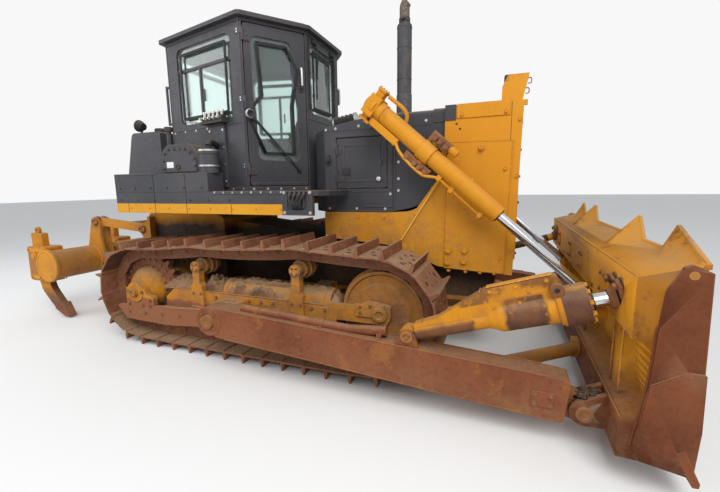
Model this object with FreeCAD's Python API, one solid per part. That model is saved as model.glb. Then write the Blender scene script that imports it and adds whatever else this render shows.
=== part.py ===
"""A crawler bulldozer with a straight blade, a tilt cylinder and a three-shank rear ripper.

Millimetres. +X is forward, +Y is the machine's left, +Z is up, and the ground is z = 0.
Stations along X are counted from the sprocket's axis and moved to the middle of the machine at the end.
"""

import FreeCAD
import Part
import math
import os

V = FreeCAD.Vector
MIDDLE_PLANE = V(0, 0, 0)
ACROSS = V(0, 1, 0)
SEAT_GAP = 0.3          # between curved faces that lie on each other
RUN_FIT = 0.05          # radial clearance of a pin in its hole

# Track
TRACK_GAUGE = 2000.0
SHOE_WIDTH = 560.0
PITCH = 217.0
SHOES = 37
SPROCKET_TEETH = 23     # every second tooth takes a bush
GROUSER = 72.0
SHOE_PLATE = 15.0
LINK_OUT = 60.0         # pin line to the shoe's seat
LINK_IN = 60.0          # pin line to the rail that the rollers run on
LINK_THICK = 46.0
LINK_OFFSET = 70.0      # middle of each link row from the track's middle
IDLER_PIN_R = 425.0
SPROCKET_RISE = 8.0
IDLER_RISE = 16.0
CARRIER_PIN_Z = (1019.0, 1058.0)
TOP_SAG = (16.0, 22.0, 6.0)
TRACK_Y = TRACK_GAUGE / 2
TRACK_OUT = TRACK_Y + SHOE_WIDTH / 2
PIN_Z = GROUSER + SHOE_PLATE + LINK_OUT
SPROCKET_R = PITCH / (2 * math.sin(2 * math.pi / SPROCKET_TEETH))
SPROCKET_Z = PIN_Z + SPROCKET_R + SPROCKET_RISE
IDLER_Z = PIN_Z + IDLER_PIN_R + IDLER_RISE
TOP_EXTRA = 26.0        # how much longer the carried top run is than a straight one
IDLER_X = (SHOES * PITCH - math.pi * (SPROCKET_R + IDLER_PIN_R) - TOP_EXTRA) / 2
SPROCKET_HALF = 36.0
SPROCKET_BORE = 130.0
RAIL_GAP = 0.8          # between the links' straight rails and the wheels that carry them
CARRIER_X = (0.296 * IDLER_X, 0.714 * IDLER_X)

# Rollers and track frame
ROLLERS = 6
ROLLER_R = 92.0
ROLLER_FIRST_X = SPROCKET_R + 48
ROLLER_LAST_X = IDLER_X - 412
ROLLER_STEP = (ROLLER_LAST_X - ROLLER_FIRST_X) / (ROLLERS - 1)
ROLLER_Z = PIN_Z + LINK_IN + ROLLER_R + RAIL_GAP
CARRIER_R = 80.0
CARRIER_CLEAR = 12.0
FRAME_HALF = 150.0      # half the track frame's width
FRAME_WALL = 28.0
SLIDE_THICK = 46.0      # the idler bearings' slides
FRAME_TOP = 620.0
FRAME_BEAM_LOW = 430.0
FRAME_SKIRT_LOW = 265.0
FRAME_X = (ROLLER_FIRST_X - 100, ROLLER_LAST_X + 12)
RECOIL_R = 135.0
RECOIL_X = (1060.0, ROLLER_LAST_X - 50)
AXLE_R = 35.0
BEARING_Y = TRACK_Y + FRAME_HALF + 82   # outer face of the rear beam and of the shaft's bearing
BEARING_R = 116.0

# Blade lift geometry
TRUNNION_X = 1250.0
TRUNNION_Z = 485.0
TRUNNION_R = 60.0
ARM_Y = TRACK_OUT + 160
ARM_WIDTH = 180.0
ARM_EYE_R = 98.0
ARM_PIN_X = 4130.0
ARM_PIN_Z = 250.0
ARM_PIN_R = 45.0
YOKE_X = 3000.0
YOKE_Z = 1900.0
LIFT_Y = 760.0
LIFT_PIN_X = 4290.0
LIFT_PIN_Z = 764.0
YOKE_PIN_R = 45.0
LIFT_BARREL_R = 74.0
LIFT_ROD_R = 38.0
LIFT_TOP = 656.0        # barrel behind the yoke
LIFT_LOW = 770.0        # barrel below the yoke
LIFT_ROD_IN = 230.0     # where the rod starts inside the barrel, below the yoke
LIFT_LENGTH = math.hypot(LIFT_PIN_X - YOKE_X, LIFT_PIN_Z - YOKE_Z)
YOKE_ROOM_R = 88.0      # half the room between the yoke's cheeks

# Blade
BLADE_PAST_ARM = 290.0  # how far the blade reaches beyond each arm
BLADE_WIDTH = 2 * (ARM_Y + ARM_WIDTH / 2 + BLADE_PAST_ARM)
BLADE_TIP_X = 4590.0
BLADE_CLEAR = 120.0     # cutting edge above the ground, as the blade is carried
BLADE_SKIN = 26.0
BLADE_TOP = (4545.0, 1240.0)
EDGE_SLOPE = 65.0
EDGE_THICK = 30.0
EDGE_HIGH = 165.0
BIT_HIGH = 190.0
BIT_LENGTH = 430.0
SKIN_START = 60.0       # how far up the edge's slope the mouldboard's foot is
SKIN_BEND = EDGE_HIGH + 15      # where its straight foot ends and the curve begins
HORN_Y = (-720.0, 720.0)
SPILL_CORNER = BLADE_WIDTH / 2 - 440    # where the spill plate's top ends
END_PLATE = 32.0
WEAR_PLATE = 20.0
BRACE_X = IDLER_X + 700
TILT_PIN_X = 3020.0
TILT_PIN_Z = 585.0
TILT_BALL_X = 4300.0
TILT_BALL_Z = 985.0
TILT_BALL_R = 74.0
TILT_EYE_R = 62.0
TILT_EYE_PIN_R = 36.0
TILT_ROD_R = 44.0
TILT_LENGTH = math.hypot(TILT_BALL_X - TILT_PIN_X, TILT_BALL_Z - TILT_PIN_Z)

# Hull, deck and engine housing
HULL_HALF = 540.0
BELLY_Z = 405.0
RAIL_TOP = 1000.0       # the frame rails that the engine stands on
DECK_TOP = 1600.0
DECK_THICK = 40.0
FENDER_OUT = 1120.0
PANEL = 30.0            # wall of the side panels
DECK_REAR = -273.0
TANK_TOP = 2276.0
TANK_HALF = 690.0
DECK_FRONT = 2200.0
STRIPE_Z = (1390.0, 1486.0)
STRIPE_END = 1842.0
HULL_TOP = 1380.0
BOX_TOP = 1782.0
BOX_END = 981.0
BOX_IN = 905.0
TUB_X = (332.0, 862.0)  # the rounded tank and the battery case on the fender boxes
TUB_HIGH = 284.0
TUB_OUT = 1060.0
CLEANER_PLACE = (920.0, -1010.0)
HOOD_HALF = 540.0
HOOD_REAR = 1760.0
HOOD_TOP = 2290.0
HOOD_LOW = 1386.0
HOOD_WALL = 20.0
HOOD_SLOPE = 0.16       # rise of the housing's top behind the silencer
HOOD_FLAT_X = 2495.0
HOOD_CHAMFER = (180.0, 165.0)
ENGINE_DOOR_X = (2071.0, 2575.0)
ENGINE_DOOR_Z = (1620.0, 2090.0)
ENGINE_DOOR_GAP = 8.0
ENGINE_HINGE_Z = (1680.0, 1940.0)
ENGINE_HINGE_R = 8.5
COVER_X = (3003.0, 3202.0)
GUARD_HALF = 575.0
GUARD_FRONT = 3730.0
GUARD_REAR = 3110.0
GUARD_TOP = 2300.0
GUARD_LOW = 862.0
EAR_TOP = 2500.0
SHELF_Z = 2400.0        # the shelf that the front lamps stand on

# Cab plan, from the machine's middle: rear corner, door hinge corner, windscreen corner
CAB_REAR = (90.0, 640.0)
CAB_WIDE = (1280.0, 900.0)
CAB_NOSE = (1680.0, 380.0)
CAB_FLOOR = DECK_TOP
CAB_EAVES = 3180.0
CAB_WALL = 55.0
ROOF_THICK = 70.0
ROOF_OVERHANG = 55.0
DOOR_LOW = 1655.0
DOOR_HIGH = 3140.0
DOOR_THICK = 45.0
GLASS = 8.0

# Ripper
LINK_REAR_X = -1430.0
LINK_FRONT_X = -560.0
LINK_SHIFT = 120.0      # how much further back the upper links' pins are
LOW_PIN_Z = 560.0
HIGH_PIN_Z = 1130.0
LINK_CLIMB = 75.0       # how much higher the links' rear pins are
LINK_Y = 450.0
RIPPER_PIN_R = 38.0
BEAM_X = -1700.0
BEAM_Z = 694.0
BEAM_R = 185.0
BEAM_HALF = 1085.0
SHANK_Y = 955.0
SHANK_THICK = 76.0
SHANK_DEEP = 215.0
TAIL = -2150.0
RIP_CYL_Y = 250.0
RIP_CYL_ROOT = (-545.0, 1000.0)
RIP_CYL_LUG = (-1400.0, 770.0)
RIP_CYL_LENGTH = math.hypot(RIP_CYL_LUG[0] - RIP_CYL_ROOT[0], RIP_CYL_LUG[1] - RIP_CYL_ROOT[1])
RIP_CYL_PIN_R = 26.0
BEAM_FLANGE = (24.0, 26.0)      # how far the end flange stands out and how thick it is
SHANK_REAR = TAIL + 38
SHANK_TOP = 1090.0
SHANK_PIN = (TAIL + 150, 800.0, 24.0)   # x, z and radius
SHANK_PLACES = (-SHANK_Y, 0.0, SHANK_Y)

STATION_MIDDLE = (BLADE_TIP_X + TAIL) / 2


def mirrored(shape):
    return shape.mirror(MIDDLE_PLANE, ACROSS)


def pair(shape):
    """A right-hand shape and its left-hand mirror image."""
    return Part.makeCompound([shape, mirrored(shape)])


def fuse(shapes):
    first, *rest = shapes
    whole = first.multiFuse(rest) if rest else first
    return whole.removeSplitter()


def box(x0, x1, y0, y1, z0, z1):
    return Part.makeBox(x1 - x0, y1 - y0, z1 - z0, V(x0, y0, z0))


def rounded_wire(points):
    """A closed wire through points, each a vector or (vector, corner radius)."""
    corners = [p if isinstance(p, tuple) else (p, 0) for p in points]
    ends = []
    for i, (p, r) in enumerate(corners):
        if r <= 0:
            ends.append((p, None, p))
            continue
        a = (corners[i - 1][0] - p).normalize()
        b = (corners[(i + 1) % len(corners)][0] - p).normalize()
        half = a.getAngle(b) / 2
        reach = r / math.tan(half)
        bisector = (a + b).normalize()
        arc_mid = p + bisector * (r / math.sin(half) - r)
        ends.append((p + a * reach, arc_mid, p + b * reach))
    edges = []
    for i, (start, mid, end) in enumerate(ends):
        if mid is not None:
            edges.append(Part.Arc(start, mid, end).toShape())
        following = ends[(i + 1) % len(ends)][0]
        if end.distanceToPoint(following) > 1e-6:
            edges.append(Part.LineSegment(end, following).toShape())
    return Part.Wire(edges)


def side_profile(points, y0, y1):
    """A plate drawn in X and Z, from y0 to y1. A point is (x, z) or (x, z, corner radius)."""
    wire = rounded_wire([(V(p[0], y0, p[1]), p[2] if len(p) > 2 else 0) for p in points])
    return Part.Face(wire).extrude(V(0, y1 - y0, 0))


def plan_profile(points, z0, z1):
    """A plate whose outline is drawn in X and Y, from z0 to z1."""
    wire = rounded_wire([(V(p[0], p[1], z0), p[2] if len(p) > 2 else 0) for p in points])
    return Part.Face(wire).extrude(V(0, 0, z1 - z0))


def front_profile(points, x0, x1):
    """A plate whose outline is drawn in Y and Z, from x0 to x1."""
    wire = rounded_wire([(V(x0, p[0], p[1]), p[2] if len(p) > 2 else 0) for p in points])
    return Part.Face(wire).extrude(V(x1 - x0, 0, 0))


def across(x, z, r, y0, y1):
    """A round bar along Y."""
    return Part.makeCylinder(r, y1 - y0, V(x, y0, z), ACROSS)


def bar(start, end, r):
    """A round bar between two points."""
    along = end - start
    return Part.makeCylinder(r, along.Length, start, along)


def spun(profile):
    """A body turned about the Y axis. The profile is a list of (distance along the axis, radius)."""
    points = [V(0, profile[0][0], 0)] + [V(r, a, 0) for a, r in profile] + [V(0, profile[-1][0], 0)]
    points = [p for i, p in enumerate(points) if i == 0 or p.distanceToPoint(points[i - 1]) > 1e-6]
    face = Part.Face(Part.makePolygon(points + [points[0]]))
    return face.revolve(V(0, 0, 0), ACROSS, 360)


def turned(profile, x, z, y_middle=0.0):
    """A body turned about an axis along Y through (x, z)."""
    body = spun(profile)
    body.translate(V(x, y_middle, z))
    return body


def turned_along(profile, start, end):
    """A body turned about the line from start to end."""
    body = spun(profile)
    body.Placement = FreeCAD.Placement(start, FreeCAD.Rotation(ACROSS, end - start))
    return body


# Track

def carried_run(start, end, sag, steps=8):
    """Points of a slack run between two supports."""
    return [V(start.x + (end.x - start.x) * t, 0, start.z + (end.z - start.z) * t - 4 * sag * t * (1 - t))
            for t in (i / steps for i in range(steps))]


def wheel_wrap(x, z, r, first, last, steps=24):
    """Points round a wheel, from one angle to the other, in degrees from +X."""
    angles = (math.radians(first + (last - first) * i / steps) for i in range(steps))
    return [V(x + r * math.cos(a), 0, z + r * math.sin(a)) for a in angles]


def pin_line():
    """The closed line of the chain's pins, from the bottom of the sprocket forward."""
    supports = [V(0, 0, SPROCKET_Z + SPROCKET_R), V(CARRIER_X[0], 0, CARRIER_PIN_Z[0]),
                V(CARRIER_X[1], 0, CARRIER_PIN_Z[1]), V(IDLER_X, 0, IDLER_Z + IDLER_PIN_R)]
    flat = [V(0, 0, SPROCKET_Z - SPROCKET_R), V(ROLLER_FIRST_X - PITCH, 0, PIN_Z),
            V(ROLLER_LAST_X + PITCH, 0, PIN_Z)]
    line = flat + wheel_wrap(IDLER_X, IDLER_Z, IDLER_PIN_R, -90, 90)
    for i in (2, 1, 0):
        line += carried_run(supports[i + 1], supports[i], TOP_SAG[i])
    return line + wheel_wrap(0, SPROCKET_Z, SPROCKET_R, 90, 270)


def pins():
    """The pins, evenly spaced along the pin line."""
    line = pin_line()
    line.append(line[0])
    lengths = [a.distanceToPoint(b) for a, b in zip(line, line[1:])]
    step = sum(lengths) / SHOES
    found = []
    gone = 0.0
    wanted = step * 0.35
    for a, b, length in zip(line, line[1:], lengths):
        while wanted <= gone + length and len(found) < SHOES:
            found.append(a + (b - a) * ((wanted - gone) / length))
            wanted += step
        gone += length
    return found


def track():
    """One loop: two rows of links with every shoe on them."""
    joints = pins()
    middle = V(IDLER_X / 2, 0, SPROCKET_Z)
    plate = LINK_OUT + SHOE_PLATE
    tip = plate + GROUSER
    shoe_outline = [(-6, LINK_OUT), (PITCH - 10, LINK_OUT), (PITCH + 8, LINK_OUT - 9), (PITCH + 12, LINK_OUT),
                    (PITCH - 8, plate), (30, plate), (20, tip), (5, tip), (-6, plate)]
    pieces = []
    inner, outer = [], []
    for i, p in enumerate(joints):
        q = joints[(i + 1) % SHOES]
        along = (q - p).normalize()
        out = V(along.z, 0, -along.x)
        if out.dot((p + q) * 0.5 - middle) < 0:
            out = out * -1
        stretch = p.distanceToPoint(q) / PITCH
        corners = [p + along * (a * stretch) + out * n for a, n in shoe_outline]
        pieces.append(side_profile([(c.x, c.z) for c in corners], -TRACK_OUT, -TRACK_OUT + SHOE_WIDTH))
        before = (p - joints[i - 1]).normalize()
        before_out = V(before.z, 0, -before.x)
        if before_out.dot((p + joints[i - 1]) * 0.5 - middle) < 0:
            before_out = before_out * -1
        bisector = (out + before_out).normalize()
        spread = 1 / bisector.dot(out)
        inner.append(p - bisector * (LINK_IN * spread))
        outer.append(p + bisector * ((LINK_OUT + 1.0) * spread))
    for side in (-1, 1):
        y0 = -TRACK_Y + side * LINK_OFFSET - LINK_THICK / 2
        ring = side_profile([(p.x, p.z) for p in outer], y0, y0 + LINK_THICK)
        hole = side_profile([(p.x, p.z) for p in inner], y0 - 1, y0 + LINK_THICK + 1)
        pieces.append(ring.cut(hole))
    return fuse(pieces)


def sprocket():
    """A toothed ring on a plate hub."""
    root, tip = SPROCKET_R - 40, SPROCKET_R + 22
    points = []
    for i in range(SPROCKET_TEETH):
        for share, r in ((-0.30, root), (-0.12, tip), (0.12, tip), (0.30, root)):
            a = 2 * math.pi * (i + share) / SPROCKET_TEETH
            points.append((r * math.cos(a), SPROCKET_Z + r * math.sin(a)))
    disc = side_profile(points, -TRACK_Y - SPROCKET_HALF, -TRACK_Y + SPROCKET_HALF)
    return disc.cut(across(0, SPROCKET_Z, SPROCKET_BORE, -TRACK_Y - 100, -TRACK_Y + 100))


def final_drive():
    """The drive case inside the sprocket, the dome outside it and the shaft's outer bearing."""
    inner_face = -TRACK_Y + SPROCKET_HALF
    outer_face = -TRACK_Y - SPROCKET_HALF
    core = SPROCKET_BORE - RUN_FIT
    shaft = -BEARING_Y
    cap = [(shaft - 30, 52), (shaft - 4, 52), (shaft - 4, BEARING_R - 8), (shaft + 57, BEARING_R)]
    dome = [(shaft + 67, 150), (shaft + 112, 205), (shaft + 152, 235), (outer_face, 250), (outer_face, core)]
    case = [(inner_face, core), (inner_face, 290), (-820, 330), (-700, 345), (-HULL_HALF, 350)]
    profile = cap + dome + case
    return turned(profile, 0, SPROCKET_Z)


def idler():
    """A wheel with a rim on each side of its middle flange."""
    tread = math.sqrt(IDLER_PIN_R ** 2 - (PITCH / 2) ** 2) - LINK_IN - RAIL_GAP
    flange = tread + 22
    half = 98.0
    groove = 42.0
    outer = [(-half, 70), (-half, 235), (-half + 14, 255), (-half + 14, tread - 34), (-half, tread - 24),
             (-half, tread), (-groove, tread), (-groove, flange)]
    profile = outer + [(-a, r) for a, r in reversed(outer)]
    wheel = turned(profile, IDLER_X, IDLER_Z, -TRACK_Y)
    return wheel.cut(across(IDLER_X, IDLER_Z, 42 + SEAT_GAP, -TRACK_Y - 120, -TRACK_Y + 120))


def track_rollers():
    """The rollers under the track frame, each with its shaft."""
    rollers = []
    for i in range(ROLLERS):
        rim = 112.0 if i % 2 == 0 else 108.0
        outer = [(-FRAME_HALF + FRAME_WALL, AXLE_R), (-116, AXLE_R), (-116, rim), (-98, rim), (-98, ROLLER_R),
                 (-40, ROLLER_R), (-30, 78)]
        profile = outer + [(-a, r) for a, r in reversed(outer)]
        rollers.append(turned(profile, ROLLER_FIRST_X + i * ROLLER_STEP, ROLLER_Z, -TRACK_Y))
    return Part.makeCompound(rollers)


def rollers():
    """Every roller on one side."""
    return Part.makeCompound([track_rollers(), carrier_rollers()])


def carrier_centre(i):
    return CARRIER_PIN_Z[i] - LINK_IN - CARRIER_R - CARRIER_CLEAR


def carrier_rollers():
    """The two rollers that carry the chain's top run, on shafts held from outside."""
    rollers = []
    for i, x in enumerate(CARRIER_X):
        outer = [(-104, 70), (-96, CARRIER_R), (-44, CARRIER_R), (-36, 96), (-30, 96), (-24, 72)]
        inner = [(-a, r) for a, r in reversed(outer)]
        profile = [(-110, AXLE_R), (-104, AXLE_R)] + outer + inner + [(104, 30)]
        rollers.append(turned(profile, x, carrier_centre(i), -TRACK_Y))
    return Part.makeCompound(rollers)


def track_frame():
    """The box beam between the track's runs, with skirts, recoil housing, carrier posts and bearings."""
    out, into = -TRACK_Y - FRAME_HALF, -TRACK_Y + FRAME_HALF
    x0, x1 = FRAME_X
    beam = side_profile([(x0, FRAME_BEAM_LOW), (x1, FRAME_BEAM_LOW), (x1, 560), (x1 - 90, FRAME_TOP),
                         (x0 + 120, FRAME_TOP), (x0, 520)], out, into)
    skirt_end = ROLLER_LAST_X + 80
    skirt = [(x0, FRAME_BEAM_LOW + 10), (x0, 300)]
    for i in range(ROLLERS):
        x = ROLLER_FIRST_X + i * ROLLER_STEP
        skirt += [(x - 70, FRAME_SKIRT_LOW), (x + 70, FRAME_SKIRT_LOW)]
        if i < ROLLERS - 1:
            skirt += [(x + 120, 330), (x + ROLLER_STEP - 120, 330)]
    skirt += [(skirt_end, 330), (skirt_end, FRAME_BEAM_LOW + 10)]
    pieces = [beam, side_profile(skirt, out, out + FRAME_WALL), side_profile(skirt, into - FRAME_WALL, into)]
    recoil_z = FRAME_TOP - 20
    pieces.append(bar(V(RECOIL_X[0], -TRACK_Y, recoil_z), V(RECOIL_X[1], -TRACK_Y, recoil_z), RECOIL_R))
    for i, x in enumerate(CARRIER_X):
        z = carrier_centre(i)
        half_outline = [(80, 440), (66, FRAME_TOP + 60), (40, FRAME_TOP + 90), (44, z)]
        outline = [(x + a, b) for a, b in half_outline] + [(x - a, b) for a, b in reversed(half_outline)]
        post = side_profile(outline, out - 30, out + 40)
        pieces += [post, across(x, z, 58, out - 34, out + 40)]
    slide_outline = [(x1 - 60, 500), (IDLER_X + 60, 500, 30), (IDLER_X + 90, 560, 20),
                     (IDLER_X + 90, 660, 20), (IDLER_X - 120, 690, 20), (IDLER_X - 200, 640, 20),
                     (x1 - 60, 640, 20)]
    pieces += [side_profile(slide_outline, y, y + SLIDE_THICK) for y in (out, into - SLIDE_THICK)]
    pieces.append(box(IDLER_X - 210, IDLER_X + 40, out - 16, out, 560, 668))
    pieces.append(across(IDLER_X, IDLER_Z, 42, out, into))
    # Rear outer beam under the shaft's outer bearing, and the seat that holds the bearing
    rear = side_profile([(-290, 396, 12), (-165, 252, 20), (420, 240), (1120, 300), (1120, 470), (300, 430)],
                        -BEARING_Y, -BEARING_Y + 36)
    link = box(330, 1120, -BEARING_Y + 35, out + 1, 330, 420)
    seat = side_profile([(-140, 380), (250, 380), (250, 520, 20), (160, 540, 20), (132, 600), (-132, 600)],
                        -BEARING_Y, -BEARING_Y + 52)
    seat = seat.cut(across(0, SPROCKET_Z, BEARING_R + SEAT_GAP, -BEARING_Y - 60, -TRACK_Y))
    pieces += [rear, link, seat]
    arm_face = -ARM_Y + ARM_WIDTH / 2 + 20
    seat_outline = [(TRUNNION_X + a, z, 25) for a, z in ((-130, 380), (130, 380), (130, 590), (-130, 590))]
    trunnion_seat = side_profile(seat_outline, arm_face, out + 1)
    trunnion = across(TRUNNION_X, TRUNNION_Z, TRUNNION_R, -ARM_Y - ARM_WIDTH / 2 - 20, arm_face + 10)
    pieces += [trunnion_seat, trunnion]
    fork = across(0, SPROCKET_Z, SPROCKET_R + 50, -TRACK_Y - 80, -TRACK_Y + 80)
    return fuse(pieces).cut(fork)


# Hull

def hull():
    """The steering case at the rear and the frame rails that run forward to the radiator."""
    case = side_profile([(-430, 520, 60), (-330, BELLY_Z + 40, 60), (640, BELLY_Z + 40), (640, 1300, 60),
                         (420, HULL_TOP, 60), (-360, HULL_TOP, 60), (-430, 1300, 40)], -HULL_HALF, HULL_HALF)
    front = GUARD_FRONT - 170
    rails = [side_profile([(630, 600), (front, 600), (front, GUARD_LOW), (3150, GUARD_LOW), (2900, RAIL_TOP),
                           (630, RAIL_TOP)], y, y + 110) for y in (-430, 320)]
    ties = [box(x, x + 160, -330, 330, 640, 860) for x in (1150, front - 180)]
    gearbox = side_profile([(630, 620), (1500, 620, 40), (1500, 1150, 60), (630, 1250)], -321, 321)
    return fuse([case, gearbox] + rails + ties)


def belly_guard():
    """Dished plates bolted under the hull."""
    under = [(-430, 600), (-430, 560), (-330, BELLY_Z), (330, BELLY_Z), (430, 560), (430, 600)]
    over = [(412, 600), (412, 566), (322, BELLY_Z + 20), (-322, BELLY_Z + 20), (-412, 566), (-412, 600)]
    section = under + over
    return front_profile(section, 660, GUARD_FRONT - 170)


def cross_members():
    """The equaliser bar in front and the pivot shaft behind, which carry the hull on the track frames."""
    outer = -TRACK_Y + FRAME_HALF
    section = [(outer, 500), (-500, 500), (-430, 470), (-430, 640), (-500, 660), (outer, 600)]
    bar_shape = front_profile(section, ROLLER_LAST_X - 460, ROLLER_LAST_X - 300)
    shaft = across(540, 520, 70, outer, -HULL_HALF)
    return Part.makeCompound([bar_shape, mirrored(bar_shape), shaft, mirrored(shaft)])


# Deck and tanks

def deck():
    """The floor over the tracks, with side skirts, cut back round the engine housing."""
    low = DECK_TOP - DECK_THICK
    inner = GUARD_HALF + 6
    rear = HOOD_REAR - 20
    narrow = HOOD_HALF - HOOD_CHAMFER[1] + 6
    slant = rear + (inner - narrow) * HOOD_CHAMFER[0] / HOOD_CHAMFER[1]
    right_edge = [(DECK_REAR, -FENDER_OUT), (DECK_FRONT - 60, -FENDER_OUT, 40),
                  (DECK_FRONT, -FENDER_OUT + 120), (DECK_FRONT, -inner), (slant, -inner), (rear, -narrow)]
    left_edge = [(p[0], -p[1]) + tuple(p[2:]) for p in reversed(right_edge)]
    slab = plan_profile(right_edge + left_edge, low, DECK_TOP)
    skirt = box(DECK_REAR, DECK_FRONT - 100, -FENDER_OUT, -FENDER_OUT + PANEL, STRIPE_Z[1], low)
    niche = box(STRIPE_END, DECK_FRONT - 100, -FENDER_OUT, -FENDER_OUT + PANEL, STRIPE_Z[0], STRIPE_Z[1])
    legs = [box(x, x + 120, -inner + 1, -HULL_HALF + 60, HULL_TOP, low) for x in (-200, 400)]
    right = [skirt, niche] + legs
    return fuse([slab] + right + [mirrored(s) for s in right])


def side_rails():
    """The bright rail along the bottom of each fender."""
    rail = box(DECK_REAR, STRIPE_END, -FENDER_OUT, -FENDER_OUT + PANEL, STRIPE_Z[0], STRIPE_Z[1])
    return pair(rail)


def fender_boxes():
    """The lidded box on each rear fender."""
    return pair(box(DECK_REAR, BOX_END, -FENDER_OUT, -BOX_IN, DECK_TOP, BOX_TOP))


def fender_tanks():
    """The rounded right tank with its breather, the air cleaner beside it, and the left battery case."""
    x0, x1 = TUB_X
    top = BOX_TOP + TUB_HIGH
    body = side_profile([(x0, BOX_TOP), (x1, BOX_TOP), (x1, top - 126, 150), (x1 - 122, top, 90),
                         (x0 + 108, top, 90), (x0, top - 106, 60)], -TUB_OUT, -BOX_IN)
    cover = side_profile([(x0 + 53, BOX_TOP + 18), (x1 - 47, BOX_TOP + 18), (x1 - 47, top - 146, 120),
                          (x1 - 147, top - 36, 70), (x0 + 138, top - 36, 70), (x0 + 53, top - 126, 40)],
                         -TUB_OUT - 16, -TUB_OUT)
    breather = V(x0 + 68, -TUB_OUT + 80, top - 76)
    pipe = bar(breather, breather + V(0, 0, 220), 24)
    cap = bar(breather + V(0, 0, 215), breather + V(0, 0, 260), 38)
    foot = V(CLEANER_PLACE[0], CLEANER_PLACE[1], BOX_TOP)
    cleaner = turned_along([(0, 88), (170, 88), (180, 95), (212, 95), (220, 88)], foot, foot + V(0, 0, 220))
    case_top = top - 76
    case = box(x0, x1, BOX_IN, TUB_OUT, BOX_TOP, case_top)
    lid = side_profile([(x0 - 10, case_top), (x1 + 10, case_top), (x1, case_top + 30), (x0, case_top + 30)],
                       BOX_IN, TUB_OUT + 10)
    return Part.makeCompound([fuse([body, cover, pipe, cap]), cleaner, fuse([case, lid])])


def fuel_tank():
    """The tank across the rear, behind the cab."""
    body = side_profile([(-560, DECK_TOP), (-90, DECK_TOP), (-50, 1700, 30), (-50, TANK_TOP, 30),
                         (-488, TANK_TOP, 60), (-612, 1790, 60), (-600, 1660, 40)], -TANK_HALF, TANK_HALF)
    filler = Part.makeCylinder(60, 46, V(-300, -450, TANK_TOP))
    saddle = box(-560, DECK_REAR, -TANK_HALF, TANK_HALF, 1470, DECK_TOP)
    bridge = box(-320, DECK_REAR, -460, 460, HULL_TOP, 1470)
    return fuse([body, filler, saddle, bridge])


# Cab

def cab_plan(inset, nose_inset=None):
    """The six corners of the cab's plan, moved inward by inset along every wall."""
    right = [V(x, -y, 0) for x, y in (CAB_REAR, CAB_WIDE, CAB_NOSE)]
    corners = right + [V(p.x, -p.y, 0) for p in reversed(right)]
    moved = []
    for i, p in enumerate(corners):
        a = (p - corners[i - 1]).normalize()
        b = (corners[(i + 1) % 6] - p).normalize()
        na, nb = V(-a.y, a.x, 0), V(-b.y, b.x, 0)
        bisector = (na + nb).normalize()
        moved.append(p + bisector * (inset / bisector.dot(na)))
    return moved


def wall_frame(start, end):
    """A placement that puts local X along a wall, local Y inward and local Z up."""
    along = (end - start).normalize()
    inward = V(-along.y, along.x, 0)
    matrix = FreeCAD.Matrix(along.x, inward.x, 0, start.x,
                            along.y, inward.y, 0, start.y,
                            0, 0, 1, 0,
                            0, 0, 0, 1)
    return FreeCAD.Placement(matrix)


def wall_panel(start, end, outline, depth0, depth1):
    """A panel in a wall. The outline is (distance along the wall, z, corner radius), and depths go inward."""
    shape = side_profile(outline, depth0, depth1)
    shape.Placement = wall_frame(start, end)
    return shape


def window_outline(a0, a1, z0, z1, r):
    return [(a0, z0, r), (a1, z0, r), (a1, z1, r), (a0, z1, r)]


def grown(outline, by):
    """A rectangular window outline made larger by a margin."""
    (a0, z0, r), (a1, _, _), (_, z1, _), _ = outline
    return window_outline(a0 - by, a1 + by, z0 - by, z1 + by, max(r + by, 1))


RIGHT_REAR, RIGHT_WIDE, RIGHT_NOSE, LEFT_NOSE, LEFT_WIDE, LEFT_REAR = cab_plan(0)
SIDE_LENGTH = RIGHT_REAR.distanceToPoint(RIGHT_WIDE)
DOOR_WALL = RIGHT_WIDE.distanceToPoint(RIGHT_NOSE)
SIDE_WINDOW = window_outline(190, SIDE_LENGTH - 150, 2300, 3085, 75)
REAR_WINDOW = window_outline(170, 2 * CAB_REAR[1] - 170, 2330, 3060, 75)
NOSE_WINDOW = window_outline(80, 2 * CAB_NOSE[1] - 80, 2400, 3080, 60)
DOOR_GAP = 9.0
DOOR_A = (26.0, DOOR_WALL - 22.0)
DOOR_WINDOW = [(118, 1900, 70), (118, 2340, 90), (92, 2500, 90), (92, 3040, 60), (DOOR_WALL - 160, 3040, 60),
               (DOOR_WALL - 165, 2780, 60), (DOOR_WALL - 110, 2450, 60), (DOOR_WALL - 95, 1900, 70)]
HINGE_OUT = 14.0
HINGE_R = 13.0
HINGE_HIGH = 60.0
HINGE_Z = (1760.0, 2380.0, 2980.0)
HANDLE_Z = (2620.0, 2800.0)
GRAB_Z = (2340.0, 2760.0)


def cab_shell():
    """The hollow cab with its window and door openings."""
    outer = plan_profile([(p.x, p.y, 25) for p in cab_plan(0)], CAB_FLOOR, CAB_EAVES)
    inner = plan_profile([(p.x, p.y) for p in cab_plan(CAB_WALL)], CAB_FLOOR + 40, CAB_EAVES - 40)
    shell = outer.cut(inner)
    cuts = [wall_panel(LEFT_REAR, RIGHT_REAR, REAR_WINDOW, -60, 90),
            wall_panel(RIGHT_NOSE, LEFT_NOSE, NOSE_WINDOW, -60, 90)]
    side = wall_panel(RIGHT_REAR, RIGHT_WIDE, SIDE_WINDOW, -60, 90)
    door = window_outline(DOOR_A[0], DOOR_A[1], DOOR_LOW, DOOR_HIGH, 0)
    door_hole = wall_panel(RIGHT_WIDE, RIGHT_NOSE, grown(door, DOOR_GAP), -60, DOOR_THICK + 2)
    daylight = wall_panel(RIGHT_WIDE, RIGHT_NOSE, grown(door, -22), -60, 120)
    for cut in (side, door_hole, daylight):
        cuts += [cut, mirrored(cut)]
    return shell.cut(Part.makeCompound(cuts)).removeSplitter()


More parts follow.
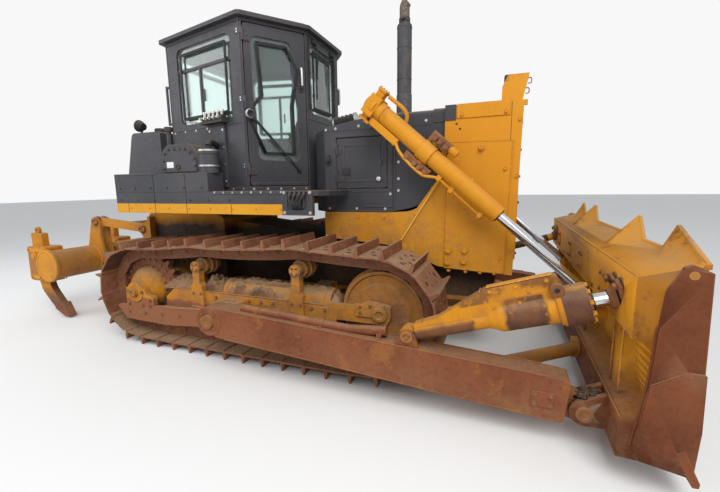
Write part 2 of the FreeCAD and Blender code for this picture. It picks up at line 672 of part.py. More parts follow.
def window_glass():
    """The fixed panes, each set in the middle of its wall."""
    middle = (CAB_WALL - GLASS) / 2
    side = wall_panel(RIGHT_REAR, RIGHT_WIDE, grown(SIDE_WINDOW, -SEAT_GAP), middle, middle + GLASS)
    panes = [side, mirrored(side),
             wall_panel(LEFT_REAR, RIGHT_REAR, grown(REAR_WINDOW, -SEAT_GAP), middle, middle + GLASS),
             wall_panel(RIGHT_NOSE, LEFT_NOSE, grown(NOSE_WINDOW, -SEAT_GAP), middle, middle + GLASS)]
    return Part.makeCompound(panes)


def roof():
    """The roof cap, with a sloped rim all round."""
    rim = plan_profile([(p.x, p.y, 40) for p in cab_plan(-ROOF_OVERHANG)], CAB_EAVES, CAB_EAVES + 34)
    rings = []
    for inset, z in ((-ROOF_OVERHANG + 16, CAB_EAVES + 34), (20, CAB_EAVES + ROOF_THICK)):
        corners = [V(p.x, p.y, z) for p in cab_plan(inset)]
        rings.append(Part.makePolygon(corners + corners[:1]))
    crown = Part.makeLoft(rings, True, True)
    return fuse([rim, crown])


def hinge_axis_point():
    """The door hinge's axis in plan, for the right-hand door."""
    along = (RIGHT_NOSE - RIGHT_WIDE).normalize()
    outward = V(along.y, -along.x, 0)
    return RIGHT_WIDE + along * (DOOR_A[0] - 8) + outward * HINGE_OUT


def door():
    """A cab door with its window hole, hinge leaves and handle."""
    outline = window_outline(DOOR_A[0], DOOR_A[1], DOOR_LOW, DOOR_HIGH, 24)
    panel = wall_panel(RIGHT_WIDE, RIGHT_NOSE, outline, 0, DOOR_THICK)
    panel = panel.cut(wall_panel(RIGHT_WIDE, RIGHT_NOSE, DOOR_WINDOW, -10, DOOR_THICK + 10))
    axis = hinge_axis_point()
    pieces = [panel]
    for z in HINGE_Z:
        leaf = window_outline(DOOR_A[0] - 8, DOOR_A[0] + 60, z, z + HINGE_HIGH, 0)
        pieces.append(wall_panel(RIGHT_WIDE, RIGHT_NOSE, leaf, -HINGE_OUT, 0))
        pieces.append(Part.makeCylinder(HINGE_R, HINGE_HIGH, V(axis.x, axis.y, z)))
    z0, z1 = HANDLE_Z
    grip = window_outline(DOOR_A[1] - 62, DOOR_A[1] - 36, z0, z1, 10)
    pieces.append(wall_panel(RIGHT_WIDE, RIGHT_NOSE, grip, -34, -14))
    for z in (z0 + 12, z1 - 34):
        foot = window_outline(DOOR_A[1] - 60, DOOR_A[1] - 38, z, z + 22, 0)
        pieces.append(wall_panel(RIGHT_WIDE, RIGHT_NOSE, foot, -20, 0))
    return fuse(pieces)


def door_glass():
    """The pane in a door."""
    middle = (DOOR_THICK - GLASS) / 2
    return wall_panel(RIGHT_WIDE, RIGHT_NOSE, DOOR_WINDOW, middle, middle + GLASS)


def hinge_posts():
    """The fixed knuckles that stand on the cab's corner, above each door knuckle."""
    axis = hinge_axis_point()
    along = (RIGHT_WIDE - RIGHT_REAR).normalize()
    back = RIGHT_WIDE - along * 50
    outward = V(along.y, -along.x, 0)
    strap = [(axis.x, axis.y - HINGE_R + 1), (axis.x + 2, axis.y + HINGE_R - 5),
             (RIGHT_WIDE.x - 8, RIGHT_WIDE.y + 4), (back.x, back.y),
             (back.x + outward.x * 8, back.y + outward.y * 8)]
    posts = []
    for z in HINGE_Z:
        low = z + HINGE_HIGH + 1
        posts.append(Part.makeCylinder(HINGE_R, 50, V(axis.x, axis.y, low)))
        posts.append(plan_profile(strap, low, low + 50))
    return posts


def cab():
    """The cab's shell with the door hinges' fixed halves."""
    posts = hinge_posts()
    return fuse([cab_shell()] + posts + [mirrored(post) for post in posts])


def seat():
    """The driver's seat on its pedestal."""
    base = box(560, 900, -170, 170, CAB_FLOOR + 40, 1860)
    cushion = side_profile([(480, 1860, 30), (980, 1860, 40), (990, 1990, 50), (480, 1970, 30)], -260, 260)
    back = side_profile([(400, 1890, 30), (520, 1975), (450, 2560, 50), (330, 2560, 40)], -250, 250)
    rest = side_profile([(430, 2130, 20), (800, 2130, 30), (800, 2190, 30), (430, 2190, 20)], -330, -249)
    return fuse([base, cushion, back, rest, mirrored(rest)])


def controls():
    """The dash under the windscreen and the steering and blade levers beside the seat."""
    dash = side_profile([(1380, CAB_FLOOR + 40), (1600, CAB_FLOOR + 40), (1600, 2330, 30), (1480, 2360, 30),
                         (1400, 2180, 30)], -260, 260)
    lever_box = box(620, 1020, -560, -380, CAB_FLOOR + 40, 2040)
    lever = bar(V(900, -470, 2020), V(960, -470, 2330), 14)
    knob = Part.makeSphere(30, V(963, -470, 2345))
    left_box = box(620, 1020, 380, 560, CAB_FLOOR + 40, 2040)
    left_lever = bar(V(860, 470, 2020), V(940, 470, 2300), 14)
    left_knob = Part.makeSphere(30, V(943, 470, 2312))
    return Part.makeCompound([dash, fuse([lever_box, lever, knob]), fuse([left_box, left_lever, left_knob])])


def grab_rails():
    """The grab rails on the cab's rear corners."""
    r = 14
    x, y = CAB_REAR[0] - 60, -CAB_REAR[1] + 30
    z0, z1 = GRAB_Z
    feet = [bar(V(x, y, z), V(CAB_REAR[0], y, z), r) for z in (z0 + r, z1 - r)]
    return pair(fuse([bar(V(x, y, z0), V(x, y, z1), r)] + feet))


# Engine housing

def housing(inset, low):
    """The engine housing as a solid, moved inward by inset, from z = low up."""
    half = HOOD_HALF - inset
    rear, front, top = HOOD_REAR + inset, GUARD_REAR + inset, HOOD_TOP - inset
    shoulder = 36 - inset
    across_view = front_profile([(-half, low), (half, low), (half, top, shoulder), (-half, top, shoulder)],
                                rear, front)
    along_view = side_profile([(rear, low), (front, low), (front, top), (HOOD_FLAT_X, top),
                               (rear, top - HOOD_SLOPE * (HOOD_FLAT_X - rear))], -half, half)
    dx, dy = HOOD_CHAMFER
    right = [(rear, -half + dy), (rear + dx, -half), (front, -half)]
    plan = plan_profile(right + [(x, -y) for x, y in reversed(right)], low, top)
    return across_view.common(along_view).common(plan)


def hood():
    """The hollow engine housing, with an opening for each engine door and a stepped cover at its front."""
    w = HOOD_WALL
    x0, x1 = ENGINE_DOOR_X
    z0, z1 = ENGINE_DOOR_Z
    edge = ENGINE_DOOR_GAP
    cover = front_profile([(-HOOD_HALF - 8, 2180), (HOOD_HALF + 8, 2180), (HOOD_HALF + 8, HOOD_TOP + 8, 36),
                           (-HOOD_HALF - 8, HOOD_TOP + 8, 36)], COVER_X[0], GUARD_REAR)
    shell = fuse([housing(0, HOOD_LOW), cover]).cut(housing(w, HOOD_LOW - 10))
    holes = pair(box(x0 - edge, x1 + edge, -HOOD_HALF - 10, -HOOD_HALF + w + 5, z0 - edge, z1 + edge))
    leaves = []
    for z in ENGINE_HINGE_Z:
        x, y = engine_hinge_axis()
        low, high = z + 60.5, z + 100.5
        leaves += [Part.makeCylinder(ENGINE_HINGE_R, high - low, V(x, y, low)),
                   box(x - 50, x, -HOOD_HALF - 6, -HOOD_HALF, low, high),
                   box(x - 16, x, -HOOD_HALF - 9, -HOOD_HALF - 5, low, high)]
    hinges = fuse(leaves).cut(box(x0 - edge, x0, -HOOD_HALF - 7, -HOOD_HALF, z0, z1))
    curves = [frame_curve(-HOOD_HALF - 9, -HOOD_HALF + w + 1), frame_curve(HOOD_HALF - w - 1, HOOD_HALF + 9)]
    return fuse([shell.cut(holes), hinges, mirrored(hinges)]).cut(Part.makeCompound(curves))


def frame_curve(y0, y1):
    """The part of the side frame that rises in front of the housing, taken out of the housing's side."""
    low = HOOD_LOW - 1
    return side_profile([(2583, low), (GUARD_REAR + 1, low), (GUARD_REAR + 1, 1760), (3060, 1690, 60),
                         (2900, 1450, 260)], y0, y1)


def engine_hinge_axis():
    """Where the right engine door's hinge stands in plan."""
    return ENGINE_DOOR_X[0] + 2, -HOOD_HALF - ENGINE_HINGE_R - 0.5


def engine_door():
    """A door in the side of the engine housing, hinged at its rear edge."""
    x0, x1 = ENGINE_DOOR_X
    z0, z1 = ENGINE_DOOR_Z
    x, y = engine_hinge_axis()
    panel = side_profile(window_outline(x0, x1, z0, z1, 16), -HOOD_HALF, -HOOD_HALF + HOOD_WALL)
    pieces = [panel]
    for z in ENGINE_HINGE_Z:
        pieces += [Part.makeCylinder(ENGINE_HINGE_R, 60, V(x, y, z)),
                   box(x, x0 + 50, -HOOD_HALF - 9, -HOOD_HALF, z, z + 60)]
    pieces.append(box(x1 - 70, x1 - 45, -HOOD_HALF - 16, -HOOD_HALF, 1830, 1880))
    return fuse(pieces)


def radiator_guard():
    """The yellow guard round the radiator, with the side frames that sweep back under the housing."""
    w = GUARD_HALF - HOOD_HALF
    out, front_x = -GUARD_HALF, GUARD_FRONT
    frame_rear = HOOD_REAR + HOOD_CHAMFER[0]
    side = side_profile([(front_x - 24, GUARD_LOW), (front_x, GUARD_TOP, 10), (GUARD_REAR, GUARD_TOP - 6),
                         (GUARD_REAR, 1740, 30), (3060, 1690, 60), (2900, HOOD_LOW + 20, 260),
                         (2583, HOOD_LOW), (frame_rear, HOOD_LOW), (frame_rear, 1130, 60), (2600, 1080),
                         (3080, GUARD_LOW + 40)], out, out + w)
    plate = side_profile([(3130, GUARD_LOW + 30), (front_x - 90, GUARD_LOW + 10, 30),
                          (front_x - 66, 1990, 40), (3130, 2000)], out - 14, out)
    rib = side_profile([(2640, 1100), (2700, 1095), (3110, 1700), (3080, 1720)], out - 10, out)
    boss = across(YOKE_X, YOKE_Z, 95, out - 40, out + w)
    boss_plate = side_profile([(YOKE_X - 110, YOKE_Z - 110, 40), (YOKE_X + 150, YOKE_Z - 110),
                               (YOKE_X + 150, YOKE_Z + 110), (YOKE_X - 110, YOKE_Z + 110, 40)], out, out + w)
    pivot = across(YOKE_X, YOKE_Z, YOKE_PIN_R, -LIFT_Y + LIFT_BARREL_R + 34, out)
    right = [side, plate, rib, boss, boss_plate, pivot]
    top = box(GUARD_REAR, front_x - 2, out + w, -out - w, GUARD_TOP - 30, GUARD_TOP - 4)
    cover = box(GUARD_REAR, COVER_X[1], out - 8, -out + 8, 2180, HOOD_TOP + 16)
    cover = cover.cut(box(GUARD_REAR - 5, COVER_X[1] + 5, out + 5, -out - 5, 2100, GUARD_TOP - 20))
    front = front_profile([(-HOOD_HALF, GUARD_LOW), (HOOD_HALF, GUARD_LOW), (HOOD_HALF, GUARD_TOP - 20),
                           (-HOOD_HALF, GUARD_TOP - 20)], front_x - 80, front_x - 30)
    window = front_profile([(-430, 1010, 20), (430, 1010, 20), (430, 2170, 20), (-430, 2170, 20)],
                           front_x - 130, front_x + 70)
    floor = box(front_x - 330, front_x - 70, -HOOD_HALF, HOOD_HALF, GUARD_LOW, GUARD_LOW + 40)
    ear = box(front_x - 170, front_x + 26, out, out + 24, GUARD_TOP - 40, EAR_TOP)
    over = EAR_TOP + 20
    slope = side_profile([(front_x - 230, 2280), (front_x - 120, over), (front_x - 230, over)], out, -out)
    nose_slope = side_profile([(front_x - 15, GUARD_TOP), (front_x + 70, GUARD_TOP), (front_x + 70, over),
                               (front_x + 35, over)], out, -out)
    ears = [s.cut(Part.makeCompound([slope, nose_slope])) for s in (ear, mirrored(ear))]
    shelf = box(front_x - 140, front_x - 30, out + 20, -out - 20, SHELF_Z, SHELF_Z + 20)
    return fuse(right + [mirrored(s) for s in right] + [top, cover, front.cut(window), floor, shelf] + ears)


def grille():
    """The slatted grille in the guard's front opening."""
    x = GUARD_FRONT - 30
    bars = [box(x, x + 12, -440, 440, z, z + 16) for z in range(1020, 2170, 46)]
    uprights = [box(x, x + 16, y, y + 30, 1000, 2180) for y in (-446, -160, 130, 416)]
    return fuse(bars + uprights)


def radiator():
    """The radiator core behind the grille."""
    return box(GUARD_FRONT - 310, GUARD_FRONT - 170, -470, 470, GUARD_LOW + 40, 2200)


def engine():
    """The engine, as one block on the frame rails."""
    return box(2000, 3100, -345, 345, RAIL_TOP, 2050)


def exhaust():
    """The upright silencer and the pipe above it."""
    x, top = 2600, HOOD_TOP + 1090
    profile = [(0, 74), (930, 74), (945, 62), (945, 50), (1090, 50)]
    silencer = turned_along(profile, V(x, 0, HOOD_TOP), V(x, 0, top))
    flange = Part.makeCylinder(92, 16, V(x, 0, HOOD_TOP))
    mouth = Part.Face(Part.Wire(Part.makeCircle(50, V(x, 0, top), V(0, 0, 1))))
    elbow = mouth.revolve(V(x + 80, 0, top), ACROSS, 50)
    return fuse([silencer, flange, elbow])


def intake_hose():
    """The ribbed air hose that lies on the housing behind the silencer."""
    ribs, step, r, rib_r = 6, 44, 48, 60
    lie = (rib_r + SEAT_GAP) / math.cos(math.atan(HOOD_SLOPE))
    start, end = [V(x, -330, HOOD_TOP - HOOD_SLOPE * (HOOD_FLAT_X - x) + lie) for x in (1955, 2185)]
    profile = []
    for i in range(ribs):
        a = i * step
        profile += [(a, r), (a + 8, rib_r), (a + 24, rib_r), (a + 32, r)]
    return turned_along(profile, start, end)


def lamps():
    """The front working lamps on the guard's shelf and the rear lamps on the tank."""
    pieces = []
    x, z = GUARD_FRONT - 130, SHELF_Z + 20
    for y in (-380, 380):
        foot = box(x, x + 40, y - 20, y + 20, z, z + 20)
        body = side_profile([(x - 30, z + 20, 20), (x + 50, z + 20, 8), (x + 50, z + 110, 8),
                             (x - 30, z + 110, 20)], y - 80, y + 80)
        pieces.append(fuse([foot, body]))
    for y in (-610, 610):
        stalk = Part.makeCylinder(14, 60, V(-420, y, TANK_TOP))
        head = turned_along([(0, 40), (50, 62), (75, 62)], V(-380, y, TANK_TOP + 80),
                            V(-460, y, TANK_TOP + 95))
        pieces.append(fuse([stalk, head]))
    return Part.makeCompound(pieces)


# Blade and its linkage

def yoke_reach(t):
    """A point on the right lift cylinder's line, t from the yoke towards the blade."""
    start = V(YOKE_X, -LIFT_Y, YOKE_Z)
    along = (V(LIFT_PIN_X, -LIFT_Y, LIFT_PIN_Z) - start).normalize()
    return start + along * t


def lift_barrel():
    """A lift cylinder's barrel, open for its rod, with its cap and collar."""
    r = LIFT_BARREL_R
    cap = [(0, 60), (8, 80), (28, 80), (34, 96), (66, 96), (72, 80), (150, 80), (150, r)]
    collar = [(LIFT_TOP - 70, r), (LIFT_TOP - 70, YOKE_ROOM_R),
              (LIFT_TOP + 50, YOKE_ROOM_R), (LIFT_TOP + 50, r)]
    length = LIFT_TOP + LIFT_LOW
    gland = [(length - 90, r), (length, r - 4)]
    barrel = turned_along(cap + collar + gland, yoke_reach(-LIFT_TOP), yoke_reach(LIFT_LOW))
    bore = bar(yoke_reach(-LIFT_TOP + 120), yoke_reach(LIFT_LOW + 10), LIFT_ROD_R + RUN_FIT)
    head = bar(yoke_reach(-LIFT_TOP - 40), yoke_reach(-LIFT_TOP + 90), 58)
    return fuse([barrel, head]).cut(bore)


def lift_yoke():
    """The fork that holds the barrel's pins and turns on the guard's pivot."""
    along = (yoke_reach(1) - yoke_reach(0)).normalize()
    normal = V(-along.z, 0, along.x)
    upright = FreeCAD.Rotation(V(0, 0, 1), normal)
    centre = yoke_reach(0)
    inner_y = -LIFT_Y + LIFT_BARREL_R + 34
    pieces = []
    for side in (-1, 1):
        arm_centre = centre + normal * (side * 118)
        pin_root = centre + normal * (side * (YOKE_ROOM_R + SEAT_GAP))
        pieces.append(bar(pin_root, centre + normal * (side * 150), 34))
        plate = Part.makeBox(110, 150, 44, V(-55, -60, -22))
        plate.Placement = FreeCAD.Placement(arm_centre + V(0, 45, 0), upright)
        pieces.append(plate)
    bridge = side_profile(window_outline(-60, 60, -140, 140, 30), 0, 36)
    bridge.Placement = FreeCAD.Placement(V(YOKE_X, inner_y - 10, YOKE_Z), upright)
    pieces.append(bridge)
    hub = across(YOKE_X, YOKE_Z, 70, inner_y - 10, -GUARD_HALF - 42)
    hole = across(YOKE_X, YOKE_Z, YOKE_PIN_R + RUN_FIT, inner_y - 60, -GUARD_HALF)
    barrel_room = bar(yoke_reach(-200), yoke_reach(200), YOKE_ROOM_R + SEAT_GAP)
    return fuse(pieces + [hub]).cut(hole).cut(barrel_room)


def lift_rod():
    """A lift cylinder's rod with the eye that meets the blade's pin."""
    shaft = bar(yoke_reach(LIFT_ROD_IN), yoke_reach(LIFT_LENGTH - 50), LIFT_ROD_R)
    eye = across(LIFT_PIN_X, LIFT_PIN_Z, 62, -LIFT_Y - 40, -LIFT_Y + 40)
    return fuse([shaft, eye])


def arm_top(x):
    """The height of a push arm's top face."""
    return 612 - 0.0604 * (x - 1300)


def push_arm():
    """The box arm from the track frame's trunnion to the blade's foot."""
    y0, y1 = -ARM_Y - ARM_WIDTH / 2, -ARM_Y + ARM_WIDTH / 2
    beam = side_profile([(1300, 352, 30), (4020, 158, 30), (4050, 440, 20), (3950, arm_top(3950)),
                         (1300, arm_top(1300), 40)], y0, y1)
    socket = across(TRUNNION_X, TRUNNION_Z, ARM_EYE_R + 30, y0, y1)
    tongue = side_profile([(3980, 190), (ARM_PIN_X, ARM_PIN_Z - 80), (ARM_PIN_X, ARM_PIN_Z + 80),
                           (3980, 400)], -ARM_Y - 45, -ARM_Y + 45)
    eye = across(ARM_PIN_X, ARM_PIN_Z, 80, -ARM_Y - 45, -ARM_Y + 45)
    lug_outline = [(TILT_PIN_X - 110, 470), (TILT_PIN_X + 90, 470), (TILT_PIN_X + 60, TILT_PIN_Z, 40),
                   (TILT_PIN_X, TILT_PIN_Z + 62, 50), (TILT_PIN_X - 60, TILT_PIN_Z, 40)]
    lugs = [side_profile(lug_outline, y, y + 30) for y in (-ARM_Y - 76, -ARM_Y + 46)]
    tilt_pin = across(TILT_PIN_X, TILT_PIN_Z, TILT_EYE_PIN_R, -ARM_Y - 84, -ARM_Y + 84)
    body = fuse([beam, socket, tongue, eye, tilt_pin] + lugs)
    holes = [across(TRUNNION_X, TRUNNION_Z, TRUNNION_R + RUN_FIT, y0 - 10, y1 + 10),
             across(ARM_PIN_X, ARM_PIN_Z, ARM_PIN_R, -ARM_Y - 60, -ARM_Y + 60)]
    return body.cut(Part.makeCompound(holes))


def hose_guard():
    """The tube along the right arm's top that covers the tilt cylinder's hoses."""
    return fuse([bar(V(a, -ARM_Y, arm_top(a) + 16), V(b, -ARM_Y, arm_top(b) + lift), 36)
                 for a, b, lift in ((1560, 2560, 16), (2555, 2850, 60))])


def rake(x, z, along, ahead):
    """A point from (x, z), moved up the cutting edge's slope and out from its face."""
    a = math.radians(EDGE_SLOPE)
    return x - along * math.cos(a) + ahead * math.sin(a), z + along * math.sin(a) + ahead * math.cos(a)


def edge_profile(top, thick):
    """The side outline of an edge plate whose back lies on the mouldboard's straight foot."""
    low = (BLADE_TIP_X, BLADE_CLEAR + 12)
    back = rake(*low, top, -EDGE_THICK)
    front = rake(*low, top, thick - EDGE_THICK)
    heel = rake(*low, 0, -EDGE_THICK)
    foot = ((heel[1] - BLADE_CLEAR) / math.tan(math.radians(EDGE_SLOPE)) + heel[0], BLADE_CLEAR)
    nose = rake(*low, 12, thick - EDGE_THICK)
    return [back, front, nose, (BLADE_TIP_X, BLADE_CLEAR + 4), (BLADE_TIP_X - 6, BLADE_CLEAR), foot]


def mouldboard_face():
    """The mouldboard's face: its foot, bend, a point on the arc, its top, and the arc's centre and radius."""
    low = (BLADE_TIP_X, BLADE_CLEAR + 12)
    foot = rake(*low, SKIN_START, -EDGE_THICK)
    bend = rake(*low, SKIN_BEND, -EDGE_THICK)
    a = math.radians(EDGE_SLOPE)
    to_top = (BLADE_TOP[0] - bend[0], BLADE_TOP[1] - bend[1])
    r = (to_top[0] ** 2 + to_top[1] ** 2) / (2 * (to_top[0] * math.sin(a) + to_top[1] * math.cos(a)))
    centre = (bend[0] + r * math.sin(a), bend[1] + r * math.cos(a))
    chord_middle = ((bend[0] + BLADE_TOP[0]) / 2, (bend[1] + BLADE_TOP[1]) / 2)
    toward = V(chord_middle[0] - centre[0], 0, chord_middle[1] - centre[1]).normalize()
    return foot, bend, (centre[0] + r * toward.x, centre[1] + r * toward.z), BLADE_TOP, centre, r


def blade():
    """The curved mouldboard with end plates, stiffeners, spill plate and lugs for arms and cylinders."""
    half = BLADE_WIDTH / 2
    plate_face = half - WEAR_PLATE
    inside = plate_face - END_PLATE
    foot, bend, middle, top, centre, r = mouldboard_face()

    def at(point, y=-inside):
        return V(point[0], y, point[1])

    def behind(point):
        away = V(point[0] - centre[0], 0, point[1] - centre[1]).normalize()
        return point[0] + away.x * BLADE_SKIN, point[1] + away.z * BLADE_SKIN

    foot_back = rake(*foot, 0, -BLADE_SKIN)

    def straight(*corners):
        return [Part.LineSegment(at(a), at(b)).toShape() for a, b in zip(corners, corners[1:])]

    def arc(*corners):
        return [Part.Arc(*(at(p) for p in corners)).toShape()]

    front = straight(foot, bend) + arc(bend, middle, top)
    rear = straight(top, behind(top)) + arc(behind(top), behind(middle), behind(bend))
    rear += straight(behind(bend), foot_back, foot)
    skin = Part.Face(Part.Wire(front + rear)).extrude(V(0, 2 * inside, 0))
    above, ahead = top[1] + 30, BLADE_TIP_X + 300
    round_front = straight(top, (top[0], above), (ahead, above), (ahead, foot[1] - 200),
                           rake(*foot, -120, 0), foot)
    open_front = Part.Face(Part.Wire(front + round_front)).extrude(V(0, 2 * inside, 0))
    upper_box = [(4262, 850), (4430, 780), (4440, 1000), (4540, 1232), (4500, 1236), (4258, 1168)]
    low_box = [(4246, 175), (4528, 165), (4480, 440), (4420, 470), (4246, 400)]
    web = [(4290, 380), (4450, 380), (4430, 660), (4440, 860), (4290, 870)]
    stiffeners = [side_profile(outline, -inside, inside) for outline in (upper_box, low_box)]
    stiffeners += [side_profile(web, y, y + 60) for y in (-ARM_Y, -500, 440, ARM_Y - 60)]
    eye_room = pair(across(LIFT_PIN_X, LIFT_PIN_Z, 130, -LIFT_Y - 45.9, -LIFT_Y + 45.9))
    pieces = [skin, fuse(stiffeners).cut(open_front).cut(eye_room)]
    front_edge = [(4308, 270), (4330, 205), (4560, 165), (4572, 420), (4562, 716)]
    upper_edge = [(4546, 1214, 12), (4466, 1250, 20), (4436, 1234, 20), (4377, 1113, 30), (4362, 926)]
    plate = side_profile(front_edge + upper_edge + [(4346, 620)], -plate_face, -inside)
    wear = side_profile(front_edge + [(4494, 716), (4346, 620)], -half, -plate_face)
    for shape in (plate, wear):
        pieces += [shape, mirrored(shape)]
    pieces.append(front_profile([(-inside, 1225), (inside, 1225), (inside, 1250), (SPILL_CORNER, 1400),
                                 (-SPILL_CORNER, 1400), (-inside, 1250)], 4526, 4546))
    corner = -SPILL_CORNER
    wing = gusset(V(4530, corner, 1396), V(4534, -inside + 4, 1246), V(4534, corner + 190, 1236),
                  V(4385, corner - 100, 1120), V(4480, corner - 100, 1050))
    pieces += [wing, mirrored(wing)]
    for y in HORN_Y:
        pieces.append(gusset(V(4530, y, 1410), V(4534, y - 150, 1236), V(4534, y + 150, 1236),
                             V(4330, y, 1190), V(4480, y, 1150)))
    for y in (-LIFT_Y - 76, -LIFT_Y + 46):
        lug = side_profile([(4262, 660, 20), (4430, 640), (4430, 880), (4262, 860, 20)], y, y + 30)
        pieces += [lug, mirrored(lug)]
    for y in (-LIFT_Y - 90, -LIFT_Y + 46):
        boss = across(LIFT_PIN_X, LIFT_PIN_Z, 52, y, y + 44)
        pieces += [boss, mirrored(boss)]
    for y in (-ARM_Y - 87, -ARM_Y + 47):
        ear = side_profile([(ARM_PIN_X, ARM_PIN_Z - 82), (4300, 177), (4300, 380), (4240, 390),
                            (ARM_PIN_X, ARM_PIN_Z + 82)], y, y + 40)
        cap = across(ARM_PIN_X, ARM_PIN_Z, 82, y, y + 40)
        pieces += [ear, cap, mirrored(ear), mirrored(cap)]
    pin = across(ARM_PIN_X, ARM_PIN_Z, ARM_PIN_R - RUN_FIT, -ARM_Y - 100, -ARM_Y + 100)
    cup = turned_along([(0, 96), (70, 116), (150, 116)], tilt_line(TILT_LENGTH - 22),
                       tilt_line(TILT_LENGTH + 128))
    room = fuse([Part.makeSphere(TILT_BALL_R + SEAT_GAP, tilt_line(TILT_LENGTH)),
                 bar(tilt_line(TILT_LENGTH - 250), tilt_line(TILT_LENGTH), 62)])
    pieces += [pin, mirrored(pin), cup, mirrored(cup)]
    return fuse(pieces).cut(Part.makeCompound([room, mirrored(room)])).cut(pair(end_bit()))


def gusset(top, left, right, ridge, under):
    """A folded gusset behind the spill plate, with its ridge pointing back."""
    triangles = ((top, left, ridge), (top, ridge, right), (top, right, left),
                 (left, under, ridge), (ridge, under, right), (left, right, under))
    faces = [Part.Face(Part.makePolygon(list(t) + [t[0]])) for t in triangles]
    return Part.Solid(Part.Shell(faces))


def cutting_edge():
    """The bolted edge along the foot of the mouldboard."""
    half = BLADE_WIDTH / 2
    return side_profile(edge_profile(EDGE_HIGH, EDGE_THICK), -half + BIT_LENGTH, half - BIT_LENGTH)


def end_bit():
    """A thicker corner bit at the end of the cutting edge."""
    half = BLADE_WIDTH / 2
    return side_profile(edge_profile(BIT_HIGH, EDGE_THICK + 8), -half, -half + BIT_LENGTH - 1)


def edges():
    """The cutting edge and both corner bits."""
    return Part.makeCompound([cutting_edge(), pair(end_bit())])


def inner_braces():
    """The round tubes that run from each arm to the blade's low box, nearer its middle."""
    arm_face = -ARM_Y + ARM_WIDTH / 2
    right = bar(V(BRACE_X + 38, arm_face - 4, 330), V(4256, -560, 290), 52)
    block = box(BRACE_X - 22, BRACE_X + 98, arm_face, arm_face + 40, 270, 390)
    clevis = box(4190, 4246, -620, -500, 220, 360)
    blade_side = box(4246, 4400, -700, -400, 100, 500)
    return fuse([right, block, clevis]).cut(blade_side).cut(push_arm())


def tilt_line(t):
    start = V(TILT_PIN_X, -ARM_Y, TILT_PIN_Z)
    along = (V(TILT_BALL_X, -ARM_Y, TILT_BALL_Z) - start).normalize()
    return start + along * t


def tilt_cover():
    """The folded cover over the tilt cylinder's ports, drawn along the cylinder's line and out from it."""
    along = tilt_line(1) - tilt_line(0)
    normal = V(-along.z, 0, along.x)
    points = []
    for t, n, r in ((60, 40, 0), (60, 66, 0), (240, 84, 0), (588, 209, 30), (1020, 209, 20), (1040, 150, 0),
                    (1000, 120, 0), (980, 60, 0), (640, 60, 0), (560, 40, 0)):
        p = tilt_line(t) + normal * n
        points.append((p.x, p.z, r))
    return side_profile(points, -ARM_Y - 45, -ARM_Y + 45)


def tilt_cylinder():
    """The tilt cylinder over the right arm: eye, narrow tube, wide barrel, bolted gland and port cover."""
    profile = [(52, 40), (60, 58), (560, 58), (640, 95), (980, 95), (980, 108), (1010, 124), (1150, 124),
               (1150, 50)]
    body = turned_along(profile, tilt_line(0), tilt_line(TILT_LENGTH))
    eye = across(TILT_PIN_X, TILT_PIN_Z, TILT_EYE_R, -ARM_Y - 45, -ARM_Y + 45)
    hole = across(TILT_PIN_X, TILT_PIN_Z, TILT_EYE_PIN_R + RUN_FIT, -ARM_Y - 60, -ARM_Y + 60)
    rod_room = bar(tilt_line(700), tilt_line(1200), TILT_ROD_R)
    return fuse([body, eye, tilt_cover()]).cut(hole).cut(rod_room)


def tilt_rod():
    """The chrome rod and the ball that it ends in."""
    return fuse([bar(tilt_line(700), tilt_line(TILT_LENGTH - 40), TILT_ROD_R - RUN_FIT),
                 Part.makeSphere(TILT_BALL_R, tilt_line(TILT_LENGTH))])


def left_brace():
    """The screw brace over the left arm."""
    profile = [(52, 40), (60, 56), (420, 56), (430, 82), (640, 82), (650, 44), (TILT_LENGTH - 60, 44)]
    body = turned_along(profile, tilt_line(0), tilt_line(TILT_LENGTH))
    eye = across(TILT_PIN_X, TILT_PIN_Z, TILT_EYE_R, -ARM_Y - 45, -ARM_Y + 45)
    hole = across(TILT_PIN_X, TILT_PIN_Z, TILT_EYE_PIN_R + RUN_FIT, -ARM_Y - 60, -ARM_Y + 60)
    ball = Part.makeSphere(TILT_BALL_R, tilt_line(TILT_LENGTH))
    return mirrored(fuse([body, eye, ball]).cut(hole))


# Ripper

def ripper_pins():
    """Each link's height and how far back its pins are, lower first."""
    return ((LOW_PIN_Z, 0.0), (HIGH_PIN_Z, LINK_SHIFT))


def ripper_mount():
    """The cheek plates on the rear of the hull that carry the ripper's links and cylinders."""
    pieces = [box(-470, -430, -620, 620, 470, 1300)]
    high_x = LINK_FRONT_X - LINK_SHIFT
    outline = [(-470, 470), (-470, 1270), (high_x, HIGH_PIN_Z + 72, 40), (high_x - 72, HIGH_PIN_Z, 40),
               (high_x - 20, HIGH_PIN_Z - 80, 40), (LINK_FRONT_X - 20, 860, 60), (LINK_FRONT_X - 20, 700, 60),
               (LINK_FRONT_X - 72, LOW_PIN_Z, 40), (LINK_FRONT_X - 20, 478, 30)]
    for y in (LINK_Y - 72, LINK_Y + 42):
        cheek = side_profile(outline, -y - 30, -y)
        pieces += [cheek, mirrored(cheek)]
    root_x, root_z = RIP_CYL_ROOT
    for y in (RIP_CYL_Y - 62, RIP_CYL_Y + 32):
        ear = side_profile([(-470, root_z - 90), (-470, root_z + 90), (root_x - 48, root_z + 48, 20),
                            (root_x - 48, root_z - 48, 20)], -y - 30, -y)
        pieces += [ear, mirrored(ear)]
    for z, shift in ripper_pins():
        pin = across(LINK_FRONT_X - shift, z, RIPPER_PIN_R, -LINK_Y - 84, -LINK_Y + 84)
        pieces += [pin, mirrored(pin)]
    cyl_pin = across(root_x, root_z, RIP_CYL_PIN_R, -RIP_CYL_Y - 70, -RIP_CYL_Y + 70)
    pieces += [cyl_pin, mirrored(cyl_pin)]
    return fuse(pieces)


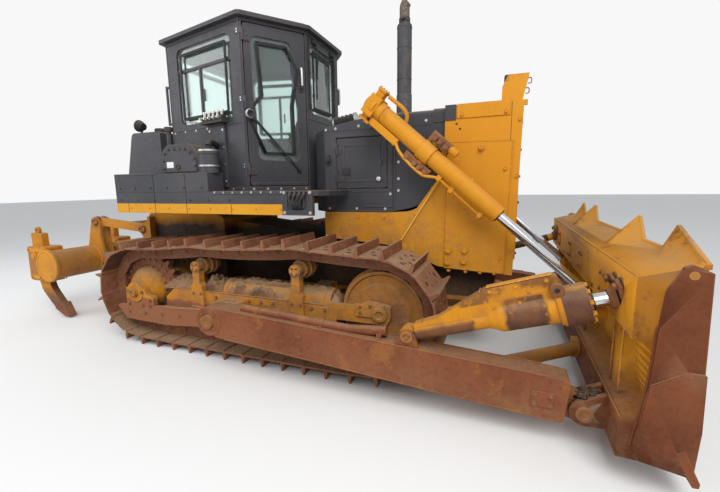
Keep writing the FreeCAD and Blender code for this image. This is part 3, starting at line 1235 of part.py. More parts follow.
def ripper_link(z, shift, depth, tie):
    """A pair of links between the mount's pins and the beam's pins, at one height, joined by a cross tube."""
    front, rear, rear_z = LINK_FRONT_X - shift, LINK_REAR_X - shift, z + LINK_CLIMB
    y0, y1 = -LINK_Y - 41, -LINK_Y + 41
    web = side_profile([(front, z - depth), (front, z + depth), (rear, rear_z + depth),
                        (rear, rear_z - depth)], y0, y1)
    right = fuse([web, across(front, z, 66, y0, y1), across(rear, rear_z, 66, y0, y1)])
    holes = [across(front, z, RIPPER_PIN_R + RUN_FIT, y0 - 5, y1 + 5),
             across(rear, rear_z, RIPPER_PIN_R + RUN_FIT, y0 - 5, y1 + 5)]
    right = right.cut(Part.makeCompound(holes))
    crossing = across((front + rear) / 2, z + LINK_CLIMB / 2, tie, -LINK_Y + 30, LINK_Y - 30)
    return fuse([right, mirrored(right), crossing])


def ripper_beam():
    """The round beam with its end flanges, link lugs and shank pockets."""
    stand, thick = BEAM_FLANGE
    pieces = [across(BEAM_X, BEAM_Z, BEAM_R, -BEAM_HALF, BEAM_HALF)]
    pieces += [across(BEAM_X, BEAM_Z, BEAM_R + stand, y, y + thick) for y in (-BEAM_HALF, BEAM_HALF - thick)]
    low_z, high_z, high_x = LOW_PIN_Z + LINK_CLIMB, HIGH_PIN_Z + LINK_CLIMB, LINK_REAR_X - LINK_SHIFT
    outline = [(BEAM_X - 60, BEAM_Z + 100), (BEAM_X + 40, BEAM_Z - 140, 30), (LINK_REAR_X, low_z - 74, 40),
               (LINK_REAR_X + 74, low_z, 40), (LINK_REAR_X - 10, low_z + 90, 40), (high_x + 60, 1000, 60),
               (high_x + 74, high_z, 40), (high_x, high_z + 74, 40), (high_x - 80, high_z + 40, 40),
               (BEAM_X - 40, 900, 60)]
    for y in (LINK_Y - 72, LINK_Y + 42):
        lug = side_profile(outline, -y - 30, -y)
        pieces += [lug, mirrored(lug)]
    for z, shift in ripper_pins():
        pin = across(LINK_REAR_X - shift, z + LINK_CLIMB, RIPPER_PIN_R, -LINK_Y - 84, -LINK_Y + 84)
        pieces += [pin, mirrored(pin)]
    lug_x, lug_z = RIP_CYL_LUG
    for y in (RIP_CYL_Y - 70, RIP_CYL_Y + 40):
        ear = side_profile([(BEAM_X + 20, BEAM_Z + 150), (BEAM_X + 150, BEAM_Z - 60),
                            (lug_x + 60, lug_z - 60, 40), (lug_x + 60, lug_z + 60, 40),
                            (lug_x - 60, lug_z + 70, 40)], -y - 30, -y)
        outward = 6 if y > RIP_CYL_Y else 0
        boss = across(lug_x, lug_z, 44, -y - 30 - outward, -y + 6 - outward)
        pieces += [ear, boss, mirrored(ear), mirrored(boss)]
    half = SHANK_THICK / 2
    pin_x, pin_z, pin_r = SHANK_PIN
    slots = []
    pins = []
    for y in SHANK_PLACES:
        pieces.append(pocket(y))
        slots.append(side_profile(shank_outline(6), y - half - SEAT_GAP, y + half + SEAT_GAP))
        pins.append(across(pin_x, pin_z, pin_r - RUN_FIT, y - half - 78, y + half + 78))
    return fuse([fuse(pieces).cut(Part.makeCompound(slots))] + pins)


def pocket(y):
    """The housing behind the beam that a shank stands in."""
    half = SHANK_THICK / 2
    return side_profile([(BEAM_X - 40, 930, 30), (TAIL + 20, 920, 30), (TAIL, 480, 40),
                         (BEAM_X - 60, 470, 30)], y - half - 52, y + half + 52)


def shank_outline(grow):
    """The room that a shank takes in its pocket, wider at the bottom where the shank bends forward."""
    rear, front = SHANK_REAR - grow, SHANK_REAR + SHANK_DEEP + grow
    return [(rear, SHANK_TOP), (rear, 440), (front + 46, 440), (front, 650), (front, SHANK_TOP)]


def shanks():
    """The three shanks, each with a lifting eye on top."""
    half = SHANK_THICK / 2
    rear, front = SHANK_REAR, SHANK_REAR + SHANK_DEEP
    outline = [(rear, SHANK_TOP, 15), (rear, 620, 200), (rear + 80, 330, 200), (rear + 300, 110),
               (rear + 430, 190), (front + 50, 380, 200), (front, 620, 200), (front, SHANK_TOP, 15)]
    eye_x, eye_z = rear + 90, SHANK_TOP + 30
    pin_x, pin_z, pin_r = SHANK_PIN
    solids = []
    for y in SHANK_PLACES:
        eye = across(eye_x, eye_z, 46, y - 16, y + 16).cut(across(eye_x, eye_z + 4, 20, y - 20, y + 20))
        hole = across(pin_x, pin_z, pin_r, y - 2 * half, y + 2 * half)
        solids.append(fuse([side_profile(outline, y - half, y + half), eye]).cut(hole))
    return Part.makeCompound(solids)


def shank_points():
    """The replaceable points on the shanks' lower ends."""
    half = SHANK_THICK / 2 + 8
    rear = SHANK_REAR
    outline = [(rear + 300, 109), (rear + 470, 22), (rear + 560, 20), (rear + 560, 44), (rear + 470, 200),
               (rear + 431, 189)]
    return Part.makeCompound([side_profile(outline, y - half, y + half) for y in SHANK_PLACES])


def rip_line(t):
    start = V(RIP_CYL_ROOT[0], -RIP_CYL_Y, RIP_CYL_ROOT[1])
    along = (V(RIP_CYL_LUG[0], -RIP_CYL_Y, RIP_CYL_LUG[1]) - start).normalize()
    return start + along * t


def rip_barrel():
    """A ripper cylinder's barrel."""
    x, z = RIP_CYL_ROOT
    profile = [(40, 28), (94, 28), (104, 58), (540, 58), (540, 68), (600, 68)]
    body = turned_along(profile, rip_line(0), rip_line(RIP_CYL_LENGTH))
    eye = across(x, z, 50, -RIP_CYL_Y - 31, -RIP_CYL_Y + 31)
    hole = across(x, z, RIP_CYL_PIN_R + RUN_FIT, -RIP_CYL_Y - 60, -RIP_CYL_Y + 60)
    bore = bar(rip_line(112), rip_line(700), 32 + RUN_FIT)
    return fuse([body, eye]).cut(hole).cut(bore)


def rip_rod():
    """A ripper cylinder's rod and its solid eye."""
    shaft = bar(rip_line(305), rip_line(RIP_CYL_LENGTH - 30), 32)
    eye = across(RIP_CYL_LUG[0], RIP_CYL_LUG[1], 46, -RIP_CYL_Y - 31, -RIP_CYL_Y + 31)
    return fuse([shaft, eye])


def save(name, shape):
    shape.translate(V(-STATION_MIDDLE, 0, 0))
    shape.exportStep(os.path.join("parts", name + ".step"))


SIDE_PIECES = {
    "track": track, "sprocket": sprocket, "final_drive": final_drive, "idler": idler, "rollers": rollers,
    "track_frame": track_frame, "engine_door": engine_door, "door": door, "door_glass": door_glass,
}
PAIRED_PIECES = {
    "lift_barrels": lift_barrel, "lift_yokes": lift_yoke, "lift_rods": lift_rod,
    "inner_braces": inner_braces, "ripper_barrels": rip_barrel, "ripper_rods": rip_rod,
}
SINGLE_PIECES = {
    "hull": hull, "belly_guard": belly_guard, "cross_members": cross_members, "deck": deck,
    "side_rails": side_rails, "fender_boxes": fender_boxes, "fender_tanks": fender_tanks,
    "fuel_tank": fuel_tank, "cab": cab, "cab_windows": window_glass, "roof": roof, "seat": seat,
    "controls": controls, "grab_rails": grab_rails, "hood": hood, "radiator_guard": radiator_guard,
    "grille": grille, "radiator": radiator, "engine": engine, "exhaust": exhaust,
    "intake_hose": intake_hose, "lamps": lamps, "blade": blade, "cutting_edges": edges,
    "tilt_cylinder": tilt_cylinder, "tilt_rod": tilt_rod, "left_brace": left_brace,
    "ripper_mount": ripper_mount, "ripper_beam": ripper_beam, "shanks": shanks,
    "shank_points": shank_points,
}


def main():
    os.makedirs("parts", exist_ok=True)
    for name, make in SIDE_PIECES.items():
        shape = make()
        save(name + "_left", mirrored(shape))
        save(name + "_right", shape)
    for name, make in PAIRED_PIECES.items():
        save(name, pair(make()))
    for name, make in SINGLE_PIECES.items():
        save(name, make())
    arm = push_arm()
    save("push_arm_left", mirrored(arm))
    save("push_arm_right", fuse([arm, hose_guard()]))
    save("ripper_lower_links", ripper_link(LOW_PIN_Z, 0.0, 52, 48))
    save("ripper_upper_links", ripper_link(HIGH_PIN_Z, LINK_SHIFT, 50, 34))


main()
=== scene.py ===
"""The looks of the crawler bulldozer: finishes, fasteners, seals, pipes, dirt, camera and light.

Places are given like the construction's: millimetres, X from the sprocket's axis forward, Y to the machine's left, Z up.
"""

import math

import bmesh
import bpy
from mathutils import Matrix, Vector, noise


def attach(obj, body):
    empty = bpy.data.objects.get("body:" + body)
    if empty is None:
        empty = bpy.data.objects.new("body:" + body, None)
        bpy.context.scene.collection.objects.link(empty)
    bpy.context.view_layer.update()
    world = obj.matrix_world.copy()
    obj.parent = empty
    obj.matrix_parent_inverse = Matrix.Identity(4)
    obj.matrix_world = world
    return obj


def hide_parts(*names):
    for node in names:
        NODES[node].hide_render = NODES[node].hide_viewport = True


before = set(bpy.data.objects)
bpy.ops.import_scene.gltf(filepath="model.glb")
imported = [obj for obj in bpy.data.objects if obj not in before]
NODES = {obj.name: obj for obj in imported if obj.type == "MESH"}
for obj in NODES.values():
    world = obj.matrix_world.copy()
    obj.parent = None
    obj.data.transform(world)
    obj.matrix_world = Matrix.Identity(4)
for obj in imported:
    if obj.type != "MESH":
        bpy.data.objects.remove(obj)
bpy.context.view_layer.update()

STATION_MIDDLE = 1220.0  # the part's middle, forward of the sprocket's axis


def at(x, y, z):
    """A place in station millimetres as a point of the row frame."""
    return Vector(((x - STATION_MIDDLE) / 1000, y / 1000, z / 1000))


# Finishes

DULL_SHINE = 0.22  # how much old enamel, rust and rubber reflect


class Finish:
    """One material and the few node steps that every finish here is made of."""

    def __init__(self, name):
        self.material = bpy.data.materials.new(name)
        self.material.use_nodes = True
        self.nodes = self.material.node_tree.nodes
        self.links = self.material.node_tree.links
        self.nodes.clear()
        self.surface = self.nodes.new("ShaderNodeBsdfPrincipled")
        output = self.nodes.new("ShaderNodeOutputMaterial")
        self.links.new(self.surface.outputs[0], output.inputs["Surface"])
        coordinates = self.nodes.new("ShaderNodeTexCoord")
        self.place = coordinates.outputs["Object"]
        self.facing = coordinates.outputs["Normal"]
        self.surface.inputs["Specular IOR Level"].default_value = DULL_SHINE

    def feed(self, socket, value):
        if isinstance(value, bpy.types.NodeSocket):
            self.links.new(value, socket)
        elif isinstance(value, tuple) and len(value) == 3 and socket.type == "RGBA":
            socket.default_value = (*value, 1)
        else:
            socket.default_value = value

    def step(self, kind, inputs, output=0, **settings):
        node = self.nodes.new("ShaderNode" + kind)
        for key, value in settings.items():
            setattr(node, key, value)
        for key, value in inputs.items():
            self.feed(node.inputs[key], value)
        return node.outputs[output]

    def stretched(self, scale):
        return self.step("Mapping", {"Vector": self.place, "Scale": scale})

    def noise(self, scale, detail=3.0, roughness=0.55, stretch=None):
        place = self.stretched(stretch) if stretch else self.place
        return self.step("TexNoise", {"Vector": place, "Scale": scale, "Detail": detail,
                                      "Roughness": roughness})

    def cells(self, scale, stretch=None):
        place = self.stretched(stretch) if stretch else self.place
        return self.step("TexVoronoi", {"Vector": place, "Scale": scale})

    def reach(self, value, low, high, to_low=0.0, to_high=1.0):
        """Value moved from low..high to to_low..to_high, and held there."""
        return self.step("MapRange", {"Value": value, "From Min": low, "From Max": high, "To Min": to_low,
                                      "To Max": to_high})

    def math(self, operation, a, b=0.0):
        return self.step("Math", {0: a, 1: b}, operation=operation)

    def times(self, a, b):
        return self.math("MULTIPLY", a, b)

    def most(self, a, b):
        return self.math("MAXIMUM", a, b)

    def mix(self, share, a, b):
        return self.step("MixRGB", {"Fac": share, "Color1": a, "Color2": b})

    def part(self, vector, axis):
        return self.step("SeparateXYZ", {0: vector}, output="XYZ".index(axis))

    def edges(self, radius, low=0.02, high=0.3):
        """How near a surface is to an outer or inner corner, from 0 to 1."""
        rounded = self.step("Bevel", {"Radius": radius}, samples=4)
        plain = self.step("NewGeometry", {}, output="Normal")
        alike = self.step("VectorMath", {0: rounded, 1: plain}, output="Value", operation="DOT_PRODUCT")
        return self.reach(alike, 1 - low, 1 - high)

    def bump(self, height, distance, strength=0.4):
        return self.step("Bump", {"Height": height, "Distance": distance, "Strength": strength})

    def done(self, colour, roughness, normal=None, **sockets):
        self.feed(self.surface.inputs["Base Color"], colour)
        self.feed(self.surface.inputs["Roughness"], roughness)
        if normal is not None:
            self.feed(self.surface.inputs["Normal"], normal)
        for key, value in sockets.items():
            self.feed(self.surface.inputs[key.replace("_", " ")], value)
        return self.material


RUST = (0.165, 0.048, 0.018)
RUST_DARK = (0.052, 0.018, 0.010)
RUST_LIGHT = (0.32, 0.115, 0.042)
MUD = (0.33, 0.165, 0.075)
MUD_DARK = (0.105, 0.052, 0.026)
DUST = (0.32, 0.215, 0.125)
BARE = (0.30, 0.19, 0.13)
YELLOW = (0.56, 0.220, 0.006)
YELLOW_FADED = (0.62, 0.270, 0.015)
YELLOW_DIRTY = (0.42, 0.165, 0.015)
CHARCOAL = (0.036, 0.037, 0.043)
CHARCOAL_FADED = (0.060, 0.060, 0.067)


def dirt_over(f, colour, dust, mud_top, mud_share, streaks):
    """Dust on what faces up, mud near the ground and dark runs down the sides, over a colour."""
    up = f.part(f.facing, "Z")
    height = f.part(f.place, "Z")
    broad = f.noise(2.3, 5)
    fine = f.noise(24, 6, 0.7)
    if streaks:
        runs = f.reach(f.noise(1.0, 5, 0.62, (11, 11, 0.9)), 0.52, 0.80)
        side = f.reach(f.math("ABSOLUTE", up), 0.75, 0.35)
        share = f.times(f.times(runs, side), f.reach(broad, 0.44, 0.66, 0.0, streaks))
        colour = f.mix(share, colour, MUD_DARK)
    lying = f.times(f.reach(up, 0.35, 0.9), f.reach(f.most(fine, broad), 0.40, 0.62, 0.25, dust))
    colour = f.mix(lying, colour, DUST)
    if mud_share:
        low = f.reach(height, mud_top, mud_top * 0.35)
        spotted = f.reach(f.math("ADD", f.times(broad, 0.6), f.times(fine, 0.5)), 0.47, 0.60, 0.0, mud_share)
        colour = f.mix(f.times(low, spotted), colour, f.mix(fine, MUD_DARK, MUD))
    return colour


def painted(name, base, faded, rust=0.5, dust=0.5, mud_top=0.9, mud_share=0.7, streaks=0.5, gloss=0.42,
            worn=RUST,
            edge_share=0.75):
    """Old enamel: faded in patches, chipped at its edges, stained by rust, and dusty."""
    f = Finish(name)
    broad = f.noise(1.1, 4)
    fine = f.noise(38, 5, 0.65)
    speck = f.noise(150, 2)
    colour = f.mix(f.reach(broad, 0.35, 0.65), base, faded)
    colour = f.mix(f.reach(speck, 0.62, 0.75, 0, 0.25), colour, tuple(c * 0.45 for c in base))
    blots = f.times(f.reach(f.noise(6.5, 8, 0.72), 0.60 - 0.07 * rust, 0.70 - 0.05 * rust),
                    f.reach(fine, 0.3, 0.55))
    chips = f.times(f.edges(0.014), f.reach(fine, 0.42, 0.56))
    bare = f.most(f.times(blots, rust), f.times(chips, edge_share))
    colour = f.mix(bare, colour, f.mix(fine, worn, RUST_LIGHT))
    colour = dirt_over(f, colour, dust, mud_top, mud_share, streaks)
    height = f.math("SUBTRACT", f.times(fine, 0.35), f.times(bare, 0.8))
    return f.done(colour, f.reach(f.most(bare, fine), 0.3, 0.9, gloss, 0.85), f.bump(height, 0.004, 0.35))


def rusty(name, base, light, paint=None, paint_share=0.0, mud_top=0.6, mud_share=0.6, dust=0.5, gloss=0.62):
    """Rusted steel with what is left of its paint."""
    f = Finish(name)
    broad = f.noise(2.0, 6, 0.6)
    fine = f.noise(30, 7, 0.7)
    grain = f.noise(120, 3)
    colour = f.mix(f.reach(broad, 0.36, 0.64), base, light)
    colour = f.mix(f.reach(fine, 0.52, 0.70, 0, 0.4), colour, RUST_DARK)
    if paint:
        kept = f.times(f.reach(f.noise(3.2, 9, 0.7), 0.56, 0.62), f.reach(fine, 0.35, 0.5))
        colour = f.mix(f.times(kept, paint_share), colour, paint)
    rubbed = f.times(f.edges(0.016), f.reach(fine, 0.35, 0.6))
    colour = f.mix(f.times(rubbed, 0.65), colour, RUST_LIGHT)
    colour = dirt_over(f, colour, dust, mud_top, mud_share, 0.45)
    height = f.math("ADD", f.times(fine, 0.7), f.times(grain, 0.3))
    return f.done(colour, f.reach(fine, 0.3, 0.7, gloss, 0.92), f.bump(height, 0.006, 0.5))


def blade_finish():
    """Yellow behind, rusty on the end plates and along the foot, and scoured bright on the mouldboard's face."""
    f = Finish("blade_finish")
    x, y, z = (f.part(f.place, a) for a in "XYZ")
    broad = f.noise(1.4, 5)
    fine = f.noise(34, 6, 0.68)
    spots = f.noise(5.0, 8, 0.7)
    yellow = f.mix(f.reach(broad, 0.35, 0.65), YELLOW, YELLOW_FADED)
    yellow = f.mix(f.times(f.reach(spots, 0.57, 0.66), f.reach(fine, 0.35, 0.5)), yellow,
                   f.mix(fine, RUST, RUST_LIGHT))
    brown = f.mix(f.reach(broad, 0.38, 0.62), (0.115, 0.029, 0.009), (0.170, 0.050, 0.016))
    brown = f.mix(f.reach(fine, 0.5, 0.68, 0, 0.25), brown, RUST_DARK)
    end = f.reach(f.math("ABSOLUTE", y), 1.764, 1.772)
    foot = f.reach(f.math("ADD", z, f.times(spots, 0.5)), 0.86, 0.60)
    colour = f.mix(f.most(end, foot), yellow, brown)
    front = f.reach(f.part(f.facing, "X"), 0.25, 0.45)
    scoured = f.mix(f.reach(f.noise(1.0, 5, 0.6, (3, 1.2, 14)), 0.4, 0.62), (0.24, 0.12, 0.07),
                    (0.40, 0.33, 0.28))
    colour = f.mix(f.times(front, f.math("SUBTRACT", 1.0, end)), colour, scoured)
    rubbed = f.times(f.edges(0.014), f.reach(fine, 0.38, 0.58))
    colour = f.mix(f.times(rubbed, 0.7), colour, RUST_LIGHT)
    colour = dirt_over(f, colour, 0.55, 0.42, 0.6, 0.5)
    height = f.math("ADD", f.times(fine, 0.6), f.times(spots, 0.4))
    return f.done(colour, f.reach(fine, 0.3, 0.7, 0.48, 0.88), f.bump(height, 0.005, 0.4))


def running_gear(name, base, light, mud_share=0.95, kept=0.0, framed=False):
    """What rolls in the dirt: brown steel beneath dried mud, with traces of yellow, and painted shade on the faces
    that look down.
    """
    f = Finish(name)
    broad = f.noise(3.4, 7, 0.65)
    fine = f.noise(45, 7, 0.7)
    lumps = f.noise(14, 6, 0.6)
    colour = f.mix(f.reach(broad, 0.36, 0.62), base, light)
    if kept:
        colour = f.mix(f.times(f.reach(f.noise(2.6, 8, 0.7), 0.40, 0.56), kept), colour,
                       f.mix(fine, YELLOW_DIRTY, YELLOW))
    if framed:
        height = f.math("ADD", f.part(f.place, "Z"), f.times(broad, 0.12))
        low = f.times(f.reach(height, 0.565, 0.545), f.reach(f.part(f.place, "X"), 0.0, -0.3, 0.35, 0.95))
        colour = f.mix(low, colour, f.mix(fine, (0.17, 0.058, 0.028), (0.30, 0.115, 0.055)))
        high = f.times(f.reach(height, 0.86, 0.90), f.reach(lumps, 0.40, 0.52, 0.2, 0.95))
        colour = f.mix(high, colour, f.mix(fine, MUD_DARK, MUD))
    rubbed = f.times(f.edges(0.02), f.reach(fine, 0.38, 0.6))
    colour = f.mix(f.times(rubbed, 0.55), colour, BARE)
    caked = f.reach(f.math("ADD", f.times(lumps, 0.55), f.times(broad, 0.5)), 0.52, 0.64, 0.0, mud_share)
    colour = f.mix(caked, colour, f.mix(fine, MUD_DARK, MUD))
    # Painted shade: faces that look down are darkened toward near black.
    painted_underside_shade = f.reach(f.part(f.facing, "Z"), -0.15, -0.7, 0.0, 0.75)
    colour = f.mix(painted_underside_shade, colour, (0.034, 0.018, 0.011))
    lying = f.times(f.reach(f.part(f.facing, "Z"), 0.4, 0.9), f.reach(fine, 0.35, 0.55, 0.3, 0.9))
    colour = f.mix(lying, colour, DUST)
    relief = f.math("ADD", f.times(f.math("ADD", fine, f.times(lumps, 1.6)), 0.5), f.times(caked, 0.8))
    return f.done(colour, f.reach(fine, 0.3, 0.7, 0.7, 0.95), f.bump(relief, 0.012, 0.6))


def shank_with_painted_shade():
    """The shanks: yellow on their sides and head, dark brown low down where the ground rubs them, and dark brown on
    the faces that do not look sideways, painted shade for the front faces that lay in shadow.
    """
    f = Finish("shank_finish")
    fine = f.noise(34, 6, 0.68)
    broad = f.noise(4.0, 6, 0.65)
    height = f.part(f.place, "Z")
    # Painted shade: below the head, only faces that look sideways keep the yellow, so front and back faces are
    # painted dark brown.
    side = f.reach(f.math("ABSOLUTE", f.part(f.facing, "Y")), 0.6, 0.85)
    head = f.reach(height, 0.88, 0.92)
    kept = f.times(f.most(side, head), f.reach(f.math("ADD", height, f.times(broad, 0.45)), 0.46, 0.60))
    yellow = f.mix(f.reach(broad, 0.4, 0.6), YELLOW, YELLOW_DIRTY)
    brown = f.mix(fine, (0.075, 0.034, 0.020), (0.17, 0.075, 0.036))
    colour = f.mix(kept, brown, yellow)
    colour = f.mix(f.times(f.edges(0.012), f.reach(fine, 0.4, 0.6)), colour, RUST_LIGHT)
    colour = dirt_over(f, colour, 0.5, 0.5, 0.6, 0.4)
    return f.done(colour, f.reach(fine, 0.3, 0.7, 0.5, 0.9), f.bump(fine, 0.004, 0.4))


def greasy_cylinder(start, along):
    """A yellow cylinder whose barrel and gland are brown with oil and dirt, by the distance along its line."""
    f = Finish("tilt_finish")
    x, z = f.part(f.place, "X"), f.part(f.place, "Z")
    dx, dz = f.math("SUBTRACT", x, start.x), f.math("SUBTRACT", z, start.z)
    t = f.math("ADD", f.times(dx, along.x), f.times(dz, along.z))
    n = f.math("SUBTRACT", f.times(dz, along.x), f.times(dx, along.z))
    fine = f.noise(32, 6, 0.68)
    broad = f.noise(5.5, 6, 0.66)
    yellow = f.mix(f.reach(broad, 0.4, 0.62), YELLOW, YELLOW_DIRTY)
    brown = f.mix(f.reach(broad, 0.35, 0.65), (0.060, 0.026, 0.018), (0.155, 0.060, 0.028))
    patchy = f.noise(4.2, 8, 0.7)
    shifted = f.math("ADD", t, f.times(patchy, 0.16))
    barrel = f.times(f.reach(shifted, 0.735, 0.765), f.reach(shifted, 1.005, 0.985))
    gland = f.reach(t, 1.005, 1.010)
    tube = f.times(f.reach(shifted, 0.56, 0.54), f.reach(f.math("ADD", n, f.times(patchy, 0.08)), 0.085,
                                                         0.05))
    low = f.reach(f.math("ADD", n, f.times(patchy, 0.06)), 0.155, 0.135)
    cover = f.times(f.reach(n, 0.115, 0.125), f.reach(patchy, 0.46, 0.53, 0.0, 0.75))
    round_parts = f.most(f.most(f.times(barrel, f.reach(patchy, 0.36, 0.44, 0.45, 0.97)), gland),
                         f.times(tube, 0.9))
    share = f.most(f.times(round_parts, low), cover)
    colour = f.mix(share, yellow, brown)
    colour = f.mix(f.times(f.edges(0.014), f.reach(fine, 0.42, 0.6, 0, 0.7)), colour, RUST_LIGHT)
    colour = dirt_over(f, colour, 0.5, 0.3, 0.2, 0.4)
    return f.done(colour, f.reach(fine, 0.3, 0.7, 0.38, 0.8), f.bump(fine, 0.003, 0.35))


def hull_side():
    """The hull between the tracks: yellow high up and at the rear, near black lower down, partly oil and mud and
    partly painted shade for the shadow between the tracks.
    """
    f = Finish("hull_side")
    fine = f.noise(22, 6, 0.68)
    broad = f.noise(2.4, 5)
    high = f.reach(f.math("ADD", f.part(f.place, "Z"), f.times(broad, 0.25)), 1.30, 1.42)
    # Oil and painted shade: the near black of the lower hull stands for oily dirt and for the shadow between the
    # tracks.
    dark = f.mix(f.reach(broad, 0.35, 0.65), (0.022, 0.014, 0.010), (0.060, 0.034, 0.020))
    colour = f.mix(high, dark, f.mix(f.reach(broad, 0.4, 0.6), YELLOW, YELLOW_DIRTY))
    colour = dirt_over(f, colour, 0.5, 0.9, 0.35, 0.3)
    return f.done(colour, f.reach(fine, 0.3, 0.7, 0.5, 0.95), f.bump(fine, 0.006, 0.4))


def guard_finish():
    """The guard's yellow enamel, muddy along its foot, with the charcoal strap over the housing's front."""
    f = Finish("guard_finish")
    x, z = f.part(f.place, "X"), f.part(f.place, "Z")
    broad = f.noise(1.1, 4)
    fine = f.noise(38, 5, 0.65)
    spots = f.noise(7.5, 8, 0.7)
    yellow = f.mix(f.reach(broad, 0.35, 0.65), YELLOW, YELLOW_FADED)
    blots = f.times(f.reach(spots, 0.60, 0.70), f.reach(fine, 0.35, 0.55))
    yellow = f.mix(f.times(blots, 0.5), yellow, f.mix(fine, RUST, RUST_LIGHT))
    strap = f.times(f.reach(x, 1.9825, 1.9815), f.reach(z, 2.1785, 2.1795))
    colour = f.mix(strap, yellow, f.mix(f.reach(broad, 0.35, 0.65), CHARCOAL, CHARCOAL_FADED))
    splash = f.times(f.reach(f.math("ADD", z, f.times(f.math("SUBTRACT", x, 1.5), 0.45)), 1.75, 1.05),
                     f.reach(f.math("ADD", f.times(spots, 0.6), f.times(fine, 0.45)), 0.44, 0.62, 0.0, 0.75))
    colour = f.mix(splash, colour, f.mix(fine, (0.26, 0.125, 0.05), MUD))
    colour = f.mix(f.times(f.edges(0.012), f.reach(fine, 0.45, 0.6, 0, 0.45)), colour, RUST)
    colour = dirt_over(f, colour, 0.4, 0.5, 0.2, 0.35)
    return f.done(colour, f.reach(fine, 0.3, 0.9, 0.40, 0.75), f.bump(fine, 0.003, 0.3))


def chrome():
    """Polished rods, with an oily film in places."""
    f = Finish("chrome_rod")
    film = f.reach(f.noise(5, 4, 0.6), 0.52, 0.80)
    colour = f.mix(f.times(film, 0.4), (0.56, 0.57, 0.59), (0.34, 0.29, 0.24))
    return f.done(colour, f.reach(film, 0.0, 1.0, 0.14, 0.36), Metallic=1.0)


def glass():
    """Pale green glass with dusty runs."""
    f = Finish("pale_glass")
    streaks = f.reach(f.noise(1.0, 5, 0.6, (9, 9, 1.6)), 0.45, 0.75)
    dust = f.times(streaks, 0.10)
    colour = f.mix(dust, (0.80, 0.93, 0.90), (0.62, 0.62, 0.56))
    return f.done(colour, f.reach(streaks, 0, 1, 0.03, 0.16), Transmission_Weight=0.94, IOR=1.45)


def plain(name, colour, light, roughness=0.6, scale=60.0, bump=0.002, **sockets):
    """A small part's finish: two shades of a colour, grain and a light film of dust."""
    f = Finish(name)
    grain = f.noise(scale, 5, 0.65)
    broad = f.noise(4.0, 4)
    mixed = f.mix(f.reach(broad, 0.35, 0.65), colour, light)
    mixed = f.mix(f.times(f.reach(f.part(f.facing, "Z"), 0.3, 0.9), f.reach(grain, 0.4, 0.65, 0.1, 0.45)),
                  mixed, DUST)
    return f.done(mixed, f.reach(grain, 0.3, 0.7, roughness * 0.8, min(1.0, roughness * 1.25)),
                  f.bump(grain, bump, 0.5),
                  **sockets)


def exhaust_metal():
    """A sooty silencer whose pipe is burnt brown near its mouth."""
    f = Finish("exhaust_metal")
    height = f.part(f.place, "Z")
    fine = f.noise(40, 7, 0.7)
    spots = f.noise(9, 7, 0.7)
    sooty = f.mix(f.reach(spots, 0.42, 0.66), (0.072, 0.074, 0.082), (0.115, 0.095, 0.085))
    burnt = f.mix(f.reach(fine, 0.4, 0.6), (0.20, 0.16, 0.14), (0.10, 0.07, 0.055))
    colour = f.mix(f.reach(height, 3.26, 3.34), sooty, burnt)
    return f.done(colour, f.reach(fine, 0.3, 0.7, 0.5, 0.9), f.bump(fine, 0.003, 0.4), Metallic=0.35)


def vinyl():
    """The seat's black grained cover."""
    f = Finish("seat_vinyl")
    leather = f.cells(260)
    shade = f.noise(5, 4)
    colour = f.mix(f.reach(shade, 0.35, 0.65), (0.030, 0.030, 0.033), (0.055, 0.054, 0.056))
    return f.done(colour, f.reach(leather, 0, 0.6, 0.42, 0.62), f.bump(leather, 0.0012, 0.5))


def lens():
    """A lamp's ribbed glass."""
    f = Finish("lamp_lens")
    ribs = f.step("TexWave", {"Vector": f.place, "Scale": 60.0}, bands_direction="Y")
    return f.done((0.80, 0.82, 0.82), 0.08, f.bump(ribs, 0.002, 0.5), Transmission_Weight=0.5, IOR=1.45)


yellow_paint = painted("yellow_paint", YELLOW, YELLOW_FADED, rust=0.35)
# Painted light: the side rails get a slightly brighter, cleaner copy of the yellow paint, which makes up for the
# fender boxes' shade on them.
rail_yellow_painted_light = painted("rail_yellow_painted_light", (0.56, 0.245, 0.008), (0.62, 0.29, 0.016), rust=0.3, dust=0.3,
                      mud_share=0, streaks=0.2)
ripper_yellow = painted("ripper_yellow", YELLOW, YELLOW_DIRTY, rust=1.0, mud_top=1.9, mud_share=0.65,
                        streaks=0.7)
yellow_plain = painted("yellow_plain", YELLOW, YELLOW_FADED, rust=0.25, dust=0.35, streaks=0.6, mud_share=0.5)
yellow_muddy = running_gear("yellow_muddy", (0.24, 0.105, 0.030), (0.36, 0.165, 0.04), mud_share=0.42,
                            kept=0.97)
frame_muddy = running_gear("frame_muddy", (0.26, 0.105, 0.030), (0.38, 0.165, 0.04), mud_share=0.42,
                           kept=0.97,
                           framed=True)
dark_paint = painted("dark_paint", CHARCOAL, CHARCOAL_FADED, rust=0.12, dust=0.55, mud_share=0.0,
                     streaks=0.35, gloss=0.33,
                     worn=(0.16, 0.15, 0.14), edge_share=0.5)
arm_finish = rusty("arm_finish", (0.150, 0.043, 0.017), (0.235, 0.078, 0.032), paint=(0.40, 0.165, 0.03),
                   paint_share=0.35, mud_top=0.45)
shank_finish = shank_with_painted_shade()
tilt_finish = greasy_cylinder(at(3020, -1440, 585), (at(4300, 0, 985) - at(3020, 0, 585)).normalized())
hull_finish = hull_side()
guard_yellow = guard_finish()
track_steel = running_gear("track_steel", (0.155, 0.054, 0.028), (0.27, 0.105, 0.055), mud_share=0.65)
gear_dirty = running_gear("gear_dirty", (0.13, 0.055, 0.026), (0.24, 0.105, 0.045), mud_share=0.8, kept=0.45)
edge_steel = rusty("edge_steel", (0.13, 0.035, 0.012), (0.205, 0.064, 0.022), mud_top=0.3, mud_share=0.3)
blade_paint = blade_finish()
chrome_rod = chrome()
pale_glass = glass()
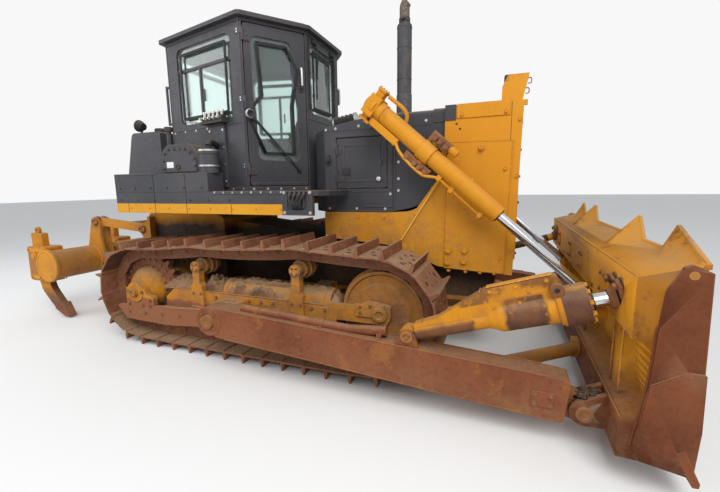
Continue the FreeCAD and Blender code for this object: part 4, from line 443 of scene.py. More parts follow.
black_rubber = plain("black_rubber", (0.014, 0.014, 0.015), (0.028, 0.028, 0.029), roughness=0.62, scale=80)
hose_rubber = plain("hose_rubber", (0.016, 0.016, 0.017), (0.034, 0.033, 0.032), roughness=0.55, scale=120)
black_plastic = plain("black_plastic", (0.020, 0.020, 0.022), (0.035, 0.035, 0.037), roughness=0.5, scale=140)
dark_iron = plain("dark_iron", (0.045, 0.040, 0.037), (0.085, 0.072, 0.062), roughness=0.55, scale=90,
                  Metallic=0.4)
zinc = plain("zinc", (0.42, 0.41, 0.39), (0.55, 0.54, 0.51), roughness=0.38, scale=90, Metallic=0.85)
rusty_bolt = rusty("rusty_bolt", (0.14, 0.055, 0.03), (0.24, 0.11, 0.055), mud_top=0.3, mud_share=0.2)
yellow_bolt = painted("yellow_bolt", YELLOW, YELLOW_FADED, rust=0.7, dust=0.3, mud_share=0.2, streaks=0.0)
clamp_finish = rusty("clamp_finish", (0.15, 0.055, 0.024), (0.27, 0.11, 0.04), paint=YELLOW_DIRTY,
                     paint_share=0.9, mud_top=0.2, mud_share=0.5)
# Painted highlight: a yellow much brighter than the paint, for the light line that the guard's thin rod shows.
rod_yellow_painted_highlight = plain("rod_yellow_painted_highlight", (0.80, 0.44, 0.05), (0.84, 0.50, 0.10), roughness=0.5, scale=60)
grease = plain("grease", (0.006, 0.005, 0.004), (0.014, 0.010, 0.008), roughness=0.3, scale=50, bump=0.004)
white_plate = plain("white_plate", (0.62, 0.61, 0.58), (0.74, 0.73, 0.70), roughness=0.4, scale=60)
dry_mud = running_gear("dry_mud", MUD_DARK, MUD, mud_share=0.9)
straw_finish = plain("straw", (0.42, 0.33, 0.17), (0.62, 0.52, 0.32), roughness=0.8, scale=90)
silencer_metal = exhaust_metal()
seat_vinyl = vinyl()
lamp_lens = lens()

NODE_FINISHES = (
    (yellow_paint, "inner_braces left_brace lift_yokes"),
    (ripper_yellow, "ripper_mount ripper_upper_links ripper_lower_links ripper_beam ripper_barrels"),
    (rail_yellow_painted_light, "side_rails"),
    (yellow_plain, "lift_barrels"),
    (guard_yellow, "radiator_guard"),
    (tilt_finish, "tilt_cylinder"),
    (hull_finish, "hull"),
    (yellow_muddy, "final_drive_left final_drive_right cross_members belly_guard"),
    (frame_muddy, "track_frame_left track_frame_right"),
    (dark_paint, "deck fender_boxes fender_tanks fuel_tank cab roof hood grille grab_rails door_left door_right "
                 "engine_door_left engine_door_right"),
    (arm_finish, "push_arm_left push_arm_right"),
    (shank_finish, "shanks"),
    (track_steel, "track_left track_right sprocket_left sprocket_right shank_points"),
    (gear_dirty, "idler_left idler_right rollers_left rollers_right"),
    (edge_steel, "cutting_edges"),
    (blade_paint, "blade"),
    (chrome_rod, "tilt_rod lift_rods ripper_rods"),
    (pale_glass, "cab_windows door_glass_left door_glass_right"),
    (dark_iron, "engine radiator"),
    (silencer_metal, "exhaust"),
    (hose_rubber, "intake_hose"),
    (black_plastic, "controls lamps"),
    (seat_vinyl, "seat"),
)
for material, names in NODE_FINISHES:
    for name in names.split():
        NODES[name].data.materials.clear()
        NODES[name].data.materials.append(material)


# Shapes

class Shape:
    """Closed forms gathered for one piece. Places are in station millimetres."""

    def __init__(self):
        self.points = []
        self.faces = []

    def add(self, points, faces):
        start = len(self.points)
        self.points += [at(*p) for p in points]
        self.faces += [[start + i for i in face] for face in faces]
        return self

    def prism(self, low, high):
        """A solid between two outlines with the same number of points."""
        n = len(low)
        sides = [(i, (i + 1) % n, n + (i + 1) % n, n + i) for i in range(n)]
        return self.add(list(low) + list(high), sides + [tuple(range(n))[::-1], tuple(range(n, 2 * n))])

    def block(self, x0, x1, y0, y1, z0, z1):
        corners = [(x0, y0), (x1, y0), (x1, y1), (x0, y1)]
        return self.prism([(x, y, z0) for x, y in corners], [(x, y, z1) for x, y in corners])

    def side_plate(self, outline, y0, y1):
        """A plate whose outline is drawn in X and Z."""
        return self.prism([(x, y0, z) for x, z in outline], [(x, y1, z) for x, z in outline])

    def front_plate(self, outline, x0, x1):
        """A plate whose outline is drawn in Y and Z."""
        return self.prism([(x0, y, z) for y, z in outline], [(x1, y, z) for y, z in outline])

    def rings(self, rings):
        """A skin over rings of points, closed at both ends."""
        n = len(rings[0])
        faces = []
        for k in range(len(rings) - 1):
            for i in range(n):
                j = (i + 1) % n
                faces.append((k * n + i, k * n + j, (k + 1) * n + j, (k + 1) * n + i))
        last = (len(rings) - 1) * n
        return self.add([p for ring in rings for p in ring],
                        faces + [tuple(range(n))[::-1], tuple(range(last, last + n))])

    def lathe(self, profile, start, end, sides=24):
        """A round form about a line. The profile is a list of (distance from start, radius)."""
        a, b = Vector(start), Vector(end)
        along = (b - a).normalized()
        u = along.orthogonal().normalized()
        v = along.cross(u)
        turns = [2 * math.pi * i / sides for i in range(sides)]
        return self.rings([[tuple(a + along * t + (u * math.cos(w) + v * math.sin(w)) * r) for w in turns]
                           for t, r in profile])

    def rod(self, start, end, r, sides=16):
        length = (Vector(end) - Vector(start)).length
        return self.lathe([(0, r), (length, r)], start, end, sides)

    def tube(self, route, r, sides=12, steps=6):
        """A round tube along a smooth line through the route's points."""
        p = [Vector(q) for q in route]
        p = [p[0] * 2 - p[1]] + p + [p[-1] * 2 - p[-2]]
        line = []
        for i in range(1, len(p) - 2):
            for s in range(steps):
                t = s / steps
                line.append(0.5 * ((2 * p[i]) + (p[i + 1] - p[i - 1]) * t
                                   + (2 * p[i - 1] - 5 * p[i] + 4 * p[i + 1] - p[i + 2]) * t * t
                                   + (3 * p[i] - p[i - 1] - 3 * p[i + 1] + p[i + 2]) * t ** 3))
        line.append(p[-2])
        u = (line[1] - line[0]).orthogonal().normalized()
        rings = []
        for i, q in enumerate(line):
            along = (line[min(i + 1, len(line) - 1)] - line[max(i - 1, 0)]).normalized()
            u = (u - along * u.dot(along)).normalized()
            v = along.cross(u)
            rings.append([tuple(q + (u * math.cos(w) + v * math.sin(w)) * r)
                          for w in (2 * math.pi * k / sides for k in range(sides))])
        return self.rings(rings)

    def blocks(self, rows):
        """Blocks, each given by its reach in X, Y and Z."""
        for reach in rows:
            self.block(*reach)

    def flipped(self):
        """The same forms again on the machine's other side."""
        n = len(self.points)
        self.points += [mirrored(p) for p in self.points]
        self.faces += [[n + i for i in reversed(face)] for face in self.faces]
        return self

    def move_left(self):
        """Takes forms drawn on the machine's right to its left."""
        self.points = [mirrored(p) for p in self.points]


def mirrored(p):
    """A place or direction on the machine's other side."""
    return Vector((p[0], -p[1], p[2]))


def riding(obj, body):
    """Puts a piece on its body."""
    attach(obj, body)
    return obj


def linked(name, data):
    """A new object in the scene."""
    obj = bpy.data.objects.new(name, data)
    bpy.context.scene.collection.objects.link(obj)
    return obj


def closed_mesh(name, shape, rounding=0.0):
    """A shape as a mesh whose faces point outward, with its edges rounded if asked."""
    mesh = bpy.data.meshes.new(name)
    mesh.from_pydata([tuple(p) for p in shape.points], [], shape.faces)
    work = bmesh.new()
    work.from_mesh(mesh)
    bmesh.ops.recalc_face_normals(work, faces=work.faces)
    if rounding:
        bmesh.ops.bevel(work, geom=work.edges[:], offset=rounding, segments=3, affect="EDGES", profile=0.5)
    work.to_mesh(mesh)
    work.free()
    return mesh


def smoothed(mesh, degrees):
    """Shades a mesh smooth, up to an angle between its faces."""
    mesh.polygons.foreach_set("use_smooth", [True] * len(mesh.polygons))
    mesh.set_sharp_from_angle(angle=math.radians(degrees))


def keep_modified(obj):
    """Turns an object's modifiers into its mesh."""
    made = with_modifiers(obj)
    obj.modifiers.clear()
    obj.data = made


def with_modifiers(obj):
    """A plain mesh of what an object's modifiers make of it."""
    bpy.context.view_layer.update()
    return bpy.data.meshes.new_from_object(obj.evaluated_get(bpy.context.evaluated_depsgraph_get()))


def piece(name, shape, material, body="machine", bevel=0.0, smooth=35):
    """Makes a shape an object that rides on a body."""
    mesh = closed_mesh(name, shape)
    smoothed(mesh, smooth)
    mesh.materials.append(material)
    obj = linked(name, mesh)
    if bevel:
        rounding = obj.modifiers.new("rounded_edges", "BEVEL")
        rounding.width = bevel / 1000
        rounding.segments = 2
        rounding.limit_method = "ANGLE"
        rounding.angle_limit = math.radians(40)
    return riding(obj, body)


def ring_outline(centre, r, n, start=0.0):
    """Points round a circle in X and Z."""
    turns = (start + 2 * math.pi * i / n for i in range(n))
    return [(centre[0] + r * math.cos(a), centre[1] + r * math.sin(a)) for a in turns]


# Geometry Nodes trees

def new_tree(name, inputs):
    """A tree with a geometry in and out and the named inputs, each (name, kind, value)."""
    tree = bpy.data.node_groups.new(name, "GeometryNodeTree")
    face = tree.interface
    face.new_socket("Geometry", in_out="INPUT", socket_type="NodeSocketGeometry")
    for label, kind, value in inputs:
        socket = face.new_socket(label, in_out="INPUT", socket_type="NodeSocket" + kind)
        if value is not None:
            socket.default_value = value
    face.new_socket("Geometry", in_out="OUTPUT", socket_type="NodeSocketGeometry")
    return tree, tree.nodes.new("NodeGroupInput"), tree.nodes.new("NodeGroupOutput")


def tree_step(tree, kind, links, values=(), **settings):
    """One node of a tree, with its linked inputs, its fixed inputs and its settings."""
    node = tree.nodes.new(kind)
    for key, value in settings.items():
        setattr(node, key, value)
    for key, value in values:
        node.inputs[key].default_value = value
    for key, socket in links:
        tree.links.new(socket, node.inputs[key])
    return node


def sent_out(tree, given, result, placed):
    """Ends a tree: its instances made real, in the given finish."""
    real = tree_step(tree, "GeometryNodeRealizeInstances", [("Geometry", placed.outputs[0])])
    dressed = tree_step(tree, "GeometryNodeSetMaterial", [("Geometry", real.outputs[0]),
                                                         ("Material", given.outputs["Finish"])])
    tree.links.new(dressed.outputs[0], result.inputs[0])
    return tree


WASHER_WIDTH = 1.45  # a washer's radius against its head's
FULL_TURN = 6.283


def fastener_tree():
    """A washer and a hexagon head on every point, along the point's own direction."""
    tree, given, result = new_tree("fasteners", [("Radius", "Float", 0.012), ("Head", "Float", 0.010),
                                                 ("Washer", "Float", 0.003), ("Seed", "Int", 3),
                                                 ("Finish", "Material", None)])
    g = given.outputs
    head = tree_step(tree, "GeometryNodeMeshCylinder", [("Radius", g["Radius"]), ("Depth", g["Head"])],
                     [("Vertices", 6)])
    half = tree_step(tree, "ShaderNodeMath", [(0, g["Head"])], [(1, 0.5)], operation="MULTIPLY")
    lift = tree_step(tree, "ShaderNodeMath", [(0, half.outputs[0]), (1, g["Washer"])], operation="ADD")
    offset = tree_step(tree, "ShaderNodeCombineXYZ", [("Z", lift.outputs[0])])
    raised = tree_step(tree, "GeometryNodeTransform", [("Geometry", head.outputs["Mesh"]),
                                                       ("Translation", offset.outputs[0])])
    wide = tree_step(tree, "ShaderNodeMath", [(0, g["Radius"])], [(1, WASHER_WIDTH)], operation="MULTIPLY")
    washer = tree_step(tree, "GeometryNodeMeshCylinder", [("Radius", wide.outputs[0]),
                                                          ("Depth", g["Washer"])],
                       [("Vertices", 14)])
    both = tree_step(tree, "GeometryNodeJoinGeometry", [])
    tree.links.new(raised.outputs[0], both.inputs[0])
    tree.links.new(washer.outputs["Mesh"], both.inputs[0])
    direction = tree_step(tree, "GeometryNodeInputNamedAttribute", [], [("Name", "direction")],
                          data_type="FLOAT_VECTOR")
    turned = tree_step(tree, "FunctionNodeAlignRotationToVector",
                       [("Vector", direction.outputs["Attribute"])], axis="Z")
    spin = tree_step(tree, "FunctionNodeRandomValue", [("Seed", g["Seed"])], data_type="FLOAT")
    spin_vector = tree_step(tree, "ShaderNodeCombineXYZ", [("Z", spin.outputs[1])])
    spun = tree_step(tree, "FunctionNodeRotateRotation", [("Rotation", turned.outputs[0]),
                                                          ("Rotate By", spin_vector.outputs[0])],
                     rotation_space="LOCAL")
    placed = tree_step(tree, "GeometryNodeInstanceOnPoints", [("Points", g["Geometry"]),
                                                              ("Instance", both.outputs[0]),
                                                             ("Rotation", spun.outputs[0])])
    return sent_out(tree, given, result, placed)


def litter_tree():
    """Copies of one form strewn over faces, turned and sized at random."""
    tree, given, result = new_tree("litter", [("Form", "Object", None), ("Density", "Float", 100.0),
                                              ("Least", "Float", 0.5),
                                              ("Most", "Float", 1.2), ("Tilt", "Float", 0.3),
                                              ("Seed", "Int", 1),
                                              ("Finish", "Material", None)])
    g = given.outputs
    strewn = tree_step(tree, "GeometryNodeDistributePointsOnFaces", [("Mesh", g["Geometry"]),
                                                                     ("Density", g["Density"]),
                                                                    ("Seed", g["Seed"])])
    form = tree_step(tree, "GeometryNodeObjectInfo", [("Object", g["Form"])])
    size = tree_step(tree, "FunctionNodeRandomValue", [(2, g["Least"]), (3, g["Most"]), ("Seed", g["Seed"])],
                     data_type="FLOAT")
    down = tree_step(tree, "ShaderNodeMath", [(0, g["Tilt"])], [(1, -1.0)], operation="MULTIPLY")
    low = tree_step(tree, "ShaderNodeCombineXYZ", [("X", down.outputs[0]), ("Y", down.outputs[0])])
    high = tree_step(tree, "ShaderNodeCombineXYZ", [("X", g["Tilt"]), ("Y", g["Tilt"])], [("Z", FULL_TURN)])
    spin = tree_step(tree, "FunctionNodeRandomValue", [(0, low.outputs[0]), (1, high.outputs[0]),
                                                       ("Seed", g["Seed"])],
                     data_type="FLOAT_VECTOR")
    local = tree_step(tree, "FunctionNodeRotateRotation", [("Rotation", strewn.outputs["Rotation"]),
                                                          ("Rotate By", spin.outputs[0])],
                                                          rotation_space="LOCAL")
    placed = tree_step(tree, "GeometryNodeInstanceOnPoints", [("Points", strewn.outputs["Points"]),
                                                             ("Instance", form.outputs["Geometry"]),
                                                             ("Rotation", local.outputs[0]),
                                                             ("Scale", size.outputs[1])])
    return sent_out(tree, given, result, placed)


FASTENERS, LITTER = fastener_tree(), litter_tree()


def grown(name, base_mesh, tree, inputs, body, smooth):
    """Runs a tree on a mesh and keeps the result as a plain object on a body."""
    source = linked(name + "_source", base_mesh)
    run = source.modifiers.new("nodes", "NODES")
    run.node_group = tree
    keys = {item.name: item.identifier for item in tree.interface.items_tree if item.in_out == "INPUT"}
    for label, value in inputs.items():
        run[keys[label]] = value
    made = with_modifiers(source)
    made.name = name
    smoothed(made, smooth)
    bpy.data.objects.remove(source)
    return riding(linked(name, made), body)


def bolts(name, rows, radius=12, head=9, washer=3, material=None, body="machine", both=False):
    """Bolts at (place, direction). Both puts them on the machine's other side too."""
    if both:
        rows = rows + [(mirrored(p), mirrored(d)) for p, d in rows]
    mesh = bpy.data.meshes.new(name + "_points")
    mesh.from_pydata([tuple(at(*p)) for p, d in rows], [], [])
    layer = mesh.attributes.new("direction", "FLOAT_VECTOR", "POINT")
    layer.data.foreach_set("vector", [c for p, d in rows for c in d])
    return grown(name, mesh, FASTENERS, {"Radius": radius / 1000, "Head": head / 1000,
                                         "Washer": washer / 1000,
                                         "Seed": 3, "Finish": material or dark_iron}, body, 30)


RIGHT = (0, -1, 0)
LEFT = (0, 1, 0)
UP = (0, 0, 1)
FORWARD = (1, 0, 0)
REAR = (-1, 0, 0)


def row(start, end, count, direction):
    """Evenly spaced bolts from start to end."""
    a, b = Vector(start), Vector(end)
    return [(tuple(a + (b - a) * (i / max(1, count - 1))), direction) for i in range(count)]


def circle_row(centre, r, count, y, direction=RIGHT, start=0.0):
    """Bolts round a circle in X and Z."""
    return [((x, y, z), direction) for x, z in ring_outline(centre, r, count, start)]


# Cab

CAB_REAR, CAB_WIDE, CAB_NOSE = Vector((90, -640, 0)), Vector((1280, -900, 0)), Vector((1680, -380, 0))
CAB_NOSE_LEFT, CAB_REAR_LEFT = Vector((1680, 380, 0)), Vector((90, 640, 0))
SIDE_LENGTH = (CAB_WIDE - CAB_REAR).length
DOOR_LENGTH = (CAB_NOSE - CAB_WIDE).length


class Wall:
    """A cab wall: a runs along it, z is the height and depth goes inward."""

    def __init__(self, start, end):
        self.start = start
        self.along = (end - start).normalized()
        self.inward = Vector((-self.along.y, self.along.x, 0))
        self.outward = tuple(-self.inward)

    def at(self, a, z, depth=0.0):
        p = self.start + self.along * a + self.inward * depth
        return (p.x, p.y, z)

    def plate(self, shape, outline, d0, d1):
        return shape.prism([self.at(a, z, d0) for a, z in outline], [self.at(a, z, d1) for a, z in outline])

    def strip(self, shape, a0, a1, z0, z1, d0, d1):
        return self.plate(shape, [(a0, z0), (a1, z0), (a1, z1), (a0, z1)], d0, d1)

    def strips(self, shape, rows):
        """Strips, each given by its reach along the wall, in height and in depth."""
        for reach in rows:
            self.strip(shape, *reach)

    def band(self, shape, outline, outside, inside, d0, d1):
        """A ring that follows an outline, from outside it to inside it."""
        n = len(outline)
        wide, narrow = offset(outline, outside), offset(outline, -inside)
        rings = [[self.at(a, z, d) for a, z in line] for line, d in ((wide, d0), (narrow, d0), (narrow, d1),
                                                                     (wide, d1))]
        faces = []
        for k in range(4):
            for i in range(n):
                j = (i + 1) % n
                faces.append((k * n + i, k * n + j, (k + 1) % 4 * n + j, (k + 1) % 4 * n + i))
        return shape.add([p for ring in rings for p in ring], faces)


def rounded(corners, steps=6):
    """A closed outline through corners, each (a, z, radius), with its corners rounded."""
    line = []
    for i, (a, z, r) in enumerate(corners):
        p = Vector((a, z))
        u = (Vector(corners[i - 1][:2]) - p).normalized()
        v = (Vector(corners[(i + 1) % len(corners)][:2]) - p).normalized()
        half = u.angle(v) / 2
        if r <= 0 or abs(half - math.pi / 2) < 1e-3:
            line.append((a, z))
            continue
        reach = r / math.tan(half)
        centre = p + (u + v).normalized() * (r / math.sin(half))
        start, end = p + u * reach - centre, p + v * reach - centre
        for k in range(steps + 1):
            line.append(tuple(centre + start.slerp(end, k / steps)))
    return line


def offset(line, by):
    """A closed outline moved outward by a distance."""
    moved = []
    area = sum(a[0] * b[1] - b[0] * a[1] for a, b in zip(line, line[1:] + line[:1]))
    sign = 1 if area > 0 else -1
    for i, p in enumerate(line):
        before, after = Vector(line[i - 1]), Vector(line[(i + 1) % len(line)])
        u = (Vector(p) - before).normalized()
        v = (after - Vector(p)).normalized()
        normal = Vector((u.y + v.y, -u.x - v.x)).normalized()
        stretch = 1 / max(0.5, normal.dot(Vector((u.y, -u.x))))
        moved.append(tuple(Vector(p) + normal * (sign * by * stretch)))
    return moved


def window(a0, a1, z0, z1, r):
    """A four-sided opening with round corners."""
    return rounded([(a0, z0, r), (a1, z0, r), (a1, z1, r), (a0, z1, r)])


SIDE_WALL, DOOR_WALL = Wall(CAB_REAR, CAB_WIDE), Wall(CAB_WIDE, CAB_NOSE)
NOSE_WALL, REAR_WALL = Wall(CAB_NOSE, CAB_NOSE_LEFT), Wall(CAB_REAR_LEFT, CAB_REAR)
SIDE_WINDOW = window(190, SIDE_LENGTH - 150, 2300, 3085, 75)
REAR_WINDOW = window(170, 1110, 2330, 3060, 75)
NOSE_WINDOW = window(80, 680, 2400, 3080, 60)
DOOR_WINDOW = rounded([(118, 1900, 70), (118, 2340, 90), (92, 2500, 90), (92, 3040, 60),
                       (DOOR_LENGTH - 160, 3040, 60), (DOOR_LENGTH - 165, 2780, 60),
                       (DOOR_LENGTH - 110, 2450, 60), (DOOR_LENGTH - 95, 1900, 70)])
HINGE_HEIGHTS = (1760, 2380, 2980)
OUTER_SEAL, INNER_SEAL = (-7, 4), (51, 61)  # how deep the seals of the fixed panes lie


def window_seals():
    """Rubber profiles round the fixed panes, outside and inside."""
    seals = Shape()
    for depth in (OUTER_SEAL, INNER_SEAL):
        SIDE_WALL.band(seals, SIDE_WINDOW, 16, 13, *depth)
    seals.flipped()
    for wall, outline in ((REAR_WALL, REAR_WINDOW), (NOSE_WALL, NOSE_WINDOW)):
        for depth in (OUTER_SEAL, INNER_SEAL):
            wall.band(seals, outline, 16, 13, *depth)
    piece("window_seals", seals, black_rubber, bevel=2.5)


def window_bars():
    """The sliding window's rail and upright in each side window."""
    bars = Shape()
    end = SIDE_LENGTH - 148
    SIDE_WALL.strips(bars, ((188, end, 2846, 2876, 12, 22), (188, end, 2846, 2876, 33, 46),
                            (545, 573, 2296, 2848, 12, 22), (545, 573, 2296, 2848, 33, 46),
                            (188, end, 2296, 2316, 14, 21), (600, 622, 2520, 2640, 10, 22)))
    piece("window_bars", bars.flipped(), dark_paint, bevel=2)


def cab_seams():
    """The cover strips over the shell's welds, the lower flange and the rib above the windows."""
    strips = Shape()
    end, door_end = SIDE_LENGTH, DOOR_LENGTH
    SIDE_WALL.strips(strips, ((6, end - 6, 2252, 2262, -5, 1), (8, 22, 1602, 3176, -4, 1),
                              (end - 22, end - 4, 1602, 3176, -4, 1), (20, end - 20, 1602, 1640, -9, 1)))
    DOOR_WALL.strips(strips, ((4, door_end - 4, 1601, 1640, -9, 1), (2, door_end - 2, 3152, 3176, -7, 1)))
    SIDE_WALL.strip(strips, 2, end - 2, 3150, 3178, -8, 1)
    strips.flipped()
    NOSE_WALL.strips(strips, ((2, 758, 3150, 3178, -8, 1), (2, 758, 2330, 2342, -5, 1)))
    REAR_WALL.strips(strips, ((2, 1278, 3150, 3178, -8, 1), (2, 1278, 2252, 2262, -5, 1)))
    piece("cab_seams", strips, dark_paint, bevel=2)


def corner_post():
    """The bolted cover plate below the side window, in front of the tank, and the ledge above it."""
    post = Shape()
    SIDE_WALL.strip(post, 690, 940, 1640, 2250, -26, 1)
    SIDE_WALL.strip(post, 700, 930, 2250, 2268, -34, 1)
    piece("corner_posts", post.flipped(), dark_paint, bevel=5)
    heads = []
    for a in (712, 918):
        heads += row(SIDE_WALL.at(a, 1700, -26), SIDE_WALL.at(a, 2205, -26), 4, SIDE_WALL.outward)
    bolts("corner_post_bolts", heads, 9, 6, 2, zinc, both=True)


def valve_cluster():
    """The bank of test fittings on its ledge under the side window."""
    base = Shape()
    SIDE_WALL.strip(base, 640, 985, 2268, 2296, -86, 2)
    SIDE_WALL.strip(base, 650, 976, 2296, 2342, -70, -18)
    piece("valve_base", base, dark_iron, bevel=4)
    stems = Shape()
    for i in range(5):
        a = 676 + i * 68
        stems.rod(SIDE_WALL.at(a, 2342, -44), SIDE_WALL.at(a, 2372, -44), 15, 12)
        stems.rod(SIDE_WALL.at(a, 2372, -44), SIDE_WALL.at(a, 2392, -44), 22, 6)
        stems.rod(SIDE_WALL.at(a, 2318, -70), SIDE_WALL.at(a, 2318, -96), 17, 6)
        stems.rod(SIDE_WALL.at(a, 2318, -96), SIDE_WALL.at(a, 2318, -112), 11, 10)
    piece("valve_fittings", stems, zinc)


def cab_bolts():
    """The small bolts along the cab's foot and under its windows, and at its door posts."""
    rows = row(SIDE_WALL.at(60, 2240, 0), SIDE_WALL.at(640, 2240, 0), 4, SIDE_WALL.outward)
    rows += row(SIDE_WALL.at(60, 1621, -9), SIDE_WALL.at(SIDE_LENGTH - 60, 1621, -9), 8, SIDE_WALL.outward)
    rows += row(DOOR_WALL.at(50, 1621, -9), DOOR_WALL.at(DOOR_LENGTH - 50, 1621, -9), 5, DOOR_WALL.outward)
    for z in HINGE_HEIGHTS:
        rows += row(SIDE_WALL.at(SIDE_LENGTH - 34, z + 74, -1), SIDE_WALL.at(SIDE_LENGTH - 34, z + 98, -1), 2,
                    SIDE_WALL.outward)
    bolts("cab_bolts", rows, 8, 6, 2, zinc, both=True)
    rear = row(REAR_WALL.at(60, 2240, 0), REAR_WALL.at(1220, 2240, 0), 6, REAR_WALL.outward)
    bolts("cab_rear_bolts", rear, 8, 6, 2, zinc)


def door_fittings(side, body):
    """A door's rubber seals, trim, stay, lock, handle, grab loop and hinge bolts."""
    glazing = Shape()
    DOOR_WALL.band(glazing, DOOR_WINDOW, 15, 13, -7, 4)
    DOOR_WALL.band(glazing, DOOR_WINDOW, 15, 13, 41, 50)
    trim = Shape()
    DOOR_WALL.strip(trim, 44, DOOR_LENGTH - 44, 1668, 1682, -3, 1)
    DOOR_WALL.strip(trim, 80, DOOR_LENGTH - 60, 1700, 1860, 45, 51)
    stay = Shape()
    stay.rod(DOOR_WALL.at(86, 2288, -22), DOOR_WALL.at(330, 2024, -22), 13)
    stay.rod(DOOR_WALL.at(330, 2024, -22), DOOR_WALL.at(532, 1806, -22), 8)
    for a, z in ((86, 2288), (532, 1806)):
        stay.rod(DOOR_WALL.at(a, z, -32), DOOR_WALL.at(a, z, 1), 15)
    DOOR_WALL.strip(stay, 508, 556, 1786, 1826, -6, 1)
    lock = Shape()
    DOOR_WALL.strip(lock, DOOR_LENGTH - 92, DOOR_LENGTH - 56, 2580, 2624, -8, 1)
    handle = Shape()
    handle.tube([DOOR_WALL.at(DOOR_LENGTH - 71, 2806, -10), DOOR_WALL.at(DOOR_LENGTH - 71, 2800, -30),
                 DOOR_WALL.at(DOOR_LENGTH - 71, 2720, -36), DOOR_WALL.at(DOOR_LENGTH - 71, 2640, -36)], 13)
    grab = Shape()
    grab.tube([DOOR_WALL.at(88, 2360, 0), DOOR_WALL.at(40, 2364, -46), DOOR_WALL.at(10, 2345, -60),
               DOOR_WALL.at(6, 2310, -60), DOOR_WALL.at(34, 2290, -48), DOOR_WALL.at(88, 2294, 0)], 9)
    heads = []
    for z in HINGE_HEIGHTS:
        heads += row(DOOR_WALL.at(60, z + 14, -14), DOOR_WALL.at(60, z + 46, -14), 2, DOOR_WALL.outward)
    if side == "left":
        for shape in (glazing, trim, stay, lock, handle, grab):
            shape.move_left()
        heads = [(mirrored(p), mirrored(d)) for p, d in heads]
    piece("door_seals_" + side, glazing, black_rubber, body, 2.5)
    piece("door_trim_" + side, trim, dark_paint, body, 2)
    piece("door_stay_" + side, stay, black_plastic, body, 1)
    piece("door_lock_" + side, lock, black_plastic, body, 3)
    piece("door_handle_" + side, handle, zinc, body)
    piece("door_grab_" + side, grab, zinc, body)
    bolts("door_bolts_" + side, heads, 7, 5, 1.5, dark_iron, body)


def wipers():
    """The windscreen's wipers, parked, with their motor covers and the washer's duct."""
    arms = Shape()
    for a in (170, 590):
        arms.rod(NOSE_WALL.at(a, 3112, -6), NOSE_WALL.at(a, 3112, -30), 20)
        arms.tube([NOSE_WALL.at(a, 3112, -28), NOSE_WALL.at(a + 10, 2960, -34),
                   NOSE_WALL.at(a + 16, 2760, -24)], 7)
        NOSE_WALL.strip(arms, a + 6, a + 22, 2560, 2980, -22, -10)
        arms.tube([NOSE_WALL.at(a + 26, 3110, -26), NOSE_WALL.at(a + 34, 2960, -30),
                   NOSE_WALL.at(a + 20, 2780, -24)], 4)
    cover = Shape()
    for a in (120, 540):
        NOSE_WALL.strip(cover, a, a + 100, 3094, 3144, -18, 1)
    piece("wipers", arms, black_plastic)
    piece("wiper_covers", cover, black_plastic, bevel=8)
    lines = Shape()
    lines.tube([NOSE_WALL.at(60, 3140, -12), NOSE_WALL.at(30, 2900, -12), NOSE_WALL.at(34, 2560, -12),
                NOSE_WALL.at(60, 2430, -10)], 8)
    piece("windscreen_duct", lines, black_rubber)


def cab_inside():
    """The lining under the roof, the console tops and the lever boots."""
    lining = Shape()
    lining.prism([(130, -590, 3120), (1270, -830, 3120), (1620, -370, 3120), (1620, 370, 3120),
                  (1270, 830, 3120),
                  (130, 590, 3120)],
                 [(150, -570, 3138), (1260, -800, 3138), (1600, -350, 3138), (1600, 350, 3138),
                  (1260, 800, 3138),
                  (150, 570, 3138)])
    piece("roof_lining", lining, black_plastic, bevel=6)
    boots = Shape()
    for x, y, top in ((902, -470, 2080), (864, 470, 2080)):
        boots.lathe([(0, 46), (10, 50), (16, 40), (26, 44), (32, 34), (42, 38), (48, 26), (58, 29), (70, 17)],
                    (x, y, 2040), (x + 10, y, 2112), 20)
    piece("lever_boots", boots, black_rubber)
    dials = Shape()
    for y in (-170, -60, 50, 160):
        dials.lathe([(0, 38), (10, 38), (12, 30), (6, 28)], (1440, y, 2285), (1410, y, 2300), 20)
    piece("dials", dials, black_plastic)


window_seals()
window_bars()
cab_seams()
corner_post()
valve_cluster()
cab_bolts()
for side in ("right", "left"):
    door_fittings(side, "cab_door_" + side)
wipers()
cab_inside()


# Deck, boxes and tanks

FENDER_SIDE = -1120


def panel_strips(shape, face, out, into, rows):
    """Strips that stand out from a right-hand panel's face and reach into it, each by its reach in X and Z."""
    for x0, x1, z0, z1 in rows:
        shape.block(x0, x1, face - out, face + into, z0, z1)


def fender_seams():
    """The joints between the fender boxes' lids and panels, and the lids' folded edges."""
    seams, lids = Shape(), Shape()
    panel_strips(seams, FENDER_SIDE, 1.5, 2, [(x - 3, x + 3, 1488, 1778) for x in (281, 700)]
                 + [(x - 2, x + 2, 1392, 1484) for x in (-100, 281, 700, 1240)] + [(-270, 979, 1598, 1602)])
    for x0, x1 in ((-269, 277), (285, 320)):
        lids.block(x0, x1, FENDER_SIDE - 4, -909, 1774, 1790)
    panel_strips(lids, FENDER_SIDE, 5, 2, [(1030, 1820, 1576, 1606)])
    piece("fender_seams", seams.flipped(), black_rubber)
    piece("fender_lids", lids.flipped(), dark_paint, bevel=3)
    rows = row((-200, FENDER_SIDE, 1640), (900, FENDER_SIDE, 1640), 6, RIGHT)
    rows += row((-200, FENDER_SIDE, 1520), (1700, FENDER_SIDE, 1520), 9, RIGHT)
    bolts("fender_bolts", rows, 8, 5, 2, dark_iron, both=True)
    bolts("step_bolts", row((1060, FENDER_SIDE - 5, 1592), (1790, FENDER_SIDE - 5, 1592), 8, RIGHT), 7, 5, 2,
          zinc, both=True)
    bolts("stripe_bolts", row((-60, FENDER_SIDE, 1438), (1780, FENDER_SIDE, 1438), 8, RIGHT), 7, 4, 2,
          yellow_bolt, both=True)


